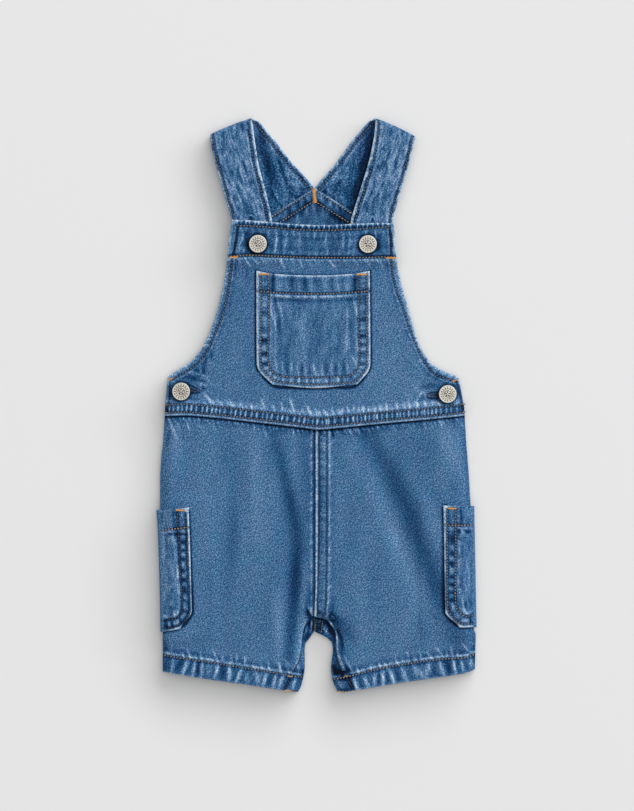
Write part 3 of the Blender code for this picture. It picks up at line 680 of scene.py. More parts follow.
def panel_grid(left, right, top, bottom, across, down):
    """X and Y of a panel's points. left and right give x at a height, top and bottom give y
    at a share of the width, and across and down are stations."""
    high, low = (
        edge(across[0] / (right(edge(0.5)) - left(edge(0.5))) + across[1]) for edge in (top, bottom)
    )
    y = high[None, :] - down[0][:, None] - down[1][:, None] * (high - low)[None, :]
    x = left(y) + across[0][None, :] + across[1][None, :] * (right(y) - left(y))
    return x, y


def flat_weave(x, y, turn=0.0):
    c, s = math.cos(turn), math.sin(turn)
    return np.stack([c * x + s * y, c * y - s * x, np.zeros_like(x)], -1)


# ==== materials ===========================================================================
def nodes_of(name):
    made = bpy.data.materials.new(name)
    made.use_nodes = True
    return made, made.node_tree, made.node_tree.nodes["Principled BSDF"]


def srgb(red, green, blue):
    """Linear colour, with alpha, of one given as it shows on a screen, 0 to 255."""
    shares = [c / 255 for c in (red, green, blue)]
    return (*(((c + 0.055) / 1.055) ** 2.4 if c > 0.04 else c / 12.92 for c in shares), 1.0)


def plus(tree, a, b):
    return add_math(tree, "ADD", a, b)


def times(tree, a, b):
    return add_math(tree, "MULTIPLY", a, b)


def swing(tree, noise, amount):
    """Noise about zero, by an amount."""
    return times(tree, add_math(tree, "SUBTRACT", noise, 0.5), amount)


def add_math(tree, operation, a, b):
    node = tree.nodes.new("ShaderNodeMath")
    node.operation = operation
    for socket, value in zip(node.inputs, (a, b)):
        if isinstance(value, (int, float)):
            socket.default_value = value
        else:
            tree.links.new(value, socket)
    return node.outputs[0]


def add_mapping(tree, vector, stretch, turn):
    """The weave's coordinates turned, and then drawn out along one way."""
    turned = tree.nodes.new("ShaderNodeMapping")
    turned.inputs["Rotation"].default_value = (0.0, 0.0, turn)
    mapping = tree.nodes.new("ShaderNodeMapping")
    mapping.inputs["Scale"].default_value = stretch
    tree.links.new(vector, turned.inputs["Vector"])
    tree.links.new(turned.outputs[0], mapping.inputs["Vector"])
    return mapping.outputs[0]


def add_noise(tree, vector, scale, detail=2.0, stretch=(1.0, 1.0, 1.0), turn=0.0):
    """Noise of one feature per 1 / scale millimetres."""
    noise = tree.nodes.new("ShaderNodeTexNoise")
    noise.inputs["Scale"].default_value = scale
    noise.inputs["Detail"].default_value = detail
    tree.links.new(add_mapping(tree, vector, stretch, turn), noise.inputs["Vector"])
    return noise.outputs[0]


def add_cells(tree, vector, stretch, turn):
    """A random value for each of the small cells that the weave shows as flecks."""
    cells = tree.nodes.new("ShaderNodeTexVoronoi")
    cells.inputs["Scale"].default_value = 1.0
    tree.links.new(add_mapping(tree, vector, stretch, turn), cells.inputs["Vector"])
    parts = tree.nodes.new("ShaderNodeSeparateColor")
    tree.links.new(cells.outputs["Color"], parts.inputs[0])
    return parts.outputs[0]


def ramp(tree, factor, stops):
    node = tree.nodes.new("ShaderNodeValToRGB")
    while len(node.color_ramp.elements) < len(stops):
        node.color_ramp.elements.new(0.5)
    for element, (place, colour) in zip(node.color_ramp.elements, stops):
        element.position = place
        element.color = colour
    tree.links.new(factor, node.inputs[0])
    return node.outputs[0]


def attribute(tree, name):
    node = tree.nodes.new("ShaderNodeAttribute")
    node.attribute_name = name
    return node


# Indigo by tone, from near black for painted shade, through deep blue, to bare white weft where it
# has worn: tone, colour.
INDIGO = [
    (-0.55, srgb(3, 12, 30)),
    (-0.4, srgb(8, 33, 62)),
    (-0.26, srgb(27, 60, 98)),
    (-0.133, srgb(48, 83, 121)),
    (0.0, srgb(72, 107, 145)),
    (0.156, srgb(101, 135, 171)),
    (0.306, srgb(137, 162, 190)),
    (0.461, srgb(172, 191, 210)),
    (0.6, srgb(203, 215, 224)),
]
DARKEST, RANGE = INDIGO[0][0], INDIGO[-1][0] - INDIGO[0][0]
INDIGO = [((tone - DARKEST) / RANGE, colour) for tone, colour in INDIGO]


def make_denim(name, grain=1.0, shift=0.0):
    made, tree, shader = nodes_of(name)
    weave = attribute(tree, "weave").outputs["Vector"]
    tone = attribute(tree, "tone").outputs["Fac"]
    twill = add_noise(tree, weave, 1.0, 0.0, (1.15, 1.0, 1.0), turn=-0.5)
    yarn = add_noise(tree, weave, 1.0, 0.0, (1.8, 0.22, 1.0), turn=-0.06)
    fleck = add_cells(tree, weave, (2.4, 1.8, 1.0), turn=-0.6)
    cloud = add_noise(tree, weave, 0.16, 3.0, (1.0, 0.55, 1.0))
    rough = plus(tree, 1.0, times(tree, tone, 0.8))
    value = plus(tree, tone, shift - DARKEST)
    for noise, amount in ((twill, 0.84), (yarn, 0.2), (fleck, 0.14), (cloud, 0.04)):
        value = plus(tree, value, times(tree, swing(tree, noise, amount * grain), rough))
    hue = add_noise(tree, weave, 0.11, 2.0, (1.0, 0.5, 1.0))
    value = times(tree, value, 1.0 / RANGE)
    tinge = tree.nodes.new("ShaderNodeHueSaturation")
    tree.links.new(ramp(tree, value, INDIGO), tinge.inputs["Color"])
    tree.links.new(plus(tree, 0.511, times(tree, hue, -0.022)), tinge.inputs["Hue"])
    tree.links.new(plus(tree, 1.0, times(tree, hue, 0.16)), tinge.inputs["Saturation"])
    tree.links.new(tinge.outputs[0], shader.inputs["Base Color"])
    height = plus(tree, times(tree, twill, 0.7), times(tree, fleck, 0.3))
    bump = tree.nodes.new("ShaderNodeBump")
    bump.inputs["Strength"].default_value = 0.35
    bump.inputs["Distance"].default_value = 0.25 * MM
    tree.links.new(height, bump.inputs["Height"])
    tree.links.new(bump.outputs[0], shader.inputs["Normal"])
    shader.inputs["Roughness"].default_value = 0.92
    shader.inputs["Specular IOR Level"].default_value = 0.15
    shader.inputs["Sheen Weight"].default_value = 0.02
    shader.inputs["Sheen Roughness"].default_value = 0.6
    return made


THREAD = [
    (0.0, srgb(14, 18, 28)),
    (0.25, srgb(52, 60, 74)),
    (0.5, srgb(124, 123, 122)),
    (0.75, srgb(188, 152, 106)),
    (1.0, srgb(226, 158, 74)),
]


def make_thread():
    made, tree, shader = nodes_of("thread")
    tint = attribute(tree, "tint").outputs["Fac"]
    fuzz = add_noise(tree, attribute(tree, "weave").outputs["Vector"], 1.6, 2.0)
    value = plus(tree, tint, swing(tree, fuzz, 0.2))
    tree.links.new(ramp(tree, value, THREAD), shader.inputs["Base Color"])
    shader.inputs["Roughness"].default_value = 0.7
    shader.inputs["Specular IOR Level"].default_value = 0.3
    return made


METAL = [
    (0.0, srgb(40, 36, 34)),
    (0.45, srgb(128, 122, 112)),
    (0.8, srgb(214, 210, 200)),
    (1.0, srgb(238, 235, 226)),
]


def make_silver():
    made, tree, shader = nodes_of("silver_cap")
    # The cap's tone: patina in its grooves and marks, and painted shade on the outer wall of its
    # rim.
    patina_and_shade = attribute(tree, "tone").outputs["Fac"]
    patina = add_noise(tree, attribute(tree, "weave").outputs["Vector"], 0.5, 3.0)
    value = plus(tree, patina_and_shade, swing(tree, patina, 0.18))
    tree.links.new(ramp(tree, value, METAL), shader.inputs["Base Color"])
    shader.inputs["Metallic"].default_value = 0.75
    shader.inputs["Roughness"].default_value = 0.6
    return made


DENIM = make_denim("denim_washed")
DENIM_STRAP = make_denim("denim_strap", grain=1.1)
# A darker copy of the denim, with painted shade, for the back bodice, which shows in shade between
# the straps.
SHADE_PAINTED_DENIM = make_denim("denim_shaded", grain=0.9, shift=-0.08)
THREAD_FINISH = make_thread()
SILVER = make_silver()


# The largest creases of the legs, in the order of their tops from right to left.
CREASES = strokes(Crease,
    (37.1, -19.7, 44.9, -32.2, 55.8, -49.3, 66.7, -72, 76.8, -96.9, 91.7, -137.5, 104.1, -169.5,
     110.4, -188.2, 7.5, 0.9, -0.22),
    (27.7, -36.9, 49.5, -78.2, 68.2, -121.1, 83.9, -160.1, 7.02, -0.35, 0.07),
    (74.5, -50.9, 88.5, -83.7, 101, -121.1, 6.24, -0.3, 0.04),
    (-37.8, -15.8, -29.2, -39.2, -22.2, -68.1, -17.6, -93.8, 4.29, 0.4, -0.13),
    (-20.7, -70.4, -16, -101.6, -16.8, -140.6, -19.9, -177.3, -23, -208.5, 5.46, 1, -0.27),
    (-31.6, -144.5, -29.2, -183.5, -29.2, -202.2, 4.68, -0.35, 0.1),
    (-9.8, -121.1, -11.3, -152.3, -13.7, -183.5, -16, -199.1, 3.12, -0.3, 0.13),
    (-65.1, -27.5, -64.4, -58.7, -65.9, -113.3, -67.5, -152.3, 5.07, 0.35, -0.09),
    (-52.6, -18.1, -50.3, -50.9, -48, -105.5, 6.24, -0.3, 0.06),
    (96.3, -18.1, 104.1, -33.7, 110.4, -55.6, 7.8, -0.3, 0.1),
    (-109.6, -19.7, -115, -39.2, -115.8, -60.3, 6.24, -0.2, 0.06),
    (3.5, -57.1, 3.5, -109.4, 4.68, 0, -0.07),
    (13.7, -20.5, 35.5, -18.9, 58.9, -15.8, 4.68, 0.15, -0.08),
    (-50.3, -13.5, -25.4, -16.6, -3.5, -22, 3.9, 0.15, -0.07),
    (-12.9, -24.4, -8.2, -50.9, -5.9, -89.9, 3.9, 0.2, -0.05),
    (9.8, -161.7, 18.3, -169.5, 27.7, -183.5, 4.68, 0.4, -0.16),
    (16.8, -183.5, 21.4, -195.2, 26.1, -205.3, 3.12, 0.3, -0.12),
    (-10.5, -161.7, -5.9, -152.3, -4.3, -140.6, 2.73, 0.3, -0.14),
    (65.1, -183.5, 80.7, -152.3, 87, -121.1, 6.24, -0.2, 0.03),
    (-94, -27.5, -86.2, -74.3, -84.6, -121.1, 7.02, -0.2, 0.03),
    (87, -66.5, 96.3, -74.3, 99.5, -89.9, 4.68, 0.2, -0.07),
    (27.7, -121.1, 30.8, -152.3, 38.6, -183.5, 7.02, -0.2, 0.03),
)


# ==== sewing ==============================================================================
# Tints of thread, from its darkest to its brightest. The darkest is painted shade: the thread
# where it dips into the cloth, and a row that lies in shadow.
PAINTED_SHADE, SHADED, TOBACCO, ORANGE = 0.07, 0.2, 0.43, 0.95
PITCH = 2.45
STITCH = 0.64  # a stitch's share of its pitch: the rest dips into the cloth


def rings_of_quads(rings, sides):
    """The quads between rings of points, each ring with as many sides."""
    k = np.arange(sides)
    after = (k + 1) % sides
    ring = np.stack([k, after, after + sides, k + sides], -1)
    return np.concatenate([ring + sides * r for r in range(rings - 1)])


def stitch_mesh(name, places, course, up, length, width, tints, finish):
    """One mesh of single stitches: each is a small lozenge of thread, lying along a direction."""
    ring = [(-0.5, 0.35), (-0.25, 1.0), (0.25, 1.0), (0.5, 0.35)]
    sides = 5
    turn = np.linspace(0.0, 2 * np.pi, sides, endpoint=False)
    template = np.array([(t, r * np.cos(a), r * np.sin(a)) for t, r in ring for a in turn])
    course = course / np.linalg.norm(course, axis=1)[:, None]
    aside = np.cross(up, course)
    aside /= np.linalg.norm(aside, axis=1)[:, None]
    axes = (course, aside, np.cross(course, aside))
    scaled = template[None] * np.stack([length, width / 2, width / 2 * 0.8], -1)[:, None, :]
    points = places[:, None, :] + sum(scaled[..., k, None] * axes[k][:, None] for k in range(3))
    count = len(template)
    quads = rings_of_quads(len(ring), sides)
    caps = np.array([range(sides)[::-1], range(count - sides, count)])
    offset = (np.arange(len(places)) * count)[:, None, None]
    polygons = [(quads[None] + offset).reshape(-1, 4), (caps[None] + offset).reshape(-1, sides)]
    vertices = points.reshape(-1, 3)
    if signed_volume(vertices, polygons) < 0:
        polygons = [p[:, ::-1] for p in polygons]
    fields = {"tint": np.repeat(tints, count), "weave": vertices}
    return new_mesh(name, vertices, polygons, finish, fields)


class Sewing:
    """Stitches of one piece, gathered until they are made into one mesh."""

    def __init__(self, name, over, side=1.0):
        self.name, self.over, self.side = name, over, side
        self.parts = []
        self.seed = sum(map(ord, name))

    def place(self, points, direction, length, width, tint, sink=0.12):
        x, y = points[:, 0], points[:, 1]
        z = self.over(x, y)
        ahead = self.over(x + 0.5 * direction[:, 0], y + 0.5 * direction[:, 1])
        behind = self.over(x - 0.5 * direction[:, 0], y - 0.5 * direction[:, 1])
        middle = (2 * z + ahead + behind) / 4 + self.side * (width * 0.4 - sink)
        up = np.tile([0.0, 0.0, self.side], (len(x), 1))
        course = np.column_stack([direction, ahead - behind])
        self.put(np.column_stack([x, y, middle]), course, up, length, width, tint)

    def put(self, places, course, up, length, width, tint):
        count = len(places)
        rolls = dice(self.seed + 13 * len(self.parts))[: 3 * count].reshape(3, count)
        uneven = (length * (0.9 + 0.2 * rolls[0]), width * (0.9 + 0.25 * rolls[1]))
        self.parts.append((places, course, up, *uneven, tint + 0.16 * (rolls[2] - 0.5)))

    def row(self, points, tint=TOBACCO, pitch=PITCH, width=0.88, slant=0.3):
        """A row of stitches along a line."""
        path = smooth_path(points, 0.5)
        place, direction = march(path, np.arange(pitch / 2, run_of(path)[-1], pitch), 0.5)
        direction = direction + slant * to_left(direction)
        direction /= np.hypot(*direction.T)[:, None]
        self.place(place, direction, STITCH * pitch, width, tint)
        # Between the stitches, a near-black piece of thread is painted shade where the thread dips
        # into the cloth.
        dips = place + 0.5 * pitch * direction
        self.place(dips, direction, (1.0 - STITCH) * pitch, 0.75 * width, PAINTED_SHADE, sink=0.2)

    def tack(self, points, across=1.9, tint=ORANGE, pitch=0.5, width=0.62):
        """A bartack: threads laid close together across a line."""
        path = smooth_path(points, 0.25)
        place, direction = march(path, np.arange(0.0, run_of(path)[-1] + 1e-6, pitch), 0.3)
        lean = np.where(np.arange(len(place)) % 2, 0.28, -0.28)[:, None]
        crossing = to_left(direction) + lean * direction
        crossing /= np.hypot(*crossing.T)[:, None]
        self.place(place, crossing, across, width, tint, sink=-0.05)

    def make(self):
        joined = [np.concatenate([part[k] for part in self.parts]) for k in range(6)]
        return stitch_mesh(self.name, *joined, THREAD_FINISH)


# ==== seam lines ==========================================================================
BIB_TOP_ROW = [
    (-62.4, 139.8), (-45.1, 138.8), (-22.2, 136.8), (0.7, 135.8), (23.6, 136.3), (46.4, 137.8),
    (56.6, 138.8),
]
BIB_BAND_ROW = [
    (-67.9, 115.5), (-51.9, 116.5), (-36.3, 115.8), (0.0, 114.7), (33.9, 114.6), (53.4, 115.1),
    (62.0, 115.1),
]
UPRIGHT_LEFT = [(-61.2, 138.4), (-62.8, 126.9), (-65.1, 116)]
UPRIGHT_RIGHT = [(56.9, 137.9), (58, 126.9), (58.1, 115.2)]
ARMHOLE_LEFT = [
    (-65.6, 114.3), (-66.7, 104.9), (-69.8, 84), (-73.9, 68.4), (-78.2, 57.9), (-84.9, 42.7),
    (-92, 33.3), (-101.5, 25.7), (-111.9, 20.1),
]
ARMHOLE_RIGHT = [
    (57.6, 113.2), (60.8, 94.4), (66.1, 78.8), (71.2, 63.1), (76.4, 49.6), (83.5, 34.2),
    (91.1, 24.8), (100.6, 20.5), (109.1, 18.1),
]
PLACKET_LEFT = [(-114.4, 16), (-114.7, 6.2), (-116.1, -4.6)]
PLACKET_RIGHT = [(109.4, 18.1), (111.8, 8.6), (113.5, 0.8), (115, -5.4)]
POCKET_OUTER = [
    (-43.4, 101.6), (-43.4, 60), (-43.4, 32), (-41.8, 27.1), (-31.7, 18.5), (-17.6, 16.5),
    (-2, 15.7), (14.4, 16.4), (29.4, 18), (37.6, 26.9), (39.1, 32), (39.1, 60), (39.1, 101.6),
]
POCKET_INNER = [
    (-37.4, 101.6), (-37.4, 60), (-37.3, 30.2), (-30.3, 22.8), (-16, 21.6), (-2, 21.1),
    (12.9, 21.8), (26.4, 22.9), (33, 30.2), (32.9, 60), (32.9, 101.6),
]
POCKET_HEM = [(-46.8, 88.5), (-24.6, 86.9), (-2, 86.3), (19.1, 86.9), (41, 88.5)]
CARGO_LEFT_OUTER = [
    (-102.1, -84.1), (-101, -106.3), (-100.3, -128.1), (-98.9, -157), (-99.6, -163),
    (-106.8, -171.3), (-119.4, -174.6),
]
CARGO_LEFT_INNER = [
    (-108.3, -84.1), (-107.2, -106.3), (-106.1, -128.1), (-104.7, -159.1), (-108.3, -165.6),
    (-119.6, -168.1),
]
CARGO_LEFT_HEM = [(-124.1, -98.2), (-98.5, -95.3)]
CARGO_RIGHT_OUTER = [
    (101.8, -81.3), (101.8, -121.1), (102.2, -158.5), (104.5, -163.5), (111.9, -170.2),
    (121.4, -170.6),
]
CARGO_RIGHT_INNER = [
    (108.3, -81.7), (108.4, -121.1), (108.7, -157), (114.8, -164.5), (121.4, -164.3),
]
CARGO_RIGHT_HEM = [(99.5, -93.8), (124.8, -93.8)]
CENTRE_NEAR = [(2, -21), (2, -89.9), (0.8, -152.3), (0.5, -166.3)]
CENTRE_FAR = [(8.2, -20.5), (8.2, -89.9), (7.2, -152.3), (6, -164.6)]
CROTCH_NEAR = [(-0.2, -167), (-1.3, -176.3)]
CROTCH_FAR = [(4.9, -168.3), (3.6, -178.8)]
HEM_LEFT = [(-119.5, -195.6), (-90.9, -199.8), (-59.7, -204.7), (-32.4, -209.1), (-10.9, -212.8)]
HEM_RIGHT = [
    (12.9, -214.4), (27.7, -211.2), (45.6, -206.7), (63.7, -203.2), (96.6, -198.6), (118.5, -197.0),
    (123.5, -194.6),
]
INSEAM_LEFT = [
    (-6.6, -168.2), (-9.2, -173.6), (-10.9, -181.4), (-12.3, -192.3), (-14.0, -200.0),
    (-18.8, -207.8),
]
INSEAM_LEFT_HEM = [(-21.5, -214.2), (-24.8, -222)]
INSEAM_RIGHT = [(11.3, -170.5), (14.8, -178), (15.8, -187.1), (17.4, -196.8), (20.7, -206.5)]
INSEAM_RIGHT_HEM = [(23.6, -213), (28.5, -221.5)]


# The same rows by side: -1 is the left and 1 the right.
HEMS = {-1: LEFT_HEM, 1: RIGHT_HEM}
HEM_ROWS = {-1: HEM_LEFT, 1: HEM_RIGHT}
INSEAMS = {-1: (INSEAM_LEFT, INSEAM_LEFT_HEM), 1: (INSEAM_RIGHT, INSEAM_RIGHT_HEM)}
CARGO_ROWS = {
    -1: (CARGO_LEFT_OUTER, CARGO_LEFT_INNER, CARGO_LEFT_HEM),
    1: (CARGO_RIGHT_OUTER, CARGO_RIGHT_INNER, CARGO_RIGHT_HEM),
}
ARMHOLES = ((-1.0, ARMHOLE_LEFT), (1.0, ARMHOLE_RIGHT))


def waist_line(offset, start=-118.0, end=116.5, count=24):
    x = np.linspace(start, end, count)
    return np.column_stack([x, waist(x) + offset])


def neck_line(offset, start, end):
    x = np.array([start, -14.0, PEAK[0], 10.0, end])
    return np.column_stack([x, neck(x) - offset])


def outline(rows, side):
    return np.array([(getattr(row, side), row.y) for row in rows], float)


WAIST_ROWS = [waist_line(2.6), waist_line(8.7)]
BIB_LEFT_EDGE = smooth_path(outline(SIDES[:13], "left"))
BIB_RIGHT_EDGE = smooth_path(outline(SIDES[:13], "right"))
BIB_POCKET_EDGE = smooth_path(
    [(-47.0, 104.4), (-46.9, 60.0), (-46.6, 31.5), (-45.2, 27.0)]
    + [(-33.0, 14.8), (-18.0, 13.4), (-2.0, 12.9)]
    + [(14.0, 13.6), (30.4, 14.8), (41.0, 27.5), (42.0, 31.5), (41.9, 60.0), (41.5, 104.4)],
    2.0,
)


# ==== worn ridges, and painted shade in dips ===============================================
# Each strap's last two rays are its keyhole eye: a light ring of stitching, and painted shade in
# its slit.
STRAP_RAYS = {
    "strap_left": strokes(Ray,
        (-73.8, 213.5, -70.9, 204.6, 1.17, -0.16), (-71.8, 190.9, -70.6, 188.6, 1.4, -0.26),
        (-64, 212.4, -62.1, 207.4, 0.94, -0.12), (-61.2, 215.1, -60.1, 209.6, 0.94, -0.1),
        (-68.4, 203.5, -65.1, 196.8, -63.6, 190.9, 1.17, -0.1),
        (-57.7, 191.8, -55.8, 184, -52.8, 174.5, -50.4, 166.7, 1.09, -0.2),
        (-67, 184, -65.1, 179.2, 0.94, -0.13),
        (-63.6, 175.3, -60.6, 167.5, -57.7, 157.8, -55.8, 150, 1.17, -0.16),
        (-68.4, 175.3, -67, 167.5, 0.94, -0.13), (-48.9, 167.5, -47.2, 165.6, 1.17, -0.2),
        (-52.8, 161.7, -50.9, 151.9, -49.9, 146.1, 1.4, -0.16),
        (-66, 161.7, -62.8, 152.8, 0.94, -0.12), (-44.1, 156.7, -41.7, 148.9, 0.94, -0.14),
        (-49.9, 175.3, -48, 171.4, 0.94, -0.13), (-56.7, 201.8, -55, 196.8, 0.94, -0.12),
        (-57.7, 217.4, -56.7, 212.4, 0.94, -0.1), (-74.5, 197.9, -72.3, 194, 0.94, -0.1),
        (-69.9, 211.3, -66, 201.8, -62.8, 197.9, 0.94, 0.09),
        (-72.3, 192.9, -68.4, 187, 0.94, 0.14),
        (-65.1, 173.4, -61.6, 163.6, -58.9, 155, 0.94, 0.14),
        (-59.7, 194, -57.7, 187.9, 0.94, 0.09), (-55, 189, -52.3, 183.1, 0.94, 0.09),
        (-49.9, 169.5, -47.2, 159.7, -45.6, 151.9, 0.94, 0.1),
        (-66, 190.9, -61.6, 186.2, 0.94, 0.07), (-64, 206.5, -62.8, 200.7, 0.94, 0.08),
        (-52.8, 147.1, -51.9, 147.7, -50.6, 147.7, -49.5, 146.8, -49.4, 145.4, 0.55, 0.5),
        (-51.4, 146.1, -50.8, 144.6, 0.78, -0.6),
    ),
    "strap_right": strokes(Ray,
        (58.1, 216.3, 59.3, 207.4, 1.01, -0.13), (54.2, 213.5, 54.9, 209.6, 0.94, -0.1),
        (63.2, 210.4, 63.6, 205.7, 0.94, -0.1), (51.5, 199.6, 53, 198.2, 1.17, -0.2),
        (57.3, 207.4, 57.8, 200.7, 55.4, 192.9, 1.01, -0.13), (61.2, 192.9, 62, 184, 1.56, -0.14),
        (54.2, 192.9, 53.9, 184, 52.5, 179.2, 1.01, -0.1), (47.6, 187, 48.6, 183.1, 1.01, -0.14),
        (51.5, 175.3, 53.4, 167.5, 54.2, 159.7, 1.17, -0.16),
        (41.7, 167.5, 43.2, 162.8, 1.01, -0.16),
        (45.6, 165.6, 44.7, 152.8, 43.2, 146.1, 1.01, -0.14),
        (55.8, 157.8, 56.9, 152.8, 1.01, -0.14), (38.3, 155, 39.8, 150, 1.4, -0.18),
        (59.3, 170.6, 58.8, 165.6, 1.01, -0.14), (50.3, 152.8, 51.5, 148, 1.01, -0.1),
        (65.9, 212.4, 67.1, 206.5, 0.94, -0.08), (63.2, 200.7, 65.1, 190.9, 0.94, -0.1),
        (34.7, 147.2, 35.9, 143.3, 0.94, -0.13), (61.2, 194.8, 56.4, 187, 58.1, 177.3, 0.94, 0.1),
        (59.3, 203.5, 58.1, 197.9, 0.94, 0.1), (55.4, 179.2, 61.2, 177.3, 0.94, 0.08),
        (49.1, 171.4, 50.3, 161.7, 0.94, 0.13), (56.4, 167.5, 60.3, 162.8, 0.94, 0.12),
        (46.4, 151.9, 47.6, 144.1, 0.94, 0.1), (67.1, 204.6, 65.9, 198.7, 0.94, 0.09),
        (62, 175.3, 59.3, 171.4, 0.94, 0.1), (52.5, 207.4, 51.5, 201.8, 0.94, 0.08),
        (42.2, 144.4, 42.4, 146, 43.5, 146.8, 44.8, 146, 45, 144.3, 0.55, 0.45),
        (43.5, 145.2, 43.4, 143.2, 0.78, -0.6),
    ),
}
# Wrinkles where the back shows at the crotch; their dark strokes are painted shade.
CROTCH_RAYS = strokes(Ray,
    (-7.4, -160.1, -5.5, -164.8, -5.5, -169.5, 1.56, -0.34),
    (-8.5, -169.5, -5.5, -170.5, -4.9, -174.9, 1.25, -0.36),
    (-7.1, -173, -8.5, -177.3, -8.3, -181.9, 0.78, 0.4), (-6.8, -178.5, -8.7, -184.9, 0.94, -0.32),
    (-3.4, -168.1, -4, -171.5, -4.4, -174.6, -4.8, -177.7, 0.62, 0.8),
    (-2.2, -167.9, -2.3, -173.4, -2.8, -177.6, 0.78, -0.6), (-10.5, -184.3, -9, -191.3, 1.09, 0.1),
    (1.8, -167.9, 1.3, -177.3, 2.18, -0.2),
    (5.3, -169.3, 8.7, -171, 12.1, -178, 14, -184.9, 1.72, -0.4),
    (4.1, -172.6, 6.3, -175.2, 9.4, -180.2, 0.7, 0.6), (7.9, -173, 9.8, -176, 0.62, 0.34),
    (11, -178.8, 12.9, -183.5, 0.62, 0.3), (1.6, -169.9, 3.2, -170.4, 0.7, 0.5),
    (1.2, -172.9, 2.7, -173.4, 0.7, 0.46), (0.7, -175.7, 2.3, -176.2, 0.7, 0.4),
    (0.4, -171.3, 3.5, -172, 0.7, -0.3), (0.1, -174.3, 3.2, -174.9, 0.7, -0.3),
)
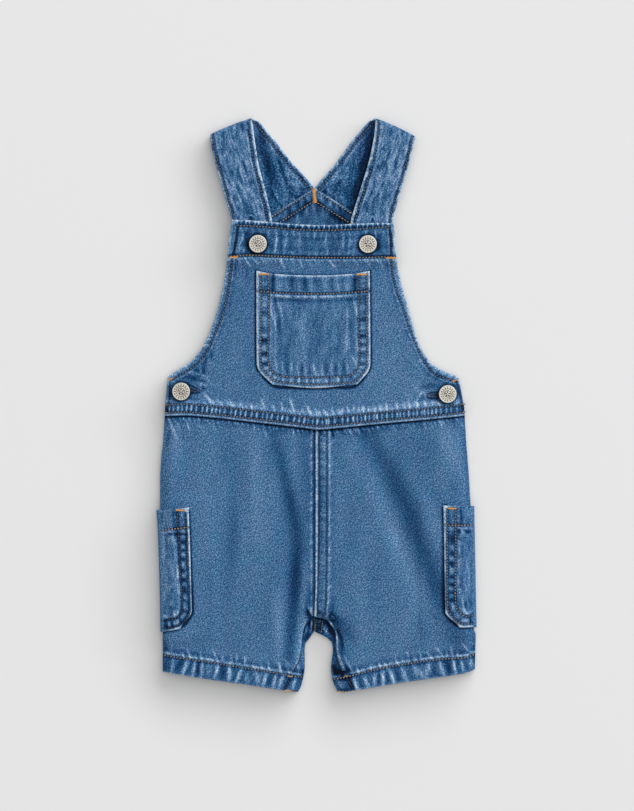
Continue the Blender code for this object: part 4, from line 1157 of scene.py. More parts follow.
# The slits of the side buttonholes, dark with painted shade.
BUTTONHOLES = strokes(Ray,
    (-99.1, 15.1, -94.8, 13.4, -91, 10.9, 0.78, -0.42),
    (-98.7, 9.5, -94.8, 9, -91, 9.5, 0.78, -0.42), (-98.7, 12.3, -92.7, 10.4, 0.78, -0.3),
    (94.8, 9.6, 89.3, 9.2, 85.9, 7.8, 0.78, -0.42), (94.8, 5.3, 89.3, 4.8, 85.9, 5.9, 0.78, -0.42),
    (94.8, 7.4, 89, 7.3, 0.7, -0.36),
)
BUTTONHOLE_LIPS = [
    [(-98.3, 13.7), (-94.8, 12.3), (-91.8, 10.6)],
    [(-98.3, 10.9), (-94.8, 10.1), (-92.0, 10.3)],
    [(94.8, 8.5), (89.3, 8.3), (87.0, 7.6), (86.7, 6.8), (87.4, 6.0), (89.3, 6.1), (94.8, 6.4)],
]
LEFT_LEG_RAYS = strokes(Ray,
    (-115, -10.3, -112.7, -18.1, -108.8, -26.7, 1.01, 0.34),
    (-101.8, -11.1, -100.2, -15.8, -98.7, -20.5, 0.86, 0.25),
    (-109.6, -12.7, -105.7, -20.5, 0.86, 0.16), (-93.2, -13.5, -89.3, -19.7, 0.78, 0.16),
    (-82.3, -15, -78.4, -20.5, 0.78, 0.14), (-17.9, -15.8, -17.9, -25.2, 0.78, 0.25),
    (-3.9, -17.4, -2.3, -24.4, 0.94, 0.3), (-42.5, -15, -37.8, -27.5, 1.09, 0.16),
    (-61.2, -14.2, -57.3, -22.8, 0.94, 0.14), (-119, -15, -120.5, -27.5, -121.3, -43.1, 1.25, 0.16),
    (-114.3, -19.7, -117.4, -32.2, 0.94, -0.16), (-105.7, -15, -103.4, -27.5, 1.01, -0.11),
    (-29.6, -201.4, -28.5, -205.3, -27.3, -210, 0.91, 0.58),
    (-80.7, -191.3, -79.2, -195.2, -76.8, -200.3, 0.7, 0.37),
    (-55.8, -196, -55.8, -203.8, 0.81, 0.41), (-62.4, -194.4, -62.2, -201.4, 0.91, 0.34),
    (-66.7, -196, -65.9, -201.4, 0.91, 0.3), (-73.7, -195.2, -72.9, -199.9, 0.91, 0.28),
    (-37.8, -199.9, -37.4, -206.9, 0.81, 0.3), (-43.3, -202.2, -42.5, -206.9, 0.91, 0.28),
    (-90.5, -193.6, -88.9, -199.1, 0.91, 0.36), (-94.8, -195.2, -93.2, -199.1, 0.91, 0.28),
    (-101, -191.3, -97.9, -197.5, 0.78, 0.32), (-113.5, -190.5, -111.2, -196, 0.7, 0.28),
    (-104.9, -193.6, -103.4, -197.5, 1.01, 0.25), (-116.6, -192.1, -115.8, -196, 0.62, 0.23),
    (-84.6, -196.8, -83.1, -199.9, 0.91, 0.25), (-23.8, -202.2, -21.4, -208.5, 1.01, 0.3),
    (-24.6, -199.1, -19.1, -205.3, 0.91, 0.25), (-50.3, -203, -48, -206.1, 1.01, 0.25),
    (-115.8, -178.8, -113.5, -185.1, -114.3, -191.3, 1.17, 0.09),
    (-119, -183.5, -117.4, -191.3, 1.01, -0.23),
    (-8.2, -161.7, -5.9, -167.9, -2.7, -178.8, 1.25, -0.34), (-9, -174.9, -7.4, -181.2, 0.78, 0.18),
    (-10.5, -206.9, -10.1, -212.4, 1.52, -0.28), (-11.3, -191.3, -10.5, -202.2, 0.94, 0.09),
    (-15.2, -202.2, -13.7, -207.7, 0.91, 0.34), (-10.1, -158.5, -12.9, -152.3, 1.56, 0.09),
    (-111.2, -196.8, -112.7, -203.8, -113.5, -210, 1.62, 0.36),
    (-100.2, -198.3, -102.6, -204.6, -105.3, -211.6, 1.31, 0.58),
    (-94.4, -199.1, -95.5, -205.3, -97.1, -212.4, 1.31, 0.47),
    (-88.9, -199.9, -89.3, -205.3, -90.1, -212.4, 1.31, 0.47),
    (-77, -201.4, -77.6, -206.9, -79.2, -212.4, 1.31, 0.61),
    (-67.9, -202.2, -67.9, -208.5, -68.2, -214.7, 1.52, 0.64),
    (-58.5, -204.6, -60.5, -210, -62.8, -216.3, 1.31, 0.55),
    (-54.2, -210, -54.2, -216.3, 1.62, 0.3), (-48, -206.1, -46.4, -211.6, -44.9, -217.8, 1.82, 0.3),
    (-38.8, -207.7, -40.2, -213.1, -41.7, -219.4, 1.31, 0.53),
    (-31.2, -209.2, -32.8, -214.7, -33.9, -220.9, 1.22, 0.53),
    (-25, -210, -27.7, -215.5, -29.2, -221.7, 1.52, 0.49),
    (-16.4, -212.4, -17.6, -217.8, -18.3, -222.5, 1.22, 0.44),
    (-83.9, -202.2, -84.6, -210, 1.62, 0.17), (-104.9, -199.9, -108, -205.3, 1.52, -0.19),
    (-92, -200.7, -92.8, -211.6, 1.22, -0.19), (-72.9, -203.8, -73.7, -213.1, 2.03, -0.17),
    (-36.3, -210, -37.8, -217.8, 1.31, -0.13),
    (-7.4, -159.3, -5.9, -162.4, -3.5, -166.3, 1.01, -0.42),
    (-4.3, -157.8, -3.2, -165.6, 0.7, 0.22), (-6.6, -162.4, -7.7, -167.1, 0.7, 0.2),
    (-9, -167.9, -10.5, -172.6, 0.86, 0.16), (-7.4, -160.1, -5.4, -163.7, -3, -167.1, 1.4, -0.4),
    (-6.2, -157.4, -4.3, -161.7, -2.6, -165.4, 0.78, 0.34),
)

RIGHT_LEG_RAYS = strokes(Ray,
    (10.5, -19.7, 10.9, -25.2, 0.94, 0.25), (12.5, -18.9, 12.5, -25.2, 1.25, -0.3),
    (22.2, -18.1, 26.1, -21.3, 0.94, 0.23), (15.2, -20.5, 19.1, -24.4, 0.94, 0.18),
    (30.8, -17.4, 33.9, -22.8, 0.86, 0.25), (35.5, -17.4, 38.6, -21.3, 0.78, 0.18),
    (45.6, -15, 48.8, -19.7, 0.86, 0.14), (57.3, -14.2, 60.5, -19.7, 0.86, 0.14),
    (69, -12.7, 71.4, -19.7, 0.94, 0.14), (83.9, -11.9, 85.4, -19.7, 0.94, 0.16),
    (89.3, -11.1, 90.1, -19.7, 0.94, 0.14), (97.1, -10.3, 97.9, -19.7, 1.01, 0.14),
    (105.7, -9.6, 108, -18.1, 1.01, -0.14), (111.9, -8.8, 114.3, -18.1, 1.09, 0.14),
    (41.7, -202.2, 42.9, -206.9, 0.91, 0.41), (48.8, -200.7, 49.5, -205.3, 0.91, 0.3),
    (52.6, -200.7, 55.8, -206.5, 0.91, 0.47), (61.2, -197.5, 64.4, -203.8, 0.91, 0.36),
    (66.7, -196.8, 67.5, -202.2, 0.91, 0.3), (70.6, -192.1, 72.2, -200.7, 0.7, 0.28),
    (80.7, -192.1, 81.9, -199.1, 0.7, 0.3), (86.2, -192.9, 90.1, -198.3, 1.01, 0.36),
    (93.2, -189, 98.7, -196.4, 0.86, 0.41), (104.9, -189, 106.5, -197.5, 0.86, 0.39),
    (113.5, -186.6, 116.6, -189.7, 120.5, -193.6, 0.7, 0.37),
    (109.6, -192.9, 110.4, -196.8, 0.91, 0.28), (101, -192.9, 101.8, -196.8, 0.91, 0.28),
    (116.6, -193.6, 117.4, -196.8, 0.91, 0.22), (76, -196, 76.8, -199.9, 0.91, 0.28),
    (36.3, -205.3, 37.1, -208.5, 0.91, 0.34), (31.6, -205.3, 32.4, -209.2, 0.91, 0.28),
    (57.3, -199.9, 58.1, -204.6, 0.91, 0.22),
    (21.4, -195.2, 24.6, -202.2, 28.5, -208.5, 0.91, 0.41),
    (16.8, -196, 20.7, -204.6, 26.1, -210, 0.91, 0.3), (23, -205.3, 25.4, -210.8, 2.24, -0.41),
    (13.7, -205.3, 16, -210, 2.24, -0.47), (18.3, -208.5, 22.2, -211.6, 2.03, -0.34),
    (11.3, -206.1, 12.9, -210.8, 1.01, 0.28), (26.1, -211.6, 27.7, -220.9, 2.43, -0.3),
    (17.6, -222.5, 26.1, -222.5, 1.42, -0.28),
    (7.4, -165.6, 11.3, -172.6, 14.4, -181.9, 0.86, 0.23),
    (6.6, -167.9, 9.8, -175.7, 12.9, -184.3, 1.87, -0.46), (4.3, -172.6, 5.9, -177.3, 0.94, 0.23),
    (13.7, -150.7, 12.1, -158.5, 13.7, -166.3, 1.95, -0.14),
    (28.5, -212.4, 30, -217, 32.4, -222.5, 1.42, 0.61),
    (37.1, -211.6, 38.6, -216.3, 41, -220.9, 1.62, 0.41), (45.2, -210, 45.2, -217.8, 1.42, 0.47),
    (51.5, -207.7, 51.9, -217.8, 1.31, 0.64),
    (56.9, -206.5, 58.9, -211.6, 60.8, -217.8, 1.31, 0.66),
    (66.7, -204.6, 68.2, -210, 70.6, -215.5, 2.03, 0.44),
    (75.3, -203, 76.8, -207.7, 78.4, -211.6, 1.42, 0.41), (80, -206.1, 83.9, -213.1, 1.62, 0.34),
    (87.8, -200.7, 87.4, -206.9, 1.22, 0.41), (85.4, -204.6, 86.2, -212.4, 1.82, 0.28),
    (95.5, -199.9, 97.1, -205.3, 100.2, -212.4, 1.52, 0.47),
    (106.5, -198.3, 107.2, -203.8, 108.8, -210, 1.22, 0.66),
    (112.7, -198.3, 113.5, -203.8, 114.3, -208.5, 1.12, 0.47),
    (120.5, -197.5, 120.9, -205.3, 1.52, 0.34), (62.8, -206.1, 63.6, -214.7, 1.62, -0.17),
    (55, -208.5, 55.8, -216.3, 1.42, -0.19), (48.8, -209.2, 48.8, -217.8, 1.22, -0.17),
    (102.6, -199.9, 103.4, -210, 1.82, -0.17), (91.7, -201.4, 92.4, -211.6, 1.42, -0.17),
    (33.9, -213.1, 35.5, -221.7, 1.22, -0.13), (19.1, -214.7, 20.7, -222.5, 1.42, 0.17),
    (16, -213.1, 19.1, -220.9, 1.22, 0.22), (9.8, -161.7, 12.1, -166.3, 11.3, -169.5, 1.87, -0.26),
    (6.6, -165.2, 8.7, -167.1, 11.8, -171.5, 0.7, 0.4),
    (13.3, -172.6, 16, -176.8, 18.3, -182.4, 0.78, -0.24), (2, -161.7, 3.2, -161.8, 0.78, -0.3),
    (2, -158.5, 3.5, -158.5, 0.86, 0.2), (2, -164.5, 4, -164.5, 0.86, 0.16),
    (-0.9, -161.7, -0.9, -166.3, 0.78, 0.4), (9.8, -164, 12.9, -166.8, 18.3, -169.1, 3.28, -0.15),
    (16.5, -175.4, 19.1, -181.2, 20.7, -190.5, 1.09, -0.34),
    (11.6, -173.4, 14.4, -178, 16, -181.9, 16.8, -186.6, 0.7, 0.3),
    (6.3, -165.1, 8.5, -166.6, 0.78, 0.5),
)

BIB_RAYS = strokes(Ray,
    (-58.5, 137.1, -57.3, 131.6, -59.7, 124.6, -60.8, 117.2, 0.94, 0.35),
    (-57.3, 123, -56.2, 117.2, 0.78, 0.25), (-49.9, 137.1, -49.7, 134, 0.78, 0.25),
    (-43.7, 136.3, -43.3, 133.2, 0.86, 0.2), (-37.8, 135.5, -37.6, 130.8, 0.86, 0.35),
    (-31.6, 135.5, -31.1, 130.1, -31.9, 123, -32.9, 116.8, 0.94, 0.42),
    (-25.7, 135.5, -25.7, 131.6, 0.7, 0.17),
    (-23, 134.7, -23.5, 130.1, -24.9, 123, -25.9, 116.4, 1.01, 0.24),
    (-17.9, 134.7, -17.6, 130.8, 0.94, 0.18),
    (-13.3, 134.7, -13.2, 127.7, -13.7, 123.8, 1.01, 0.26),
    (-14.4, 123, -12.4, 119.1, -12.4, 115.2, 0.78, 0.22), (-7, 134.7, -6.9, 130.8, 0.94, 0.25),
    (-1.6, 134, -1.8, 128.5, 0.86, 0.35), (3.5, 133.2, 3.5, 130.8, 1.01, 0.2),
    (8.2, 134.7, 7.4, 130.1, 6.6, 123.8, 1.01, 0.32), (14.4, 134, 14.8, 130.8, 1.01, 0.15),
    (20.1, 135.5, 20.7, 128.5, 19.9, 120.7, 1.17, 0.24),
    (25.6, 135.5, 26.1, 129.3, 25.7, 122.3, 0.7, 0.27), (30.8, 134.7, 30, 126.9, 1.72, 0.1),
    (38.2, 135.5, 38.2, 132.4, 0.86, 0.25), (45.9, 136.3, 46.1, 131.6, 46.4, 127.7, 0.86, 0.35),
    (51.9, 134.7, 52.6, 131.6, 1.01, 0.2), (-19.9, 119.9, -18.3, 116, 0.7, 0.22),
    (-5.9, 119.1, -5.9, 115.6, 0.78, 0.29), (0, 120.7, -0.4, 116, 1.25, 0.25),
    (8.2, 122.3, 8.2, 116, 1.17, 0.22), (13.7, 119.1, 13.7, 116, 0.94, 0.14),
    (17.2, 120.7, 17.2, 116, 0.86, 0.14), (25, 120.7, 24.9, 116, 0.86, 0.2),
    (29.2, 121.5, 28.5, 116, 1.25, 0.16), (-37.1, 123, -37.8, 118.4, 1.01, 0.16),
    (37.1, 119.1, 37.8, 116, 0.94, 0.14), (-27.7, 134, -27.7, 117.6, 1.17, -0.14),
    (-9, 130.1, -8.2, 120.7, 1.72, -0.09), (12.1, 128.5, 12.9, 117.6, 1.95, -0.09),
    (23, 133.2, 23, 117.6, 1.09, -0.12), (-34.7, 128.5, -35.5, 117.6, 1.4, -0.1),
    (-19.9, 128.5, -20.7, 120.7, 1.4, -0.09), (2, 129.3, -3.5, 127.7, 1.56, -0.1),
    (-54.6, 134.7, -53.8, 118.4, 2.18, -0.26), (48.4, 131.6, 48.8, 117.6, 2.34, -0.22),
    (54.2, 130.1, 55, 117.6, 1.17, -0.1), (-63.6, 137.9, -62.4, 128.5, 0.78, 0.1),
    (59.7, 135.5, 60.8, 128.5, 60.8, 120.7, 1.25, 0.25), (58.1, 133.2, 58.6, 123.8, 0.7, -0.2),
    (-66.7, 134.7, -67.1, 123.8, 0.94, 0.2), (-60.5, 113.7, -59.3, 110.6, 0.7, 0.2),
    (-55.8, 114.1, -53, 109.8, -51.9, 107.4, 0.78, 0.37), (-49.1, 113.7, -44.9, 109, 0.86, 0.29),
    (-42.1, 114.1, -41, 110.6, 0.7, 0.22), (-39.4, 114.1, -37.8, 110.6, 0.7, 0.2),
    (-36.3, 114.1, -34.7, 110.6, 0.7, 0.2), (-29.2, 114.1, -26.9, 109.8, -25, 105.9, 0.86, 0.39),
    (-12.9, 113.7, -11.3, 106.7, 0.78, 0.26), (-19.1, 113.7, -17.6, 109, 0.78, 0.2),
    (-5.9, 112.9, -4.3, 109, 0.78, 0.2), (1.2, 112.9, 2.7, 109, 0.78, 0.2),
    (9.8, 112.9, 12.1, 109.8, 15.2, 106.7, 0.86, 0.32), (21.4, 112.9, 23.8, 109, 0.78, 0.22),
    (27.7, 113.7, 32.4, 109, 0.78, 0.25), (38.6, 112.9, 41, 109, 0.78, 0.2),
    (49.5, 112.9, 51.1, 107.4, 0.78, 0.25), (55.8, 112.9, 58.1, 106.7, 0.78, 0.16),
    (-62.8, 111.3, -63.6, 100.4, 1.56, -0.12), (-53.4, 106.7, -55, 97.3, 1.56, -0.09),
    (43.3, 109.8, 48, 103.5, 1.72, -0.09), (54.2, 111.3, 58.9, 97.3, 2.03, -0.09),
    (-97.1, 2.1, -93.2, -1, 0.94, 0.26), (-87, 2.1, -84.6, -2.5, 0.86, 0.25),
    (-74.5, 2.1, -72.2, -2.5, 0.86, 0.26), (-67.5, 2.9, -64.4, -2.5, 0.86, 0.29),
    (-59.7, 2.1, -57.3, -3.3, 0.86, 0.26), (-51.9, 0.6, -49.5, -4.1, 0.86, 0.26),
    (-42.5, 5.3, -41.7, 0.6, -40.2, -3.3, 0.94, 0.31), (-34.7, 0.6, -32.4, -4.9, 0.86, 0.26),
    (-27.7, 2.1, -26.1, -4.9, 0.86, 0.31), (-21.1, 5.3, -19.1, -0.2, -17.2, -5.7, 0.94, 0.42),
    (-11.3, -3.3, -10.1, -6.4, 0.78, 0.22), (-7.4, -1, -5.9, -4.1, -3.9, -8, 1.25, 0.41),
    (-0.8, -3.3, 0, -8, 0.94, 0.29), (2, -4.9, 2.7, -8.4, 0.86, 0.26),
    (5.1, -3.3, 6.6, -6.4, 9, -8.4, 1.09, 0.35), (12.1, -3.3, 13.7, -8, 0.94, 0.37),
    (16.8, -2.5, 17.6, -7.2, 0.86, 0.26), (19.9, -1.8, 20.3, -6.8, 0.86, 0.35),
    (23.8, -1.8, 25.4, -6.4, 0.94, 0.35), (28.5, -1, 29.2, -5.7, 0.86, 0.37),
    (32.4, -1, 33.1, -4.9, 0.78, 0.25), (36, -1, 36.7, -5.3, 0.94, 0.39),
    (40.2, -1.8, 41, -4.9, 0.94, 0.26), (44.9, -1.8, 45.6, -5.7, 1.01, 0.25),
    (49.1, -0.2, 50.3, -5.7, 0.94, 0.42), (54.2, 0.6, 55, -4.9, 0.94, 0.41),
    (58.1, -1.8, 58.9, -4.9, 0.78, 0.2), (62, 1.4, 62.8, -3.7, 0.94, 0.32),
    (67.5, 2.1, 68.2, -1, 69.4, -4.1, 0.94, 0.35), (72.2, 2.1, 72.9, -4.1, 0.94, 0.41),
    (75.7, 2.1, 76, -1.8, 0.78, 0.25), (78.1, 2.1, 78.7, -3.3, 1.01, 0.42),
    (83.9, 2.9, 85.4, -2.5, 1.01, 0.35), (90.1, 2.9, 90.6, -1.8, 0.78, 0.31),
    (94.8, 2.9, 96.3, -1, 0.86, 0.2), (101.8, 2.1, 102.6, -1, 0.86, 0.2),
    (108.8, 3.7, 109.6, -0.2, 0.86, 0.19), (-101.8, 16.2, -95.5, 20.1, -89.3, 24, 2.5, -0.16),
    (-97.1, 4.5, -88.5, 2.1, 1.87, -0.14), (-101, 5.3, -97.1, 4.5, 1.25, -0.1),
    (-90.9, 17.7, -85.4, 13.1, 1.09, 0.14), (-87.8, 20.9, -78.4, 14.6, 1.25, 0.1),
    (83.1, 13.8, 94, 15.4, 2.34, -0.2), (79.2, 4.5, 87, 5.3, 1.87, -0.16),
    (83.9, 9.9, 86.2, 2.9, 0.78, 0.25), (88.5, 1.4, 96.3, 2.1, 1.09, 0.1),
    (74.5, 16.2, 80.7, 9.9, 1.56, 0.1), (69, 9.9, 74.5, 5.3, 1.56, 0.09),
    (-109.6, 25.5, -103.4, 30.2, -98.7, 34.9, 1.09, 0.14), (108, 27.1, 101, 31.8, 1.09, 0.14),
    (-87.9, 8.9, -84.6, 5.3, -80.7, 1.1, 1.01, 0.41), (-95.1, 27.7, -92.9, 26.5, 1.72, -0.3),
    (-87.9, 30.2, -87.9, 25.2, 1.56, -0.3), (-86.7, 37.2, -86.7, 32.6, 1.09, -0.28),
    (-82.1, 39.6, -82.1, 36.5, 1.25, -0.28), (-104.1, 20.9, -98.7, 21.6, -94, 20.1, 1.25, -0.26),
    (-92.4, 19.3, -87, 17.7, 0.94, -0.24), (-88.5, 13.4, -87.8, 12.8, 1.17, -0.3),
    (-101, 24.8, -97.1, 25.5, -93.2, 24, 0.78, 0.2),
    (-91.7, 24, -87.8, 22.8, -83.9, 20.1, 0.78, 0.2), (-90.1, 17.7, -90.1, 14.6, 0.78, 0.18),
    (-90.5, 30.2, -90.5, 25.5, 0.7, 0.2), (-84.2, 32.6, -80, 32.6, 0.7, 0.18),
    (-78.2, 5, -74.9, 0.6, 0.7, 0.2), (-71, 3.7, -65.9, -1.5, 0.7, 0.2),
    (91.3, 20.5, 95.5, 21.6, 99.5, 20.9, 1.25, -0.22), (88.2, 28.7, 88.1, 24, 1.48, -0.26),
    (93.7, 24.8, 95.9, 25.9, 1.4, -0.26), (85.4, 34.9, 85.7, 30.5, 1.09, -0.24),
    (81.5, 31.8, 85.4, 29.4, 87, 26.3, 0.7, 0.16), (91.3, 24.4, 97.1, 25.1, 101, 23.5, 0.7, 0.18),
    (83.5, 11.5, 80, 6.4, 76.7, 1.7, 0.94, 0.26), (72.9, 6, 70.1, 0.9, 0.7, 0.18),
)

POCKET_RAYS = strokes(Ray,
    (-27.7, 102.8, -27.7, 88.7, 1.72, 0.11), (-19.1, 102, -19.1, 88.7, 1.25, -0.18),
    (-14.4, 102, -13.7, 88.7, 1.72, 0.13), (-10.5, 101.2, -7.4, 88.7, 1.4, -0.18),
    (-4.3, 102, -3.9, 88.7, 1.4, 0.13), (-1.2, 101.2, 0.4, 88.7, 1.09, -0.15),
    (5.9, 102, 6.6, 88.7, 2.34, 0.15), (12.1, 101.2, 12.1, 88.7, 1.17, -0.18),
    (16, 102, 16.4, 88.7, 1.33, 0.15), (19.5, 100.4, 20.7, 88.7, 1.09, -0.15),
    (25.4, 101.2, 25.4, 89.5, 1.4, 0.11), (-23.8, 101.2, -23, 88.7, 1.09, 0.09),
    (-43.3, 54.4, -38.2, 54.4, 1.4, 0.26), (-43.3, 44.3, -38.2, 44.3, 1.4, 0.24),
    (-42.5, 35.7, -37.8, 35.7, 1.25, 0.26), (-41.7, 28.7, -37.1, 28.7, 1.33, 0.24),
    (-43.3, 50.1, -38.2, 50.1, 1.33, -0.29), (-43.3, 39.6, -38.2, 39.6, 1.33, -0.29),
    (-42.5, 31.8, -37.8, 31.8, 1.25, -0.29), (-43.3, 63.8, -38.2, 63.8, 1.72, 0.15),
    (-43.3, 59.1, -38.2, 59.1, 1.4, -0.22), (-43.3, 72.3, -38.2, 72.3, 1.87, -0.18),
    (-43.3, 78.6, -38.2, 78.6, 2.03, 0.13), (-43.3, 86.4, -38.2, 85.6, 1.87, -0.15),
    (33.1, 53.6, 38.6, 53.6, 1.33, -0.29), (33.1, 47.4, 38.6, 47.4, 1.25, -0.29),
    (33.1, 39.6, 38.6, 39.6, 1.33, -0.29), (33.1, 49.7, 38.6, 49.7, 1.25, 0.24),
    (33.1, 43.5, 38.6, 43.5, 1.4, 0.26), (33.1, 34.9, 38.6, 34.9, 1.33, 0.24),
    (33.1, 29.4, 37.8, 29.4, 1.33, 0.24), (33.1, 31.8, 38.6, 31.8, 1.09, -0.22),
    (33.1, 59.9, 38.6, 59.9, 1.56, 0.18), (33.1, 66.1, 38.6, 66.1, 1.56, -0.18),
    (33.1, 73.9, 38.6, 73.9, 1.87, 0.13), (33.1, 80.9, 38.6, 80.9, 1.72, -0.15),
    (-26.1, 22.4, -26.5, 17.7, 0.94, 0.35), (-19.9, 21.6, -20.3, 17, 0.94, 0.37),
    (-13.7, 21.3, -13.7, 16.6, 0.94, 0.37), (-7.4, 20.9, -7.4, 16.2, 0.94, 0.35),
    (-2.7, 20.9, -2.7, 16.2, 0.86, 0.33), (1.2, 20.9, 1.2, 16.2, 0.86, 0.31),
    (8.2, 20.9, 8.2, 16.2, 1.01, 0.37), (11.7, 20.9, 11.7, 16.2, 0.78, 0.24),
    (16.8, 21.3, 16.8, 16.6, 0.94, 0.35), (21.4, 21.6, 21.8, 17, 0.86, 0.33),
    (27.7, 24.8, 30, 20.9, 1.01, 0.31), (31.6, 28.7, 34.7, 25.5, 0.94, 0.31),
    (-33.9, 26.3, -37.1, 22.4, 1.09, 0.31), (-30.8, 23.2, -32.4, 19.3, 0.94, 0.22),
    (-26.9, 33.3, -26.4, 23.2, 0.86, 0.26), (-19.9, 33.3, -19.6, 23.2, 0.86, 0.26),
    (-15.2, 31.8, -14, 22.4, 0.94, 0.29), (-2.7, 31.8, -0.4, 22.4, 0.94, 0.4),
    (11.3, 36.5, 11.6, 22.4, 0.94, 0.29), (23.8, 33.3, 24.6, 24.8, 0.86, 0.26),
    (-32.8, 38, -30.4, 25.5, 0.94, 0.29), (23, 59.9, 23.4, 38, 1.09, 0.13),
    (27.7, 38, 31.2, 31, 0.94, 0.31), (-9, 30.2, -8.2, 22.4, 0.78, 0.2),
    (4.3, 30.2, 4.7, 22.4, 0.86, 0.2), (17.6, 31.8, 18.3, 23.2, 0.86, 0.22),
    (-23.8, 31.8, -23, 23.2, 0.94, -0.18), (-11.3, 31.8, -11.3, 22.4, 1.01, -0.15),
    (-5.9, 31.8, -5.1, 22.4, 1.01, -0.18), (7.4, 31.8, 8.2, 22.4, 1.09, -0.18),
    (14.4, 31.8, 14.8, 22.4, 0.94, -0.13), (20.7, 34.9, 21.4, 24, 1.01, -0.15),
    (-28.5, 50.5, -28.5, 33.3, 1.87, -0.07), (-12.9, 73.9, -11.3, 42.7, 2.73, 0.06),
    (1.2, 77, 1.2, 42.7, 2.34, -0.06), (13.7, 77, 14.4, 46.6, 2.34, 0.04),
    (-31.6, 84.8, -26.9, 84.6, 1.25, 0.29), (-23.8, 84.4, -20.7, 84.2, 1.17, 0.31),
    (-16.8, 84, -13.7, 84, 1.17, 0.29), (-9.8, 84, -7.4, 84, 1.09, 0.29),
    (-3.5, 84, -0.4, 84, 1.09, 0.26), (3.5, 84, 6.6, 84, 1.17, 0.31),
    (9.8, 84, 12.9, 84, 1.17, 0.29), (16.8, 84.4, 19.1, 84.4, 1.09, 0.29),
    (23, 84.8, 26.1, 84.8, 1.17, 0.26), (-33.5, 84, -31.9, 58.3, -32.4, 41.1, 0.94, 0.22),
    (-30, 81.7, -29.2, 54.4, 1.17, -0.11), (23.8, 80.9, 24.2, 41.9, 1.17, 0.15),
    (28.5, 84.8, 31.6, 69.2, 0.94, 0.31), (26.1, 67.7, 26.9, 42.7, 0.94, -0.13),
    (-26.9, 81.7, -25.4, 42.7, 1.56, 0.07), (-19.9, 58.3, -23, 33.3, 1.87, -0.07),
    (6.6, 66.1, 7.4, 34.9, 1.95, 0.06), (-30.8, 99.6, -30.5, 89.5, 3.9, 0.12),
    (13.7, 100.4, 13.7, 89.5, 3.9, 0.1), (23, 100.4, 23, 89.5, 3.9, 0.1),
    (-34.7, 83.3, -35.6, 77, -35.5, 72.3, -33.5, 66.1, -32.4, 60.6, 0.78, 0.3),
    (-32.1, 84, -32.5, 77, -31.7, 71.6, 1.33, -0.26),
    (-30.8, 83.3, -29.2, 77, -27.2, 71.6, -26.4, 66.1, 0.78, 0.22),
    (-29.2, 67.7, -28, 53.6, 1.09, -0.14),
)

CARGO_LEFT_RAYS = strokes(Ray,
    (-111.3, -81.3, -110.9, -89.9, -110, -99.3, -109.2, -106.3, 1.33, -0.39),
    (-120.1, -85.2, -121.1, -91.5, -121, -96.9, 1.01, -0.28),
    (-115.8, -100, -112.7, -100.8, 1.09, -0.34), (-118.2, -99.3, -112.7, -98.5, 0.94, 0.23),
    (-122.1, -83.7, -123.2, -84.4, 1.09, -0.14), (-115, -82.1, -116.6, -94.6, 2.03, 0.06),
    (-113.1, -100.8, -110.4, -107.8, 0.94, 0.23), (-105.7, -84.4, -103.4, -93, 2.34, 0.03),
    (-104.1, -107.1, -103.4, -107.4, 1.72, -0.39), (-104.1, -113.3, -103.4, -113.5, 1.33, -0.37),
    (-104.1, -120, -103.4, -120.3, 1.48, -0.39), (-104.1, -128.9, -103.4, -129.2, 1.4, -0.34),
    (-103.5, -136.4, -102.9, -136.7, 1.48, -0.39), (-102.9, -142.2, -102.1, -146.1, 1.48, -0.39),
    (-104.1, -102.4, -103.4, -102.4, 1.48, 0.23), (-104.1, -110.2, -103.4, -110.2, 1.17, 0.23),
    (-104.1, -116.9, -103.4, -116.9, 1.17, 0.23), (-104.1, -124.6, -103.4, -124.7, 1.48, 0.23),
    (-103.4, -132.8, -102.9, -132.8, 1.25, 0.23), (-103.4, -139.5, -102.6, -139.5, 1.09, 0.25),
    (-106.5, -98.9, -101, -99.3, 1.09, 0.28), (-106.5, -100.8, -100.2, -100.8, 0.78, -0.28),
    (-103.4, -149.2, -101, -151.5, 0.86, 0.25), (-103.4, -151.5, -101, -153.1, 0.78, -0.23),
    (-103.4, -153.9, -101.8, -158.5, 1.09, 0.3), (-104.1, -160.1, -100.2, -161.7, 1.01, -0.25),
    (-105.7, -163.2, -104.1, -165.6, 0.94, 0.32), (-120.9, -171, -119.7, -171, 1.4, 0.25),
    (-115, -168.7, -114.3, -173.4, 0.78, 0.41), (-110.8, -169.1, -110.4, -171.4, 0.86, 0.3),
    (-108.3, -167.9, -108, -170.6, 0.86, 0.41), (-117.8, -169.1, -117, -173.4, 1.4, -0.3),
    (-112.7, -169.5, -111.9, -172.6, 1.09, -0.3), (-106.5, -167.1, -105.7, -169.5, 0.94, -0.23),
    (-112.3, -142.9, -111.9, -146.1, 1.17, -0.21), (-113.5, -157.8, -111.9, -158.5, 1.48, -0.28),
    (-120.5, -159.3, -118.2, -161.7, 1.25, -0.21), (-111.2, -160.1, -110.4, -165.6, 0.86, 0.37),
    (-121.3, -164.8, -114.3, -165.6, 1.4, 0.21), (-119, -111.7, -117.4, -128.9, 1.56, 0.06),
    (-116.6, -118, -115.8, -118.8, 1.4, -0.14), (-108.8, -121.1, -108, -136.7, 0.94, 0.16),
    (-113.5, -102.4, -111.9, -121.1, 1.01, -0.07), (-112.7, -138.3, -111.2, -149.2, 0.86, 0.11),
)

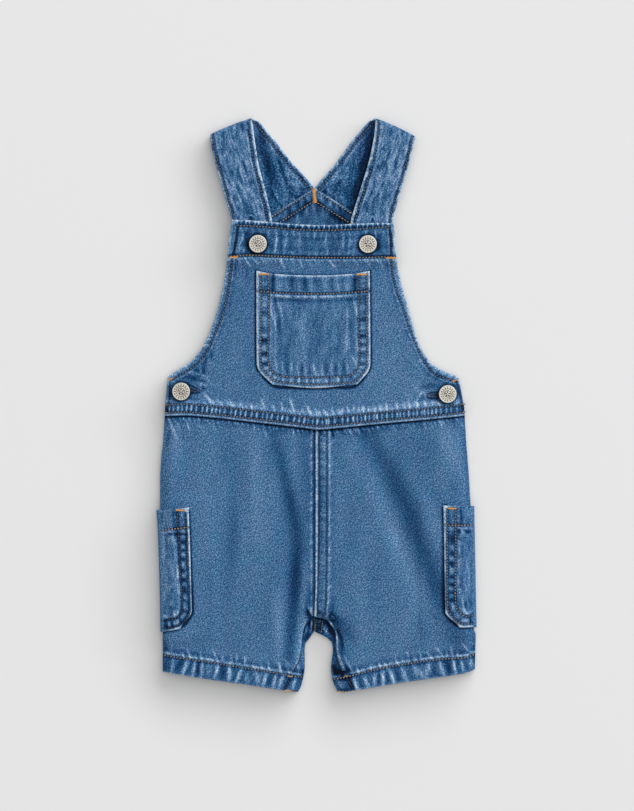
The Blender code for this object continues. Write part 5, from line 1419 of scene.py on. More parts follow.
CARGO_RIGHT_RAYS = strokes(Ray,
    (112.4, -80.5, 112.7, -86.8, 113, -95.4, 1.56, -0.34), (120.2, -89.9, 120.5, -96.1, 0.94, 0.28),
    (110.4, -96.9, 110.8, -100.8, 1.25, -0.32), (112.3, -96.9, 115, -100.8, 0.94, 0.28),
    (116.6, -99.3, 119, -99.3, 1.25, -0.32), (102.6, -96.9, 108.8, -97.7, 1.01, 0.21),
    (105.3, -102.4, 105.7, -107.1, 2.18, -0.34), (104.9, -110.2, 105.7, -111.7, 1.4, 0.21),
    (105.1, -114.5, 105.7, -116.4, 1.48, -0.37), (104.9, -119.2, 105.7, -119.8, 1.4, 0.23),
    (104.9, -123.4, 105.7, -124.5, 1.72, -0.39), (104.9, -128.1, 105.7, -129.7, 1.56, 0.21),
    (104.1, -134, 106.2, -134.2, 1.25, -0.39), (104.1, -137, 106.5, -137, 0.94, 0.21),
    (104.1, -139.8, 106.5, -140.1, 1.17, -0.39), (104.1, -143.2, 106.5, -143.4, 1.09, 0.25),
    (104.1, -146.4, 106.5, -146.4, 0.94, -0.34), (104.1, -148.7, 106.5, -148.7, 0.94, 0.18),
    (104.1, -152.3, 106.5, -152, 1.25, -0.37), (106.5, -156.2, 106.2, -159.3, 1.33, 0.3),
    (103.8, -157, 104.1, -161.7, 0.94, -0.28), (109.6, -162.4, 110.1, -165.6, 1.01, 0.3),
    (113.5, -168.2, 117.4, -167.9, 1.33, 0.34), (121.8, -164.8, 122.1, -169.5, 0.78, 0.39),
    (111.6, -166.3, 112.4, -168.7, 0.86, -0.28), (119.7, -166.3, 120, -169.5, 0.86, -0.3),
    (113.5, -149.2, 114.7, -161.7, 0.94, 0.3),
    (114.3, -157, 117.4, -162.4, 120.5, -160.9, 0.78, 0.32),
    (115.5, -153.9, 115.7, -158.5, 1.17, -0.32), (120, -152.3, 120.5, -158.5, 1.17, -0.28),
    (111.5, -142.9, 111.9, -146.1, 1.01, 0.28), (118.2, -121.1, 119, -144.5, 1.56, 0.06),
    (113.2, -121.1, 113.5, -138.3, 1.25, -0.07), (122.1, -100, 122.5, -113.3, 0.86, 0.18),
    (111.2, -109.4, 111.6, -121.1, 0.94, 0.18), (116.6, -103.9, 118.2, -108.6, 1.56, -0.11),
)

# The first two and the last are painted shadows of the straps' front runs on what lies under them;
# the third is painted shade along the bib's top edge.
BODICE_RAYS = strokes(Ray,
    (45.6, 217.4, 41, 194, 33.9, 170.6, 25.4, 147.2, 5.85, -0.44),
    (-44.9, 220.5, -41.7, 201.8, -36.3, 178.4, -30.8, 156.6, 3.51, -0.28),
    (-25.4, 148.8, -3.5, 155.8, 24.6, 147.2, 5.46, -0.06),
    (-30, 190.9, -22.2, 170.6, -19.1, 162.8, 1.25, -0.26),
    (-36.3, 167.5, -31.6, 159.7, -26.9, 156.6, 1.17, -0.24),
    (-33.9, 171.4, -30, 159.7, -25.4, 157.4, 1.01, 0.26),
    (-23, 173, -12.9, 172.2, -9.8, 169.1, 1.72, 0.16), (-25.4, 181.5, -12.9, 176.9, 2.03, 0.1),
    (-19.9, 165.9, -15.2, 162, -9.8, 166.7, 1.25, -0.2), (-16, 184.7, -8.2, 172.2, 1.01, -0.12),
    (18.3, 187.8, 13.7, 175.3, 10.5, 172.2, 1.56, 0.24), (16.8, 176.9, 20.7, 178.4, 1.25, 0.18),
    (12.9, 170.6, 19.1, 173.7, 1.25, -0.22), (21.4, 170.6, 23, 162.8, 1.56, -0.2),
    (9.8, 167.5, 11.3, 164.4, 1.01, 0.2), (15.2, 164.4, 16, 160.5, 1.17, 0.18),
    (19.1, 162, 20.7, 159.7, 1.09, 0.18), (24.6, 158.9, 25.4, 156.6, 1.09, 0.16),
    (1.2, 169.1, 10.5, 163.6, 1.25, -0.24), (-12.9, 167.5, -5.1, 169.8, 1.09, -0.2),
    (27.7, 198.7, 21.4, 184.7, 1.87, 0.1), (-32.4, 206.5, -23.8, 192.5, 1.56, 0.1),
    (-37.8, 198.7, -34.7, 184.7, 1.56, -0.1), (30, 190.9, 26.1, 175.3, 1.72, -0.14),
    (-27.7, 198.7, -20.7, 187.8, 1.25, -0.12), (-39.4, 215.9, -31.6, 204.9, 1.25, 0.14),
    (33.9, 206.5, 27.7, 197.1, 1.25, 0.1), (-23.8, 151.1, -24.6, 146.4, 1.09, 0.22),
    (-18.3, 155, -16.8, 150.3, 1.17, 0.24), (-12.1, 160.5, -11.3, 155.8, 1.09, 0.26),
    (-6.6, 163.6, -5.9, 158.9, 1.25, 0.2), (-28.5, 149.6, -29.2, 144.9, 1.01, 0.2),
    (-20.7, 152.7, -20.7, 148.8, 0.86, -0.22), (-14.4, 157.4, -14, 153.5, 0.86, -0.24),
    (-9, 161.3, -8.2, 157.4, 0.86, -0.2), (3.5, 164.4, 4.3, 159.7, 1.56, 0.18),
    (7.4, 162, 7.9, 157.4, 0.94, -0.22), (10.5, 160.5, 10.8, 155, 1.09, 0.26),
    (15.2, 157.4, 15.7, 152.7, 1.17, 0.16), (19.9, 155, 20.7, 149.6, 1.09, 0.12),
    (12.9, 158.9, 13.2, 154.2, 0.86, -0.2), (17.6, 155.8, 18.3, 151.1, 0.86, -0.18),
    (-4.3, 156.6, -1.2, 152.7, 0.86, 0.28), (-8.2, 155, -7.4, 149.6, 0.94, 0.22),
    (-16, 151.1, -14.4, 142.5, 1.09, 0.18), (-11.3, 150.3, -11.3, 142.5, 1.87, -0.12),
    (-23, 147.2, -21.4, 142.5, 0.94, -0.2), (4.3, 154.2, 5.9, 149.6, 0.78, 0.22),
    (2, 156.6, 3.5, 155, 0.94, -0.2), (-5.1, 152.7, -3.5, 142.5, 2.34, 0.05),
    (-0.4, 153.5, 1.2, 148.8, 1.09, -0.12), (10.5, 148.8, 23, 142.5, 2.73, -0.16),
    (43.3, 217.4, 41, 204.9, 36.3, 187.8, 31.6, 173, 25.4, 155, 3.51, -0.08),
)

WAIST_BARS = [
    -114.7, -111.5, -108.0, -104.9, -101.4, -97.9, -94.0, -89.3, -85.8, -81.9, -78.8, -75.7, -72.2,
    -67.1, -63.6, -59.7, -55.8, -51.1, -47.2, -42.5, -39.0, -35.5, -30.8, -27.3, -23.4, -18.0,
    -14.1, -10.2, -7.1, -3.4, 0.2, 4.3, 7.8, 9.6, 14.4, 20.2, 24.4, 28.8, 31.9, 35.1, 38.1, 41.2,
    44.9, 47.2, 51.1, 55.0, 58.9, 62.8, 65.1, 68.2, 71.9, 75.5, 78.4, 82.1, 84.2, 87.0, 90.1, 93.2,
    96.9, 101.2, 104.9, 109.6,
]

TOP_BEADS = [
    -62, -58.5, -55, -52.3, -48, -45.2, -42.5, -38.6, -35.1, -30.8, -27.3, -22.2, -16.4, -10.9,
    -5.9, -2, 1.7, 5.9, 9.8, 12.9, 16, 19.5, 22.7, 26.5, 32, 36.3, 39.8, 43.8, 48, 51.9, 55.8,
]


# ==== what sewing and wear add to each piece ==============================================
def leg_detail(x, y, side):
    """A front of the shorts. side is -1 for the left and 1 for the right."""
    made = Detail(x, y)
    made.mottle(9.0, 34.0, 0.04, 21)
    # The creases' tone: painted shade in their troughs and painted highlight on their ridges.
    _, tone = creases(CREASES, made.x, made.y)
    made.tone += tone
    made.crease(LEFT_LEG_RAYS if side < 0 else RIGHT_LEG_RAYS)
    below = waist_line(0.0)
    made.ribs(below, Rib(3.9, 0.18, 0.45, 1.2, 8.0, 0.25, 0.42, 36), side=-1.0)
    # Painted shadow of the bib's lower edge on the shorts, just under it.
    made.tone -= 0.42 * bell(waist(made.x) - made.y - 0.4, 1.2)
    hem = smooth_path(HEM_ROWS[side])
    made.row(hem, width=0.95)
    _, d = measure(hem, made.x, made.y, 14.0)
    made.tone -= 0.13 * step(0.0, -1.5, d) * (np.abs(d) < 14.0)
    made.ribs(hem, Rib(3.4, 0.3, 0.4 * side, 0.8, 12.0, 0.1, 0.12, 41, 0.25), side=-1.0)
    made.ribs(hem, Rib(4.6, 0.18, -0.5, 0.8, 6.5, 0.35, 0.26, 46), side=1.0)
    made.tone -= 0.12 * step(2.6, 3.6, d) * lifted(5.0, 3.0, d)
    made.line(hem, 2.0, 1.0, 0.15, 0.16, 0.8, 47)
    made.line(hem, -1.5, 0.8, -0.05, -0.08)
    inseam, inseam_hem = map(smooth_path, INSEAMS[side])
    _, d = measure(inseam, made.x, made.y, 12.0)
    inward = -side * d
    if side < 0:
        made.line(inseam, -0.7, 0.7, 0.2, 0.2, 0.4, 51)
        made.line(inseam, 0.3, 0.7, -0.3, -0.3)
        made.tone -= 0.08 * step(0.5, 2.0, inward) * lifted(7.0, 2.0, inward)
    else:
        made.line(inseam, 0.0, 0.7, 0.2, 0.24, 0.4, 51)
        # A dark groove and dark bands beside the right inseam: painted shade.
        made.line(inseam, -1.8, 1.1, -0.35, -0.2)
        made.tone -= 0.2 * step(0.8, 2.0, inward) * lifted(8.0, 2.0, inward)
        made.tone -= 0.12 * step(-0.8, -2.0, inward) * lifted(2.0, 5.0, -inward)
    made.row(inseam_hem, dark=0.3)
    if side > 0:
        near, far = smooth_path(CENTRE_NEAR), smooth_path(CENTRE_FAR)
        made.row(near, width=0.8)
        made.row(far, dark=0.26, width=0.8)
        made.tone -= 0.03 * step(2.0, 3.0, made.x) * lifted(5.0, 1.0, made.x)
        made.tone += 0.07 * bell(made.x - 6.0, 0.9) * (made.y > CROTCH_Y)
        made.line(far, 1.8, 0.8, 0.25, 0.2, 0.5, 61)
        made.ribs(far, Rib(6.6, 0.2, -0.7, 1.0, 8.0, 0.3, 0.16, 63), side=1.0)
        made.ribs(near, Rib(5.2, 0.28, 0.3, 0.6, 6.2, 0.15, 0.16, 66, 0.25), side=1.0)
        fold = 0.1 - FOLD_LEAN * step(-140.0, -165.0, made.y)
        made.tone += worn_edge(np.abs(made.x - fold), made.y, 0.46, 0.95, 67)
    else:
        along = smooth_path([(-1.0, -22.0), (-1.0, -162.0)])
        made.ribs(along, Rib(6.2, 0.2, 0.5, 1.5, 7.0, 0.22, 0.16, 71), side=-1.0)
        made.line(along, -3.1, 0.8, 0.12, 0.18, 0.9, 73)
        # Painted shadow of the right front's folded edge on the left front.
        made.tone -= 0.3 * bell(made.x + 2.0, 0.95) * (made.y > CROTCH_Y)
    # Painted shade where the sides roll down.
    sides = from_side(made.x, made.y)
    made.tone -= 0.05 * bell(sides, 3.5)
    # Painted shadow of the side pocket's edge on the front, just outside it.
    _, d = measure(smooth_path(CARGO_ROWS[side][0]), made.x, made.y, 8.0)
    outside = -side * d
    fall = 1.1 if side < 0 else 1.5
    beside = (outside < 8.0) * (outside > 0.5)
    made.tone -= 0.46 * bell(np.maximum(outside - 2.6, 0.0), fall) * beside
    return made


def short_front_over_all(x, y, side):
    lap = fell_lift(x, y) if side > 0 else 0.0
    hem = through(HEMS[side], "share", "y", hem_share(x, side))
    return front_under(x, y) + lap + CLOTH + TURNED * turned(LEG_HEM, y - hem)


def hem_share(x, side):
    if side < 0:
        start, end = left_side(HEM_OUTER_Y[0]), edge_x(LEFT_LEG, HEM_INNER_Y)
    else:
        start, end = edge_x(RIGHT_LEG, HEM_INNER_Y), right_side(HEM_OUTER_Y[1])
    return np.clip((x - start) / (end - start), 0.0, 1.0)


def bib_detail(x, y):
    made = Detail(x, y)
    x, y = made.x, made.y
    made.mottle(10.0, 26.0, 0.025, 121)
    made.mottle(2.6, 8.0, 0.02, 122)
    made.crease(BIB_RAYS)
    made.tone += 0.04 * step(20.0, 60.0, x)
    top_row, band_row = smooth_path(BIB_TOP_ROW), smooth_path(BIB_BAND_ROW)
    made.row(top_row)
    made.row(band_row, dark=0.45)
    made.line(band_row, 1.4, 0.6, -0.1, -0.16)
    made.line(band_row, -1.9, 0.9, 0.15, 0.17, 0.6, 129)
    made.tone -= 0.05 * step(113.5, 115.5, y) * (y < 141.0)
    from_top = through_path(top_row, x) - y
    for at, width, dark in ((6.0, 1.5, 0.13), (15.0, 1.6, 0.09)):
        made.tone -= dark * bell(from_top - at, width) * (y > 115.0)
    made.rungs(top_row, TOP_BEADS, 4.0, 0.75, 0.5, near=0.8, gap=0.32, seed=131)
    made.ribs(top_row, Rib(4.6, 0.24, 0.05, 0.9, 5.0, 0.2, 0.18, 138), side=-1.0)
    made.ribs(band_row, Rib(4.4, 0.24, 0.15, 0.8, 5.0, 0.3, 0.12, 141), side=1.0)
    made.ribs(band_row, Rib(3.2, 0.2, 0.5, 1.2, 6.5, 0.25, 0.26, 146), side=-1.0)
    made.tone += worn_edge(np.abs(np.interp(x, *BIB_TOP_LINE.T) - y - 0.5), x, 0.44, 1.0, 151)
    for (side, row), edge in zip(ARMHOLES, (BIB_LEFT_EDGE, BIB_RIGHT_EDGE)):
        row = smooth_path(row)
        made.row(row, dark=0.4, width=0.85)
        made.line(row, 3.0 * -side, 1.0, -0.05, -0.06)
        stronger = 0.35 + 0.65 * lifted(50.0, 25.0, y)
        rib = Rib(3.6, 0.26, 0.3, 0.5, 6.0, 0.3, 0.27, 156, 0.25)
        made.ribs(row, rib, side=side, where=stronger)
        made.ribs(row, Rib(5.0, 0.2, -0.4, 0.8, 6.0, 0.25, 0.16, 159), side=-side)
        made.line(row, 1.9 * -side, 0.9, 0.1, 0.07, 0.8, 160)
        s, d = measure(edge, x, y, 9.0)
        made.tone += worn_edge(np.abs(d), s, 0.32, 1.5, 161)
    for upright in map(smooth_path, (UPRIGHT_LEFT, UPRIGHT_RIGHT)):
        # A dark groove down each upright: painted shadow.
        made.line(upright, 0.0, 0.95, -0.4, -0.48)
        for beside in (1.8, -1.8):
            made.line(upright, beside, 0.7, 0.1, 0.14)
    low, high = WAIST_ROWS
    made.row(low)
    made.row(high)
    made.rungs(low, WAIST_BARS, 5.6, 0.72, 0.58, near=0.7, lean=0.06, gap=0.22, seed=171)
    made.ribs(high, Rib(3.7, 0.2, -0.4, 0.8, 5.5, 0.3, 0.20, 176), side=1.0)
    made.line(high, 2.8, 2.4, 0.0, 0.1, 0.8, 183)
    made.tone += worn_edge(np.abs(y - waist(x) - 0.9), x, 0.27, 0.9, 181)
    _, d = measure(BIB_POCKET_EDGE, x, y, 7.0)
    under_pocket = (np.abs(x + 2.5) < 40.0) & (y > 19.0)
    d = np.where(np.abs(d) < 6.9, d, np.where(under_pocket, 7.0, -7.0))
    mouth = pocket_mouth(x)
    # Painted shadow beside the pocket's edges; the bib is also darker along the pocket's mouth.
    made.tone -= 0.5 * bell(d + 0.2, 1.15) * (y < mouth + 1.0)
    made.tone -= 0.16 * bell(y - mouth, 1.6) * (np.abs(x + 2.7) < 45.0)
    inside = step(-1.0, 0.6, d) * (y < mouth)
    made.height *= 1.0 - inside
    made.height -= 0.15 * inside
    for button in BUTTONS:
        r = np.hypot(x - button.x, y - button.y)
        # Painted shadow around each button.
        made.tone -= 0.3 * bell(np.maximum(r - BUTTON_R, 0.0), 1.6)
        made.height *= step(BUTTON_R - 1.0, BUTTON_R + 1.5, r)
    # The buttonholes' slits: painted shade.
    made.crease(BUTTONHOLES)
    for placket in (PLACKET_LEFT, PLACKET_RIGHT):
        # A dark groove along each placket: painted shade.
        made.line(smooth_path(placket), 0.0, 0.9, -0.2, -0.36)
    return made


def pocket_mouth(x):
    _, left, right = BIB_POCKET_SIDES[0]
    return through(BIB_POCKET_MOUTH, "share", "y", np.clip((x - left) / (right - left), 0.0, 1.0))


def pocket_over(x, y):
    band = turned(BIB_POCKET_BAND, pocket_mouth(x) - y)
    return bib_over(x, y) + GAP + CLOTH + POCKET_TURNED * band


def pocket_detail(x, y):
    made = Detail(x, y)
    x, y = made.x, made.y
    made.mottle(8.0, 20.0, 0.05, 221)
    made.mottle(2.2, 7.0, 0.08, 222)
    made.crease(POCKET_RAYS)
    made.tone += 0.06
    outer, inner, hem = map(smooth_path, (POCKET_OUTER, POCKET_INNER, POCKET_HEM))
    s, d = measure(BIB_POCKET_EDGE, x, y, 8.0)
    made.tone += worn_edge(np.maximum(d - 0.3, 0.0), s, 0.44, 1.2, 231)
    mouth = pocket_mouth(x)
    made.tone += worn_edge(mouth - y - 0.3, x, 0.42, 1.1, 233)
    for row in (outer, inner):
        made.row(row, dark=0.26)
    made.row(hem, dark=0.36)
    low = lifted(0.0, 6.0, y - 22.0)
    made.ribs(outer, Rib(5.2, 0.3, 0.0, 0.8, 5.6, 0.2, 0.18, 246, 0.2), side=1.0)
    _, d = measure(outer, x, y, 7.0)
    made.tone -= 0.05 * step(0.0, 1.0, d) * (d < 6.4)
    made.ribs(inner, Rib(4.4, 0.2, 0.2, 0.8, 9.0, 0.3, 0.12, 251), side=1.0, where=low)
    made.tone -= 0.08 * step(0.5, 1.5, x + 36.0) * step(0.5, 1.5, 31.6 - x) * step(22.0, 24.0, y)
    made.line(inner, 2.2, 1.0, 0.1, 0.05, 0.9, 253)
    below = through_path(hem, x) - y
    between_rows = lifted(33.0, 2.0, np.abs(x + 2.2))
    made.tone -= 0.03 * step(0.0, 1.5, -below) * between_rows
    made.add(bell(below - 2.2, 1.1) * between_rows, 0.3, 0.12)
    made.tone -= 0.06 * bell(below + 10.0, 2.0) * between_rows
    # A groove under the hem row, and one at each bar, darkened with painted shade.
    uneven = 1.0 + 0.4 * noise1(x / 5.0, 258)
    made.add(bell(below - 5.4, 1.7) * between_rows * uneven, -0.35, -0.13)
    for bar in (-34.0, 30.0):
        made.add(bell(x - bar, 1.45) * step(86.5, 89.0, y), -0.4, -0.34)
    return made


def through_path(path, x):
    order = np.argsort(path[:, 0])
    return np.interp(x, path[order, 0], path[order, 1])


def cargo_detail(x, y, wrap):
    made = Detail(x, y)
    x, y, side = made.x, made.y, wrap.side
    seed = 300 + 40 * (side > 0)
    made.mottle(7.0, 24.0, 0.05, seed + 1)
    made.mottle(1.8, 6.5, 0.12, seed + 2)
    made.crease(CARGO_LEFT_RAYS if side < 0 else CARGO_RIGHT_RAYS)
    outer, inner, hem = map(smooth_path, CARGO_ROWS[side])
    made.tone += 0.04 if side < 0 else 0.0
    for row in (outer, inner):
        made.row(row, dark=0.5 if side < 0 else 0.34)
    made.row(hem, dark=0.3)
    s, d = measure(outer, x, y, 8.0)
    beyond = -side * d
    made.tone += worn_edge(np.abs(beyond - 2.1), s, 0.5, 1.0, seed + 3) * (beyond < 7.9)
    made.tone -= 0.07 * step(0.0, -1.5, beyond) * lifted(5.0, 1.5, -beyond)
    made.ribs(inner, Rib(5.4, 0.24, 0.3, 0.8, 6.0, 0.25, 0.12, seed + 10), side=side)
    made.line(inner, 2.4 * side, 1.0, 0.15, 0.08, 0.9, seed + 15)
    below = through_path(hem, x) - y
    made.add(bell(below - 2.0, 1.0), 0.2, 0.12)
    # A groove under the hem row, darkened with painted shade.
    uneven = 1.0 + 0.8 * noise1(x / 3.0, seed + 16)
    made.add(bell(below - 4.2, 1.2) * uneven, -0.2, -0.14)
    from_top = wrap.top_front - 0.6 - y + 0.1 * np.abs(np.abs(x) - 100.0)
    made.tone += worn_edge(np.abs(from_top), x, 0.36, 1.0, seed + 17)
    return made


def bodice_detail(x, y):
    """The back above the waist: its peaked band, and what hangs below it."""
    made = Detail(x, y)
    x, y = made.x, made.y
    made.mottle(6.0, 10.0, 0.10, 421)
    made.mottle(2.4, 4.5, 0.12, 422)
    made.crease(BODICE_RAYS)
    below = neck(x) - y
    made.tone += worn_edge(np.abs(below / PEAK_RUN - 0.5), x, 0.42, 0.9, 423)
    upper, lower = (smooth_path(neck_line(at * PEAK_RUN, -60.0, 56.0)) for at in NECK_ROWS)
    for row in (upper, lower):
        made.row(row, dark=0.34)
    made.ribs(upper, Rib(4.2, 0.26, 0.1, 0.8, 6.4, 0.35, 0.10, 441, 0.25), side=-1.0)
    made.ribs(lower, Rib(5.2, 0.22, 0.5, 0.8, 14.0, 0.35, 0.12, 446), side=-1.0)
    made.line(lower, -1.6, 1.0, -0.2, -0.16)
    return made


# ==== the pieces ==========================================================================
HIDDEN_TONE = -0.05
THINNEST = 0.25  # the least cloth that a furrow leaves
FURROW_UP = 0.6  # the furthest that one goes up into the back, which lies on its outside
TUCKED = 0.55  # the face of a strap's end is sunk by this much, to lie clear under the band


def dress(piece, nodes):
    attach(piece, "root")
    if nodes:
        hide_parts(*nodes)
    return piece


def fronted(name, x, y, under, over, detail, from_edge, finish, back_tone=HIDDEN_TONE, skip=3):
    """A cloth piece whose upper face shows. from_edge is how far in each point lies."""
    top = over + detail.height + round_edge(from_edge)
    top = np.maximum(top, under + THINNEST)
    outer, inner = np.stack([x, y, top], -1), np.stack([x, y, under], -1)
    weave = flat_weave(x, y)
    tones = (detail.tone, np.full_like(x, back_tone))
    return shell(name, outer, inner, tones, (weave, weave + 31.0), finish, skip)


FOLD_X = -0.9  # the folded edge of the right front, on the centre seam
FOLD_LEAN = 0.9  # its foot lies this much further left


def build_leg_front(side):
    """A front of the shorts. side is -1 for the left and 1 for the right."""
    name = "short_front_left" if side < 0 else "short_front_right"
    if side < 0:
        seam = [Edge(10.0, CENTRE_X + FELL), Edge(-156.0, CENTRE_X + FELL), Edge(-163.0, 4.0)]
        seam += [*LEFT_FRONT_CROTCH, *LEFT_LEG]
        left, right = left_side, lambda at: edge_x(seam, at)
    else:
        fold_foot = Edge(-165.2, FOLD_X - FOLD_LEAN)
        seam = [Edge(10.0, FOLD_X), Edge(-140.0, FOLD_X), fold_foot, Edge(-166.9, 4.0)]
        seam += [Edge(-167.6, 8.0), *RIGHT_FRONT_CROTCH[1:], *RIGHT_LEG]
        left, right = lambda at: edge_x(seam, at), right_side
    start, end = left(0.0), right(0.0)
    x, y = panel_grid(
        left,
        right,
        lambda share: waist(between(start, end, share)) + WAIST_LAP,
        lambda share: through(HEMS[side], "share", "y", share),
        stations(close_steps(24.0 - 6.0 * side), close_steps(24.0 + 6.0 * side), 77.0, COARSE),
        stations(close_steps(24.0), close_steps(42.0), 145.0, COARSE),
    )
    under = front_under(x, y) + (fell_lift(x, y) if side > 0 else 0.0)
    over = under + CLOTH + TURNED * turned(LEG_HEM, y - y[-1])
    detail = leg_detail(x, y, side)
    hidden = step(0.5, 3.0, y - waist(x))
    detail.height *= 1.0 - hidden
    if side < 0:
        detail.height *= lifted(-1.5, 1.0, x - CENTRE_X)
    from_edge = np.minimum(np.minimum(np.abs(x - x[:, :1]), np.abs(x - x[:, -1:])), y - y[-1])
    detail.tone += worn_edge(y - y[-1], x, 0.26, 1.1, 81)
    return fronted(name + "_cloth", x, y, under, over, detail, from_edge, DENIM)


def build_leg_back(side):
    """A back of the shorts. Its lower face is the outside, so its furrows go up into it."""
    name = "short_back_left" if side < 0 else "short_back_right"
    leg = [*LEFT_BACK_CROTCH, *LEFT_LEG] if side < 0 else [*RIGHT_BACK_CROTCH, *RIGHT_LEG]

    def seam(at):
        return np.where(at > leg[0].y, edge_x(BACK_SEAM, at) + side * GAP / 2, edge_x(leg, at))

    left, right = (left_side, seam) if side < 0 else (seam, right_side)
    start, end = left(-10.0), right(-10.0)
    x, y = panel_grid(
        left,
        right,
        lambda share: waist(between(start, end, share)) - GAP,
        lambda share: through(HEMS[side], "share", "y", share),
        stations([0.0, 0.7], [0.0, 0.7], 122.0, PLAIN),
        stations([0.0, 0.7], [0.0, 0.7], 205.0, PLAIN),
    )
    under = back_under(x, y)
    detail = back_detail(x, y, side)
    raised = np.clip(-detail.height, 0.0, FURROW_UP)
    from_edge = np.minimum(np.abs(x - x[:, :1]), np.abs(x - x[:, -1:]))
    low = under + raised - round_edge(np.minimum(from_edge, y - y[-1]), 0.8, 0.4)
    crotch = Detail(x, y)
    for row in (CROTCH_NEAR, CROTCH_FAR):
        crotch.row(smooth_path(row), depth=0.2, dark=0.2)
    rib = Rib(2.4, 0.28, -0.3, 0.3, 4.8, 0.2, 0.3, 93, 0.25)
    crotch.ribs(smooth_path(CROTCH_NEAR), rib, side=1.0)
    crotch.mottle(2.4, 5.0, 0.14, 95)
    crotch.crease(CROTCH_RAYS)
    # Painted shade over the back where it shows at the crotch.
    crotch.tone -= 0.2 * step(-202.0, -176.0, y)
    over = under + CLOTH + crotch.height
    inner, outer = np.stack([x, y, over], -1), np.stack([x, y, low], -1)
    weave = flat_weave(x, y)
    # A little more painted shade over all of the back's upper face.
    tones = (detail.tone, crotch.tone - 0.08)
    return shell(name + "_cloth", outer, inner, tones, (weave, weave + 17.0), DENIM, skip=1)


# The outside of the back, which lies on the floor, has soft folds of its own.
BACK_CREASES = strokes(Crease,
    (32, -26, 46, -60, 63, -102, 82, -148, 94, -184, 6.6, 0.6, -0.15),
    (52, -34, 70, -78, 88, -116, 7, -0.3, 0.05),
    (-29, -24, -38, -57, -53, -101, -66, -143, 6, 0.5, -0.13),
    (-52, -30, -57, -74, -76, -121, 7.4, -0.3, 0.05),
    (11, -92, 17, -131, 29, -170, 34, -198, 5.2, 0.5, -0.12),
    (-11, -104, -19, -139, -33, -176, 4.8, 0.5, -0.13),
    (85, -19, 91, -44, 99, -71, 5.4, 0.4, -0.09), (-88, -17, -93, -42, -101, -68, 5, 0.4, -0.09),
    (-71, 34, -47, 47, -16, 52, 5.6, 0.4, -0.1), (68, 31, 46, 41, 18, 44, 5.2, 0.4, -0.09),
    (-36, 118, -30, 84, -33, 38, 7, 0.3, -0.07), (31, 112, 28, 76, 34, 28, 6.6, 0.3, -0.07),
    (-4, 96, -2, 52, 3, 6, 8, -0.2, 0.05), (-102, 12, -86, 3, -70, -2, 3.4, 0.3, -0.1),
    (100, 11, 84, 4, 66, 1, 3.2, 0.3, -0.1),
)


BACK_SEAM_ROWS = (1.6, 7.8)  # the rows of stitches beside the centre back seam


def back_detail(x, y, side):
    made = Detail(x, y)
    made.crease(BACK_CREASES)
    made.mottle(9.0, 34.0, 0.05, 521 + side)
    made.mottle(2.4, 13.0, 0.045, 523 + side)
    hem = smooth_path(HEM_ROWS[side])
    made.row(hem, dark=0.15)
    made.ribs(hem, Rib(5.7, 0.30, 0.5 * side, 0.4, 11.0, -0.3, 0.26, 541, 0.25), side=-1.0)
    made.ribs(hem, Rib(5.4, 0.26, -0.6 * side, 0.8, 9.0, -0.2, 0.16, 546), side=1.0)
    near, far = (smooth_path([(at, -12.0), (at, -158.0)]) for at in BACK_SEAM_ROWS)
    for row in (near, far):
        made.row(row, dark=0.15)
    made.ribs(near, Rib(5.6, 0.3, 0.3, 0.6, 6.0, -0.2, 0.12, 551, 0.25))
    made.ribs(waist_line(-1.0), Rib(5.0, 0.26, 0.4, 0.8, 10.0, -0.25, 0.14, 556), side=-1.0)
    return made


def build_bib():
    """The bib, from its top edge to the waist seam."""
    start, end = left_side(WAIST_SIDE_Y), right_side(WAIST_SIDE_Y)
    x, y = panel_grid(
        left_side,
        right_side,
        lambda share: np.interp(between(*BIB_TOP_ENDS, share), *BIB_TOP_LINE.T),
        lambda share: waist(between(start, end, share)),
        stations(EDGE_STEPS, EDGE_STEPS, 234.0, FINE * 1.08),
        stations(EDGE_STEPS, EDGE_STEPS, 155.0, FINE * 1.05),
    )
    detail = bib_detail(x, y)
    edges = [measure(edge, x, y, 3.0)[1] for edge in (BIB_LEFT_EDGE, BIB_RIGHT_EDGE)]
    from_side_edge = np.minimum(np.abs(edges[0]), np.abs(edges[1]))
    from_side_edge[:, [0, -1]] = 0.0
    from_edge = np.minimum(np.minimum(from_side_edge, y[0] - y), y - y[-1])
    under, over = bib_under(x, y), bib_over(x, y)
    return fronted("bib_front_cloth", x, y, under, over, detail, from_edge, DENIM)


def build_bib_pocket():
    x, y = panel_grid(
        lambda at: through(BIB_POCKET_SIDES, "y", "left", at),
        lambda at: through(BIB_POCKET_SIDES, "y", "right", at),
        lambda share: through(BIB_POCKET_MOUTH, "share", "y", share),
        lambda share: through(BIB_POCKET_FOOT, "share", "y", share),
        stations(EDGE_STEPS, EDGE_STEPS, 88.0, FINE * 0.85),
        stations(EDGE_STEPS, EDGE_STEPS, 90.0, FINE * 0.85),
    )
    under = bib_over(x, y) + GAP
    over = under + CLOTH + POCKET_TURNED * turned(BIB_POCKET_BAND, y[0] - y)
    _, d = measure(BIB_POCKET_EDGE, x, y, 3.0)
    from_edge = np.minimum(np.abs(d), y[0] - y)
    for border in (np.s_[:, 0], np.s_[:, -1], np.s_[-1, :]):
        from_edge[border] = 0.0
    return fronted("bib_pocket_cloth", x, y, under, over, pocket_detail(x, y), from_edge, DENIM)


def cargo_over(x, y):
    return front_under(x, y) + CLOTH + GAP + CLOTH


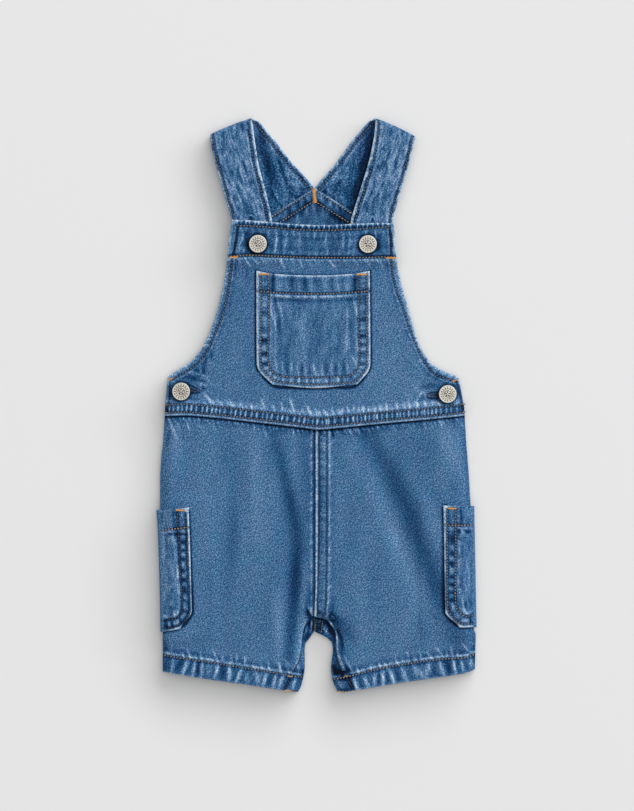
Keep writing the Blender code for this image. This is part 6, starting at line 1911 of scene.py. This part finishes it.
def build_cargo(wrap):
    """A side pocket: over the front, round the side and under the back."""
    front = np.linspace(1.0, 0.0, int(20.0 / FINE) + 1)
    bend = np.radians(np.linspace(75.0, -75.0, 10))
    back = np.linspace(0.0, 1.0, int(36.0 / FINE / 1.5))
    while (len(front) + len(bend) + len(back) - 1) % 3:
        back = np.linspace(0.0, 1.0, len(back) + 1)
    length = wrap.top_side - wrap.foot_side
    shift, share = stations(EDGE_STEPS, EDGE_STEPS, length, FINE)
    share = (shift / length + share)[:, None]
    side_x = left_side if wrap.side < 0 else right_side
    y_side = between(wrap.top_side, wrap.foot_side, share)
    y_front = between(wrap.top_front, wrap.foot_front, share)
    into_corner = step(wrap.foot_front + wrap.corner_rise, wrap.foot_front, y_front)
    reach = between(wrap.reach, wrap.corner_reach, into_corner)
    y = between(y_side, y_front, front[None, :])
    in_from_side = between(1.5, reach, front[None, :])
    x = side_x(y) - wrap.side * in_from_side
    z = front_under(x, y) + CLOTH + GAP
    band = POCKET_TURNED * turned(SIDE_POCKET_BAND, share * length) * np.minimum(1.0, 3.0 * front)
    detail = cargo_detail(x, y, wrap)
    from_edge = np.minimum(reach - in_from_side, np.minimum(share, 1.0 - share) * length)
    top = z + CLOTH + band + detail.height * np.minimum(1.0, 3.0 * front) + round_edge(from_edge)
    front_inner, front_outer = np.stack([x, y, z], -1), np.stack([x, y, top], -1)
    radius = top[:, -1:] / 2
    middle = edge_x(wrap.out, y_side) - wrap.side * radius
    y_bend = np.broadcast_to(y_side, (len(share), len(bend)))

    def turn(r):
        x = middle + wrap.side * r * np.cos(bend)
        return np.stack([x, y_bend, radius + r * np.sin(bend)], -1)

    back_corner = step(wrap.foot_side + wrap.corner_rise, wrap.foot_side, y_side)
    back_reach = WRAP_BACK - (wrap.reach - wrap.corner_reach) * back_corner
    in_back = between(1.5, back_reach, back[None, :])
    x_back = side_x(y_side) - wrap.side * in_back
    y_back = np.broadcast_to(y_side, x_back.shape)
    under = Detail(x_back, y_back)
    under.mottle(7.0, 24.0, 0.05, 361)
    for inset_by in (2.6, 9.0):
        under.tone -= 0.12 * bell(back_reach - in_back - inset_by, 0.8)
        under.height += 0.25 * bell(back_reach - in_back - inset_by, 0.7)
    under.tone += worn_edge(back_reach - in_back, y_back, 0.35, 1.0, 373)
    low = under.height - round_edge(back_reach - in_back, 0.8, 0.4)
    outer = np.concatenate([front_outer, turn(radius), np.stack([x_back, y_back, low], -1)], 1)
    back_inner = np.stack([x_back, y_back, np.full_like(x_back, CLOTH)], -1)
    inner = np.concatenate([front_inner, turn(radius - CLOTH), back_inner], 1)
    middle_run = run_of(outer[len(share) // 2])
    u = np.broadcast_to(-wrap.side * (wrap.reach - middle_run) + side_x(-120.0), outer.shape[:2])
    weave = np.stack([u, outer[..., 1], np.zeros_like(u)], -1)
    tone = np.concatenate([detail.tone, np.full(y_bend.shape, 0.02), under.tone], 1)
    tones, weaves = (tone, tone * 0.0), (weave, weave + 9.0)
    return shell(wrap.name + "_cloth", outer, inner, tones, weaves, DENIM)


def build_bodice():
    """The back above the waist. Its lower face is the outside."""
    def left(at):
        return left_side(at) + BACK_INSET * step(10.0, 24.0, at) + 1.6 * step(100.0, 130.0, at)

    def right(at):
        return right_side(at) - BACK_INSET * step(10.0, 24.0, at)

    start, end = left(neck(NECK_ENDS[0])), right(neck(NECK_ENDS[1]))
    low_start, low_end = left_side(WAIST_SIDE_Y), right_side(WAIST_SIDE_Y)
    shift, share = stations([0.0, 0.8], [0.0, 0.8], 234.0, PLAIN)
    at_peak = np.argmin(np.abs(start + shift + share * (end - start) - PEAK[0]))
    share = share.copy()
    share[at_peak] = (PEAK[0] - start - shift[at_peak]) / (end - start)
    near_neck = [*EDGE_STEPS, *np.arange(2.0, 46.0, 1.0)]
    near_waist = [0.0, *np.arange(1.5, 27.0, 1.5)]
    x, y = panel_grid(
        left,
        right,
        lambda width: neck(between(start, end, width)),
        lambda width: waist(between(low_start, low_end, width)),
        (shift, share),
        stations(near_neck, near_waist, 103.0, 2 * PLAIN),
    )
    under = back_under(x, y)
    detail = bodice_detail(x, y)
    shown = step(100.0, 112.0, y)
    detail.height *= shown
    from_edge = (neck(x) - y) / PEAK_RUN
    top = under + CLOTH + detail.height + round_edge(from_edge)
    below = Detail(x, y)
    below.crease(BACK_CREASES)
    below.mottle(10.0, 26.0, 0.05, 461)
    below.mottle(2.6, 9.0, 0.045, 462)
    for row in WAIST_ROWS:
        below.row(row, dark=0.15)
    below.ribs(WAIST_ROWS[0], Rib(3.35, 0.27, 0.22, 0.7, 6.0, -0.2, 0.26, 471, 0.25), side=1.0)
    for side, row in ARMHOLES:
        below.row(smooth_path(row), dark=0.15)
        below.ribs(smooth_path(row), Rib(5.2, 0.30, 0.3, 0.5, 5.0, -0.2, 0.2, 475, 0.25), side=side)
    low = under + np.clip(-below.height, 0.0, FURROW_UP) * (1.0 - shown)
    outer, inner = np.stack([x, y, top], -1), np.stack([x, y, low], -1)
    weave = flat_weave(x, y)
    tones, weaves = (detail.tone, below.tone + 0.1), (weave, weave + 13.0)
    return shell("back_bodice_cloth", outer, inner, tones, weaves, SHADE_PAINTED_DENIM, skip=1)


# ---- straps ------------------------------------------------------------------------------
class StrapLine:
    """A strap's course, from its end behind the bib to its end under the back's band. Along
    it each station has its two edge points and the angle by which the strap has turned."""

    def __init__(self, strap):
        self.strap = strap
        self.middle = (STRAP_UNDER + STRAP) / 2
        along = np.subtract(strap.turn_inner, strap.turn_outer)
        self.out = strap.side * np.array([along[1], -along[0]]) / np.hypot(*along)
        turn_outer = strap.turn_outer - self.middle * self.out
        turn_inner = strap.turn_inner - self.middle * self.out
        end_outer = neck(strap.back_outer[-1].x) - STRAP_IN_BAND
        end_inner = neck(strap.back_inner[-1].x) - STRAP_IN_BAND
        level = (turn_outer[1], turn_inner[1])
        edges = (strap.front_outer, strap.front_inner)
        front = self.run(edges, (STRAP_END_Y, STRAP_END_Y), level, 100.0)
        edges = (strap.back_outer, strap.back_inner)
        back = self.run(edges, level, (end_outer, end_inner), 80.0)
        bend = np.linspace(90.0, -90.0, 13)[1:-1]
        outer = np.concatenate([front[0], np.tile(turn_outer, (len(bend), 1)), back[0]])
        inner = np.concatenate([front[1], np.tile(turn_inner, (len(bend), 1)), back[1]])
        angle = np.concatenate([np.full(len(front[0]), 90.0), bend, np.full(len(back[0]), -90.0)])
        centre = (outer + inner) / 2
        turning = self.middle * np.radians(np.abs(np.diff(angle)))
        run = np.hypot(*np.diff(centre, axis=0).T) + turning
        self.v = np.concatenate([[0.0], np.cumsum(run)])
        self.front_length = self.v[len(front[0]) - 1]
        self.back_start = self.v[len(front[0]) + len(bend)]
        rising = np.linspace(0, 1, len(front[0])) ** 8
        falling = np.linspace(1, 0, len(back[0])) ** 8
        near_turn = np.concatenate([rising, np.ones(len(bend)), falling])
        self.table = np.column_stack([outer, inner, np.radians(angle), near_turn])

    @staticmethod
    def run(edges, starts, ends, length):
        """Points along the outer and the inner edge, from their starts to their ends in y."""
        share = np.linspace(0.0, 1.0, int(length / FINE))
        levels = [between(start, end, share) for start, end in zip(starts, ends)]
        return [np.column_stack([edge_x(edge, y), y]) for edge, y in zip(edges, levels)]

    def at(self, a, v, radius):
        """The point at a share a of the width and v along, at a radius from the turn's axis."""
        row = [np.interp(v, self.v, self.table[:, k]) for k in range(6)]
        bow = 4.0 * TURN_BOW * a * (1.0 - a) * row[5]
        level = radius * np.cos(row[4])
        x = between(row[0], row[2], a) + (bow + level) * self.out[0]
        y = between(row[1], row[3], a) + (bow + level) * self.out[1]
        return np.stack([x, y, self.middle + radius * np.sin(row[4])], -1)

    def width(self, v):
        row = [np.interp(v, self.v, self.table[:, k]) for k in range(4)]
        return np.hypot(row[2] - row[0], row[3] - row[1])


DEEPEST = -0.46  # the darkest tone of what lies in shade
STRAP_ROWS_IN = (2.5, 3.4)  # its rows of stitches lie this far in from its outer and inner edge
ON_FLOOR = 10.0  # the strap is kept off the floor from this far before its turn ends


def strap_detail(line, a, v, face, seed):
    """a is the share of the width, from the outer to the inner edge. face is 1 for the strap's
    outer face and -1 for its lining side."""
    width = line.width(v)
    u = a * width
    made = Detail(u, v)
    made.mottle(2.0, 9.0, 0.08 if face > 0 else 0.1, seed, turn=0.1)
    made.mottle(1.2, 4.0, 0.2 if face > 0 else 0.1, seed + 1, turn=0.1)
    made.mottle(5.0, 22.0, 0.05, seed + 2, turn=0.12)
    # The lining side is darker: painted shade, as it shows under the front runs.
    made.tone += 0.03 if face > 0 else -0.08
    worn_inner = 0.46 if face > 0 else 0.3
    for from_edge, worn, row_in in zip((u, width - u), (0.3, worn_inner), STRAP_ROWS_IN):
        made.tone += worn_edge(from_edge - 0.3, v, worn, 1.2, seed + 3)
        made.height += round_edge(from_edge, 1.0, 0.6)
        # Each row's furrow, darkened with painted shade.
        made.add(bell(from_edge - row_in, 1.0), -0.3, -0.5 if face > 0 else -0.36)
        uneven = 1.0 + 0.7 * noise1(v / 3.0, seed + 4)
        made.add(bell(from_edge - row_in - 1.9, 0.9) * uneven, 0.12, 0.12)
        rope = ribs(v, from_edge, Rib(3.0, 0.3, 0.3, 0.2, 3.2, 0.3, 0.1, seed + 5, 0.25))
        rope = rope * (from_edge < row_in - 0.4)
        made.add(rope - 0.45 * (from_edge < row_in - 0.7), 0.15, 0.10 if face > 0 else 0.03)
    made.height += 0.12 * noise2(u / 2.6, v / 15.0, seed)
    return made


def build_strap(strap, line, seed):
    """A strap, from behind the bib over its turn and under the back's band."""
    near = np.array([0.0, 0.012, 0.026, 0.045])
    a = np.concatenate([near, np.linspace(0.065, 0.935, int(31.0 / FINE)), 1.0 - near[::-1]])
    on_front = np.linspace(0.0, line.front_length, int(100.0 / FINE))
    v = np.concatenate([on_front, line.v[line.v > line.front_length]])
    a_grid, v_grid = np.meshgrid(a, v)
    faces, tones = [], []
    for face, level in ((1.0, line.middle), (-1.0, line.middle - STRAP)):
        made = strap_detail(line, a_grid, v_grid, face, seed)
        x, y, _ = np.moveaxis(line.at(a_grid, v_grid, level), -1, 0)
        height, tone = creases(STRAP_RAYS[strap.name] if face > 0 else BODICE_RAYS, x, y)
        if face > 0:
            made.height += height * (v_grid < line.front_length)
            made.tone += tone * (v_grid < line.front_length)
            on_floor = v_grid > line.back_start - ON_FLOOR
            made.height = np.where(on_floor, np.minimum(made.height, 0.0), made.height)
            hidden, deepest = lifted(30.0, 3.0, v_grid), 0.0
        else:
            # The lining side takes the back's rays too, with their painted shadows.
            on_back = v_grid > line.back_start
            made.height += 0.5 * height * on_back
            made.tone = np.maximum(made.tone + tone * on_back, DEEPEST)
            hidden, deepest = step(line.v[-1] - 12.0, line.v[-1] - 9.0, v_grid), -TUCKED
        height = between(made.height, np.minimum(made.height, deepest), hidden)
        faces.append(line.at(a_grid, v_grid, level + face * height))
        tones.append(made.tone)
    weave = np.stack([a_grid * 34.0, v_grid, np.zeros_like(a_grid)], -1)
    return shell(strap.name + "_cloth", *faces, tones, (weave, weave + 23.0), DENIM_STRAP, skip=1)


# ---- buttons -----------------------------------------------------------------------------
Button = namedtuple("Button", "name x y slit")
BUTTONS = [
    Button("button_bib_left", -45.6, 125.2, 0.0),
    Button("button_bib_right", 40.0, 125.0, 0.0),
    Button("button_side_left", -105.4, 10.3, 14.5),
    Button("button_side_right", 102.1, 8.3, -14.5),
]
BUTTON_R = 7.25
COLLAR_R = 2.2
Ring = namedtuple("Ring", "radius rise tone")
# The cap's rings, from the foot of its rim over the rim to its middle: radius, rise and tone. The
# low tones on the rim's outer wall are painted shade; those in the grooves are patina.
HEAD = table(Ring,
    (6.2, 0.3, 0.1), (6.9, 0.45, 0.1), (7.2, 0.8, 0.12), (7.25, 1.15, 0.12), (7.12, 1.55, 0.12),
    (6.9, 1.85, 0.2), (6.7, 2.1, 0.9), (6.35, 2.2, 0.95), (6.15, 2.1, 0.75), (5.9, 2.1, 0.85),
    (5.0, 2.18, 0.9), (4.2, 2.2, 0.85), (4.0, 2.12, 0.3), (3.75, 2.14, 0.25), (3.6, 2.3, 0.85),
    (3.3, 2.38, 0.95), (3.05, 2.3, 0.8), (2.85, 2.15, 0.3), (2.6, 2.16, 0.45), (2.0, 2.25, 0.85),
    (1.0, 2.35, 0.9),
)
BUTTON_SIDES = 48
Mark = namedtuple("Mark", "count radius start length width height tone")
MARKS = [
    Mark(16, 5.0, 0.0, 1.55, 0.62, 0.26, 0.15), Mark(5, 1.25, math.pi / 2, 2.1, 0.95, 0.3, 0.0),
]


def button_seat(button):
    angles = np.linspace(0.0, 2 * np.pi, 20, endpoint=False)
    x_round, y_round = BUTTON_R * np.cos(angles), BUTTON_R * np.sin(angles)
    cloth_round = bib_over(button.x + x_round, button.y + y_round)
    slope = (cloth_round * x_round).sum() / (x_round * x_round).sum()
    return (cloth_round - slope * x_round).max(), slope


def lathe(rings, sides=BUTTON_SIDES):
    """Vertices, polygons and tones of a turned solid, closed at both ends on its axis."""
    turn = np.linspace(0.0, 2 * np.pi, sides, endpoint=False)
    body = rings[1:-1]
    vertices = [(0.0, 0.0, rings[0].rise)]
    tones = [rings[0].tone]
    for ring in body:
        vertices += [(ring.radius * np.cos(t), ring.radius * np.sin(t), ring.rise) for t in turn]
        tones += [ring.tone] * sides
    vertices.append((0.0, 0.0, rings[-1].rise))
    tones.append(rings[-1].tone)
    k = np.arange(sides)
    after = (k + 1) % sides
    last = 1 + (len(body) - 1) * sides
    ends = [
        np.stack([np.zeros(sides, int), 1 + after, 1 + k], -1),
        np.stack([np.full(sides, last + sides), last + k, last + after], -1),
    ]
    polygons = [1 + rings_of_quads(len(body), sides), np.concatenate(ends)]
    return np.array(vertices), polygons, np.array(tones)


def bar(centre, along, length, width, height, tone):
    """A small raised mark with a rounded top."""
    c, s = along
    outline = [
        (-0.5, -0.3), (-0.3, -0.5), (0.3, -0.5), (0.5, -0.3), (0.5, 0.3), (0.3, 0.5), (-0.3, 0.5),
        (-0.5, 0.3),
    ]
    vertices = []
    for rise, scale in ((0.0, 1.0), (0.6, 0.95), (1.0, 0.6)):
        for px, py in outline:
            u, v = px * length * scale, py * width * scale
            x, y = centre[0] + c * u - s * v, centre[1] + s * u + c * v
            vertices.append((x, y, centre[2] + rise * height))
    k = np.arange(len(outline))
    caps = np.stack([k[::-1], k + 2 * len(outline)])
    return np.array(vertices), rings_of_quads(3, len(outline)), caps, np.full(len(vertices), tone)


def build_button(button):
    """A pressed metal cap: rolled rim, a ring of small raised marks, and a plain star."""
    seat, slope = button_seat(button)
    foot = bib_under(button.x, button.y) - seat
    collar = table(Ring, (0.0, foot, 0.2), (COLLAR_R, foot, 0.2), (COLLAR_R, 0.3, 0.2))
    vertices, (quads, ends), tones = lathe([*collar, *HEAD, Ring(0.0, 2.38, 0.9)])
    vertices, quads, octagons, tones = [vertices], [quads], [], [tones]
    for mark in MARKS:
        for k in range(mark.count):
            angle = 2 * math.pi * k / mark.count + mark.start
            c, s = math.cos(angle), math.sin(angle)
            centre = (mark.radius * c, mark.radius * s, 2.1)
            made = bar(centre, (c, s), mark.length, mark.width, mark.height, mark.tone)
            total = sum(map(len, vertices))
            for parts, more in zip((vertices, quads, octagons, tones), made):
                parts.append(more + total if parts is quads or parts is octagons else more)
    vertices, tones = np.concatenate(vertices), np.concatenate(tones)
    placed = vertices + (button.x, button.y, seat)
    placed[:, 2] += slope * vertices[:, 0]
    polygons = [np.concatenate(quads), ends, np.concatenate(octagons)]
    fields = {"tone": tones, "weave": vertices}
    return new_mesh(button.name + "_cap", placed, polygons, SILVER, fields)


# ==== sewing of each piece ================================================================
UNDER_STITCHES = 0.68  # the level of the stitches on the outside of the back


def over_with(over, detail, *which):
    """The height of a piece's upper side, with what sewing does to it."""
    return lambda x, y: over(x, y, *which) + detail(x, y, *which).height


def cargo_level(x, y, wrap):
    return cargo_over(x, y) + POCKET_TURNED * turned(SIDE_POCKET_BAND, wrap.top_front - y)


def back_level(x, y):
    return back_under(x, y) + CLOTH


def under_level(x, _):
    return np.full_like(x, UNDER_STITCHES)


def sew():
    """Every piece's stitches, one mesh for each piece."""
    made = []

    def sewing(name, over, side=1.0):
        made.append(Sewing("sewing_" + name, over, side))
        return made[-1]

    bib = sewing("bib", over_with(bib_over, bib_detail))
    bib.row(BIB_TOP_ROW, tint=0.46)
    bib.row(BIB_BAND_ROW, tint=0.54)
    # The left upright's thread is near black: painted shadow.
    bib.row(UPRIGHT_LEFT, tint=PAINTED_SHADE, width=0.65)
    bib.row(UPRIGHT_RIGHT, tint=SHADED)
    bib.row(ARMHOLE_LEFT, tint=0.42, width=0.7)
    bib.row(ARMHOLE_RIGHT, tint=0.42, width=0.7)
    bib.row(WAIST_ROWS[0], tint=0.42, pitch=2.3)
    bib.row(WAIST_ROWS[1], tint=0.42, pitch=2.3)
    bib.row(PLACKET_LEFT, tint=SHADED)
    bib.row(PLACKET_RIGHT, tint=SHADED)
    bib.tack([(-67.6, 114.6), (-61.0, 115.2)], across=1.5)
    bib.tack([(54.2, 114.3), (62.0, 114.3)], across=1.5)
    bib.tack([(-115.6, 19.3), (-111.5, 20.9)], across=1.2)
    bib.tack([(106.4, 18.2), (109.8, 19.6)], across=1.5)
    for x, y in ((-116.1, -0.2), (-117.2, -6.4), (113.9, 0.6), (115.4, -5.3)):
        bib.tack([(x - 0.8, y), (x + 0.8, y)], across=0.8, tint=0.6)

    for lip in BUTTONHOLE_LIPS:
        bib.tack(lip, across=0.9, tint=0.3, pitch=0.7, width=0.55)

    pocket = sewing("bib_pocket", over_with(pocket_over, pocket_detail))
    pocket.row(POCKET_OUTER, tint=0.5, width=0.8)
    pocket.row(POCKET_INNER, tint=0.46, width=0.8)
    pocket.row(POCKET_HEM, tint=0.5)
    pocket.tack([(-44.4, 101.6), (-37.0, 101.9)], across=1.5)
    pocket.tack([(31.6, 101.5), (39.4, 101.4)], across=1.5)

    for side, name in ((-1, "short_front_left"), (1, "short_front_right")):
        leg = sewing(name, over_with(short_front_over_all, leg_detail, side))
        leg.row(HEM_ROWS[side], tint=0.4 if side < 0 else 0.46, width=1.0)
        inseam, inseam_hem = INSEAMS[side]
        leg.row(inseam[3:], tint=0.34)
        leg.row(inseam_hem, tint=SHADED)
        if side > 0:
            leg.row(CENTRE_NEAR, tint=0.16, width=0.65)
            leg.row(CENTRE_FAR, tint=0.3, width=0.65)
            leg.tack([(17.2, -223.8), (20.2, -224.2)], across=1.2, tint=0.85)
            leg.row([(20.6, -223.8), (28.4, -222.6)], tint=SHADED)
            leg.tack([(21.8, -211.7), (25.2, -211.0)], across=1.0, tint=0.66)
        else:
            leg.tack([(-24.4, -222.6), (-19.8, -222.9)], across=1.2, tint=0.85)
            leg.row([(-19.4, -222.8), (-15.4, -223.4)], tint=SHADED)
            leg.tack([(-22.4, -211.5), (-18.9, -212.1)], across=1.0, tint=0.66)

    for wrap in WRAPS:
        cargo = sewing(wrap.name, over_with(cargo_level, cargo_detail, wrap))
        outer, inner, hem = CARGO_ROWS[wrap.side]
        start, end = map(np.array, hem)
        if wrap.side < 0:
            outer_tint, inner_tint, shares = 0.28, 0.28, (0.12, 1.0)
            bartack = [(-109.2, -81.9), (-102.6, -82.3)]
        else:
            outer_tint, inner_tint, shares = 0.44, 0.5, (0.0, 0.9)
            bartack = [(102.4, -80.6), (108.6, -80.9)]
        cargo.row(outer, tint=outer_tint, width=0.75)
        cargo.row(inner, tint=inner_tint, width=0.75)
        cargo.row([between(start, end, share) for share in shares], tint=0.62)
        cargo.tack(bartack, across=1.5)

    back = sewing("back_bodice", over_with(back_level, bodice_detail))
    for at in NECK_ROWS:
        back.row(neck_line(at * PEAK_RUN, -56.0, PEAK[0])[[0, 1, 2]], tint=0.5)
        back.row(neck_line(at * PEAK_RUN, PEAK[0], 54.0)[[2, 3, 4]], tint=0.5)
    back.tack([(-1.9, 168.8), (-1.6, 163.0), (-0.9, 157.4)], across=3.0, tint=0.9, width=0.7)

    crotch = sewing("crotch", back_level)
    crotch.row(CROTCH_NEAR, tint=0.4, pitch=2.0)
    crotch.row(CROTCH_FAR, tint=0.4, pitch=2.0)

    # The outside of the back, which lies on the floor: its stitches lie in their furrows.
    under = sewing("back", under_level, side=-1.0)
    for row in WAIST_ROWS:
        under.row(row, tint=0.42)
    under.row(ARMHOLE_LEFT[1:], tint=0.42)
    under.row(ARMHOLE_RIGHT[1:], tint=0.42)
    under_legs = sewing("back_legs", under_level, side=-1.0)
    under_legs.row(HEM_LEFT)
    under_legs.row(HEM_RIGHT)
    for at, top in zip(BACK_SEAM_ROWS, (-21.0, -20.0)):
        under_legs.row([(at, top), (at, -156.0)], tint=0.34)
    return [thread.make() for thread in made]


def sew_strap(strap, line):
    """Two rows along a strap, on both of its faces."""
    thread = Sewing("sewing_" + strap.name, None)
    end = line.v[-1] - 10.0
    for face in (1.0, -1.0):
        v = np.arange(24.0, end, PITCH)
        if face < 0:
            v = v[v > line.back_start - 2.0]
        for edge in (0, 1):
            share = STRAP_ROWS_IN[edge] / line.width(v)
            a = share if edge == 0 else 1.0 - share
            lie = np.where((face > 0) & (v > line.back_start - ON_FLOOR), -0.42, -0.24)
            radius = line.middle + lie if face > 0 else line.middle - STRAP - lie
            here, ahead = line.at(a, v, radius), line.at(a, v + 0.5, radius)
            inward = line.at(a, v, radius + face * 0.5) - here
            aside = np.cross(inward, ahead - here)
            aside /= np.linalg.norm(aside, axis=1)[:, None]
            direction = (ahead - here) / 0.5 + 0.3 * aside
            thread.put(here, direction, inward, STITCH * PITCH, 0.7, 0.42)
    return thread.make()


# ==== camera, light and floor =============================================================
FRAME_H = 811  # pixels
PIXEL = 0.78  # millimetres of the floor plan for each pixel of the frame
VIEW_CENTRE = (0.39, -0.58)
LENS, SENSOR = 100.0, 36.0
GARMENT_LEVEL = 4.0  # the height at which the scale holds


def make_camera():
    data = bpy.data.cameras.new("camera")
    data.lens, data.sensor_width = LENS, SENSOR
    camera = bpy.data.objects.new("camera", data)
    bpy.context.scene.collection.objects.link(camera)
    distance = FRAME_H * PIXEL * LENS / SENSOR
    camera.location = (VIEW_CENTRE[0] * MM, VIEW_CENTRE[1] * MM, (distance + GARMENT_LEVEL) * MM)
    data.clip_start, data.clip_end = 0.05, 20.0
    bpy.context.scene.camera = camera


def make_sun(name, azimuth, elevation, spread, brightness):
    """A soft distant light. Azimuth is where it comes from, anticlockwise from +X. Brightness
    is what it adds to a white floor."""
    data = bpy.data.lights.new(name, "SUN")
    data.angle = math.radians(spread)
    data.energy = brightness * math.pi / math.sin(math.radians(elevation))
    light = bpy.data.objects.new(name, data)
    bpy.context.scene.collection.objects.link(light)
    light.rotation_euler = (0.0, math.radians(90.0 - elevation), math.radians(azimuth))
    return light


def make_stage():
    """The floor, the sky, and the lights."""
    size = 3000.0
    corners = [(-1, -1, 0), (1, -1, 0), (1, 1, 0), (-1, 1, 0)]
    vertices = np.array(corners) * size
    finish, _, shader = nodes_of("floor_grey")
    shader.inputs["Base Color"].default_value = FLOOR_GREY
    shader.inputs["Roughness"].default_value = 1.0
    shader.inputs["Specular IOR Level"].default_value = 0.0
    floor = new_mesh("floor", vertices, [np.array([[0, 1, 2, 3]])], finish, {})
    floor.location.z = -0.02 * MM
    world = bpy.data.worlds.new("studio")
    bpy.context.scene.world = world
    world.use_nodes = True
    background = world.node_tree.nodes["Background"]
    background.inputs["Color"].default_value = (1.0, 1.0, 1.0, 1.0)
    background.inputs["Strength"].default_value = SKY
    on_floor = linked_to(floor, "INCLUDE")
    for panel in PANELS:
        make_panel(panel).light_linking.receiver_collection = on_floor
    key = make_sun("key_light", KEY_AZIMUTH, KEY_ELEVATION, 24.0, KEY)
    key.light_linking.receiver_collection = linked_to(floor, "EXCLUDE")
    bpy.context.scene.view_settings.view_transform = "Standard"


SKY = 0.48
KEY = 0.52
KEY_AZIMUTH, KEY_ELEVATION = 48.0, 40.0
FLOOR_GREY = (0.79, 0.79, 0.79, 1.0)

# The garment lies flat and its shadow is long and soft, so the floor has lights of its own:
# wide upright panels, one above the other. Seen from the garment, a panel spans directions
# whose run over rise goes from near to far, and spread degrees to each side.
Panel = namedtuple("Panel", "name near far spread share turn", defaults=[0.0])
PANELS = [
    Panel("floor_light_high", 0.6, 2.8, 55.0, 0.1),
    Panel("floor_light_middle", 2.8, 5.8, 48.0, 0.42),
    Panel("floor_light_low", 5.8, 9.5, 40.0, 0.3),
    Panel("floor_light_lowest", 9.5, 13.0, 32.0, 0.03),
    Panel("floor_light_back", 0.8, 3.0, 50.0, 0.05, 180.0),
    Panel("floor_light_left", 1.0, 4.0, 45.0, 0.05, 90.0),
    Panel("floor_light_right", 1.0, 4.0, 45.0, 0.05, -90.0),
]
PANEL_AWAY = 20.0  # metres


def linked_to(thing, state):
    made = bpy.data.collections.new(state.lower() + "_" + thing.name)
    made.objects.link(thing)
    made.collection_objects[0].light_linking.link_state = state
    return made


def make_panel(panel):
    top, foot = PANEL_AWAY / panel.near, PANEL_AWAY / panel.far
    width = 2 * PANEL_AWAY * math.tan(math.radians(panel.spread))
    u, v = np.meshgrid(np.linspace(-0.5, 0.5, 60) * width, np.linspace(foot, top, 60))
    squared = PANEL_AWAY**2 + u * u + v * v
    reaching = (PANEL_AWAY * v / squared**2).mean()
    data = bpy.data.lights.new(panel.name, "AREA")
    data.shape = "RECTANGLE"
    data.size, data.size_y = top - foot, width
    data.energy = panel.share * (1.0 - SKY) * math.pi * math.pi / reaching
    light = bpy.data.objects.new(panel.name, data)
    bpy.context.scene.collection.objects.link(light)
    turn = math.radians(KEY_AZIMUTH + panel.turn)
    light.rotation_euler = (0.0, math.radians(90.0), turn)
    light.location = (PANEL_AWAY * math.cos(turn), PANEL_AWAY * math.sin(turn), (top + foot) / 2)
    return light


# ==== the garment =========================================================================
def main():
    legs = {side: build_leg_front(side) for side in (-1, 1)}
    dress(legs[-1], ["short_front_left"])
    dress(legs[1], ["short_front_right"])
    dress(build_leg_back(-1), ["short_back_left"])
    dress(build_leg_back(1), ["short_back_right"])
    dress(build_bib(), ["bib_front"])
    dress(build_bib_pocket(), ["bib_pocket"])
    dress(build_bodice(), ["back_bodice"])
    for wrap in WRAPS:
        dress(build_cargo(wrap), [wrap.name])
    for strap, seed in zip(STRAPS, (601, 651)):
        line = StrapLine(strap)
        cloth = build_strap(strap, line, seed)
        dress(cloth, [strap.name])
        dress(sew_strap(strap, line), [])
    for thread in sew():
        dress(thread, [])
    for button in BUTTONS:
        dress(build_button(button), [button.name])


main()
make_camera()
make_stage()
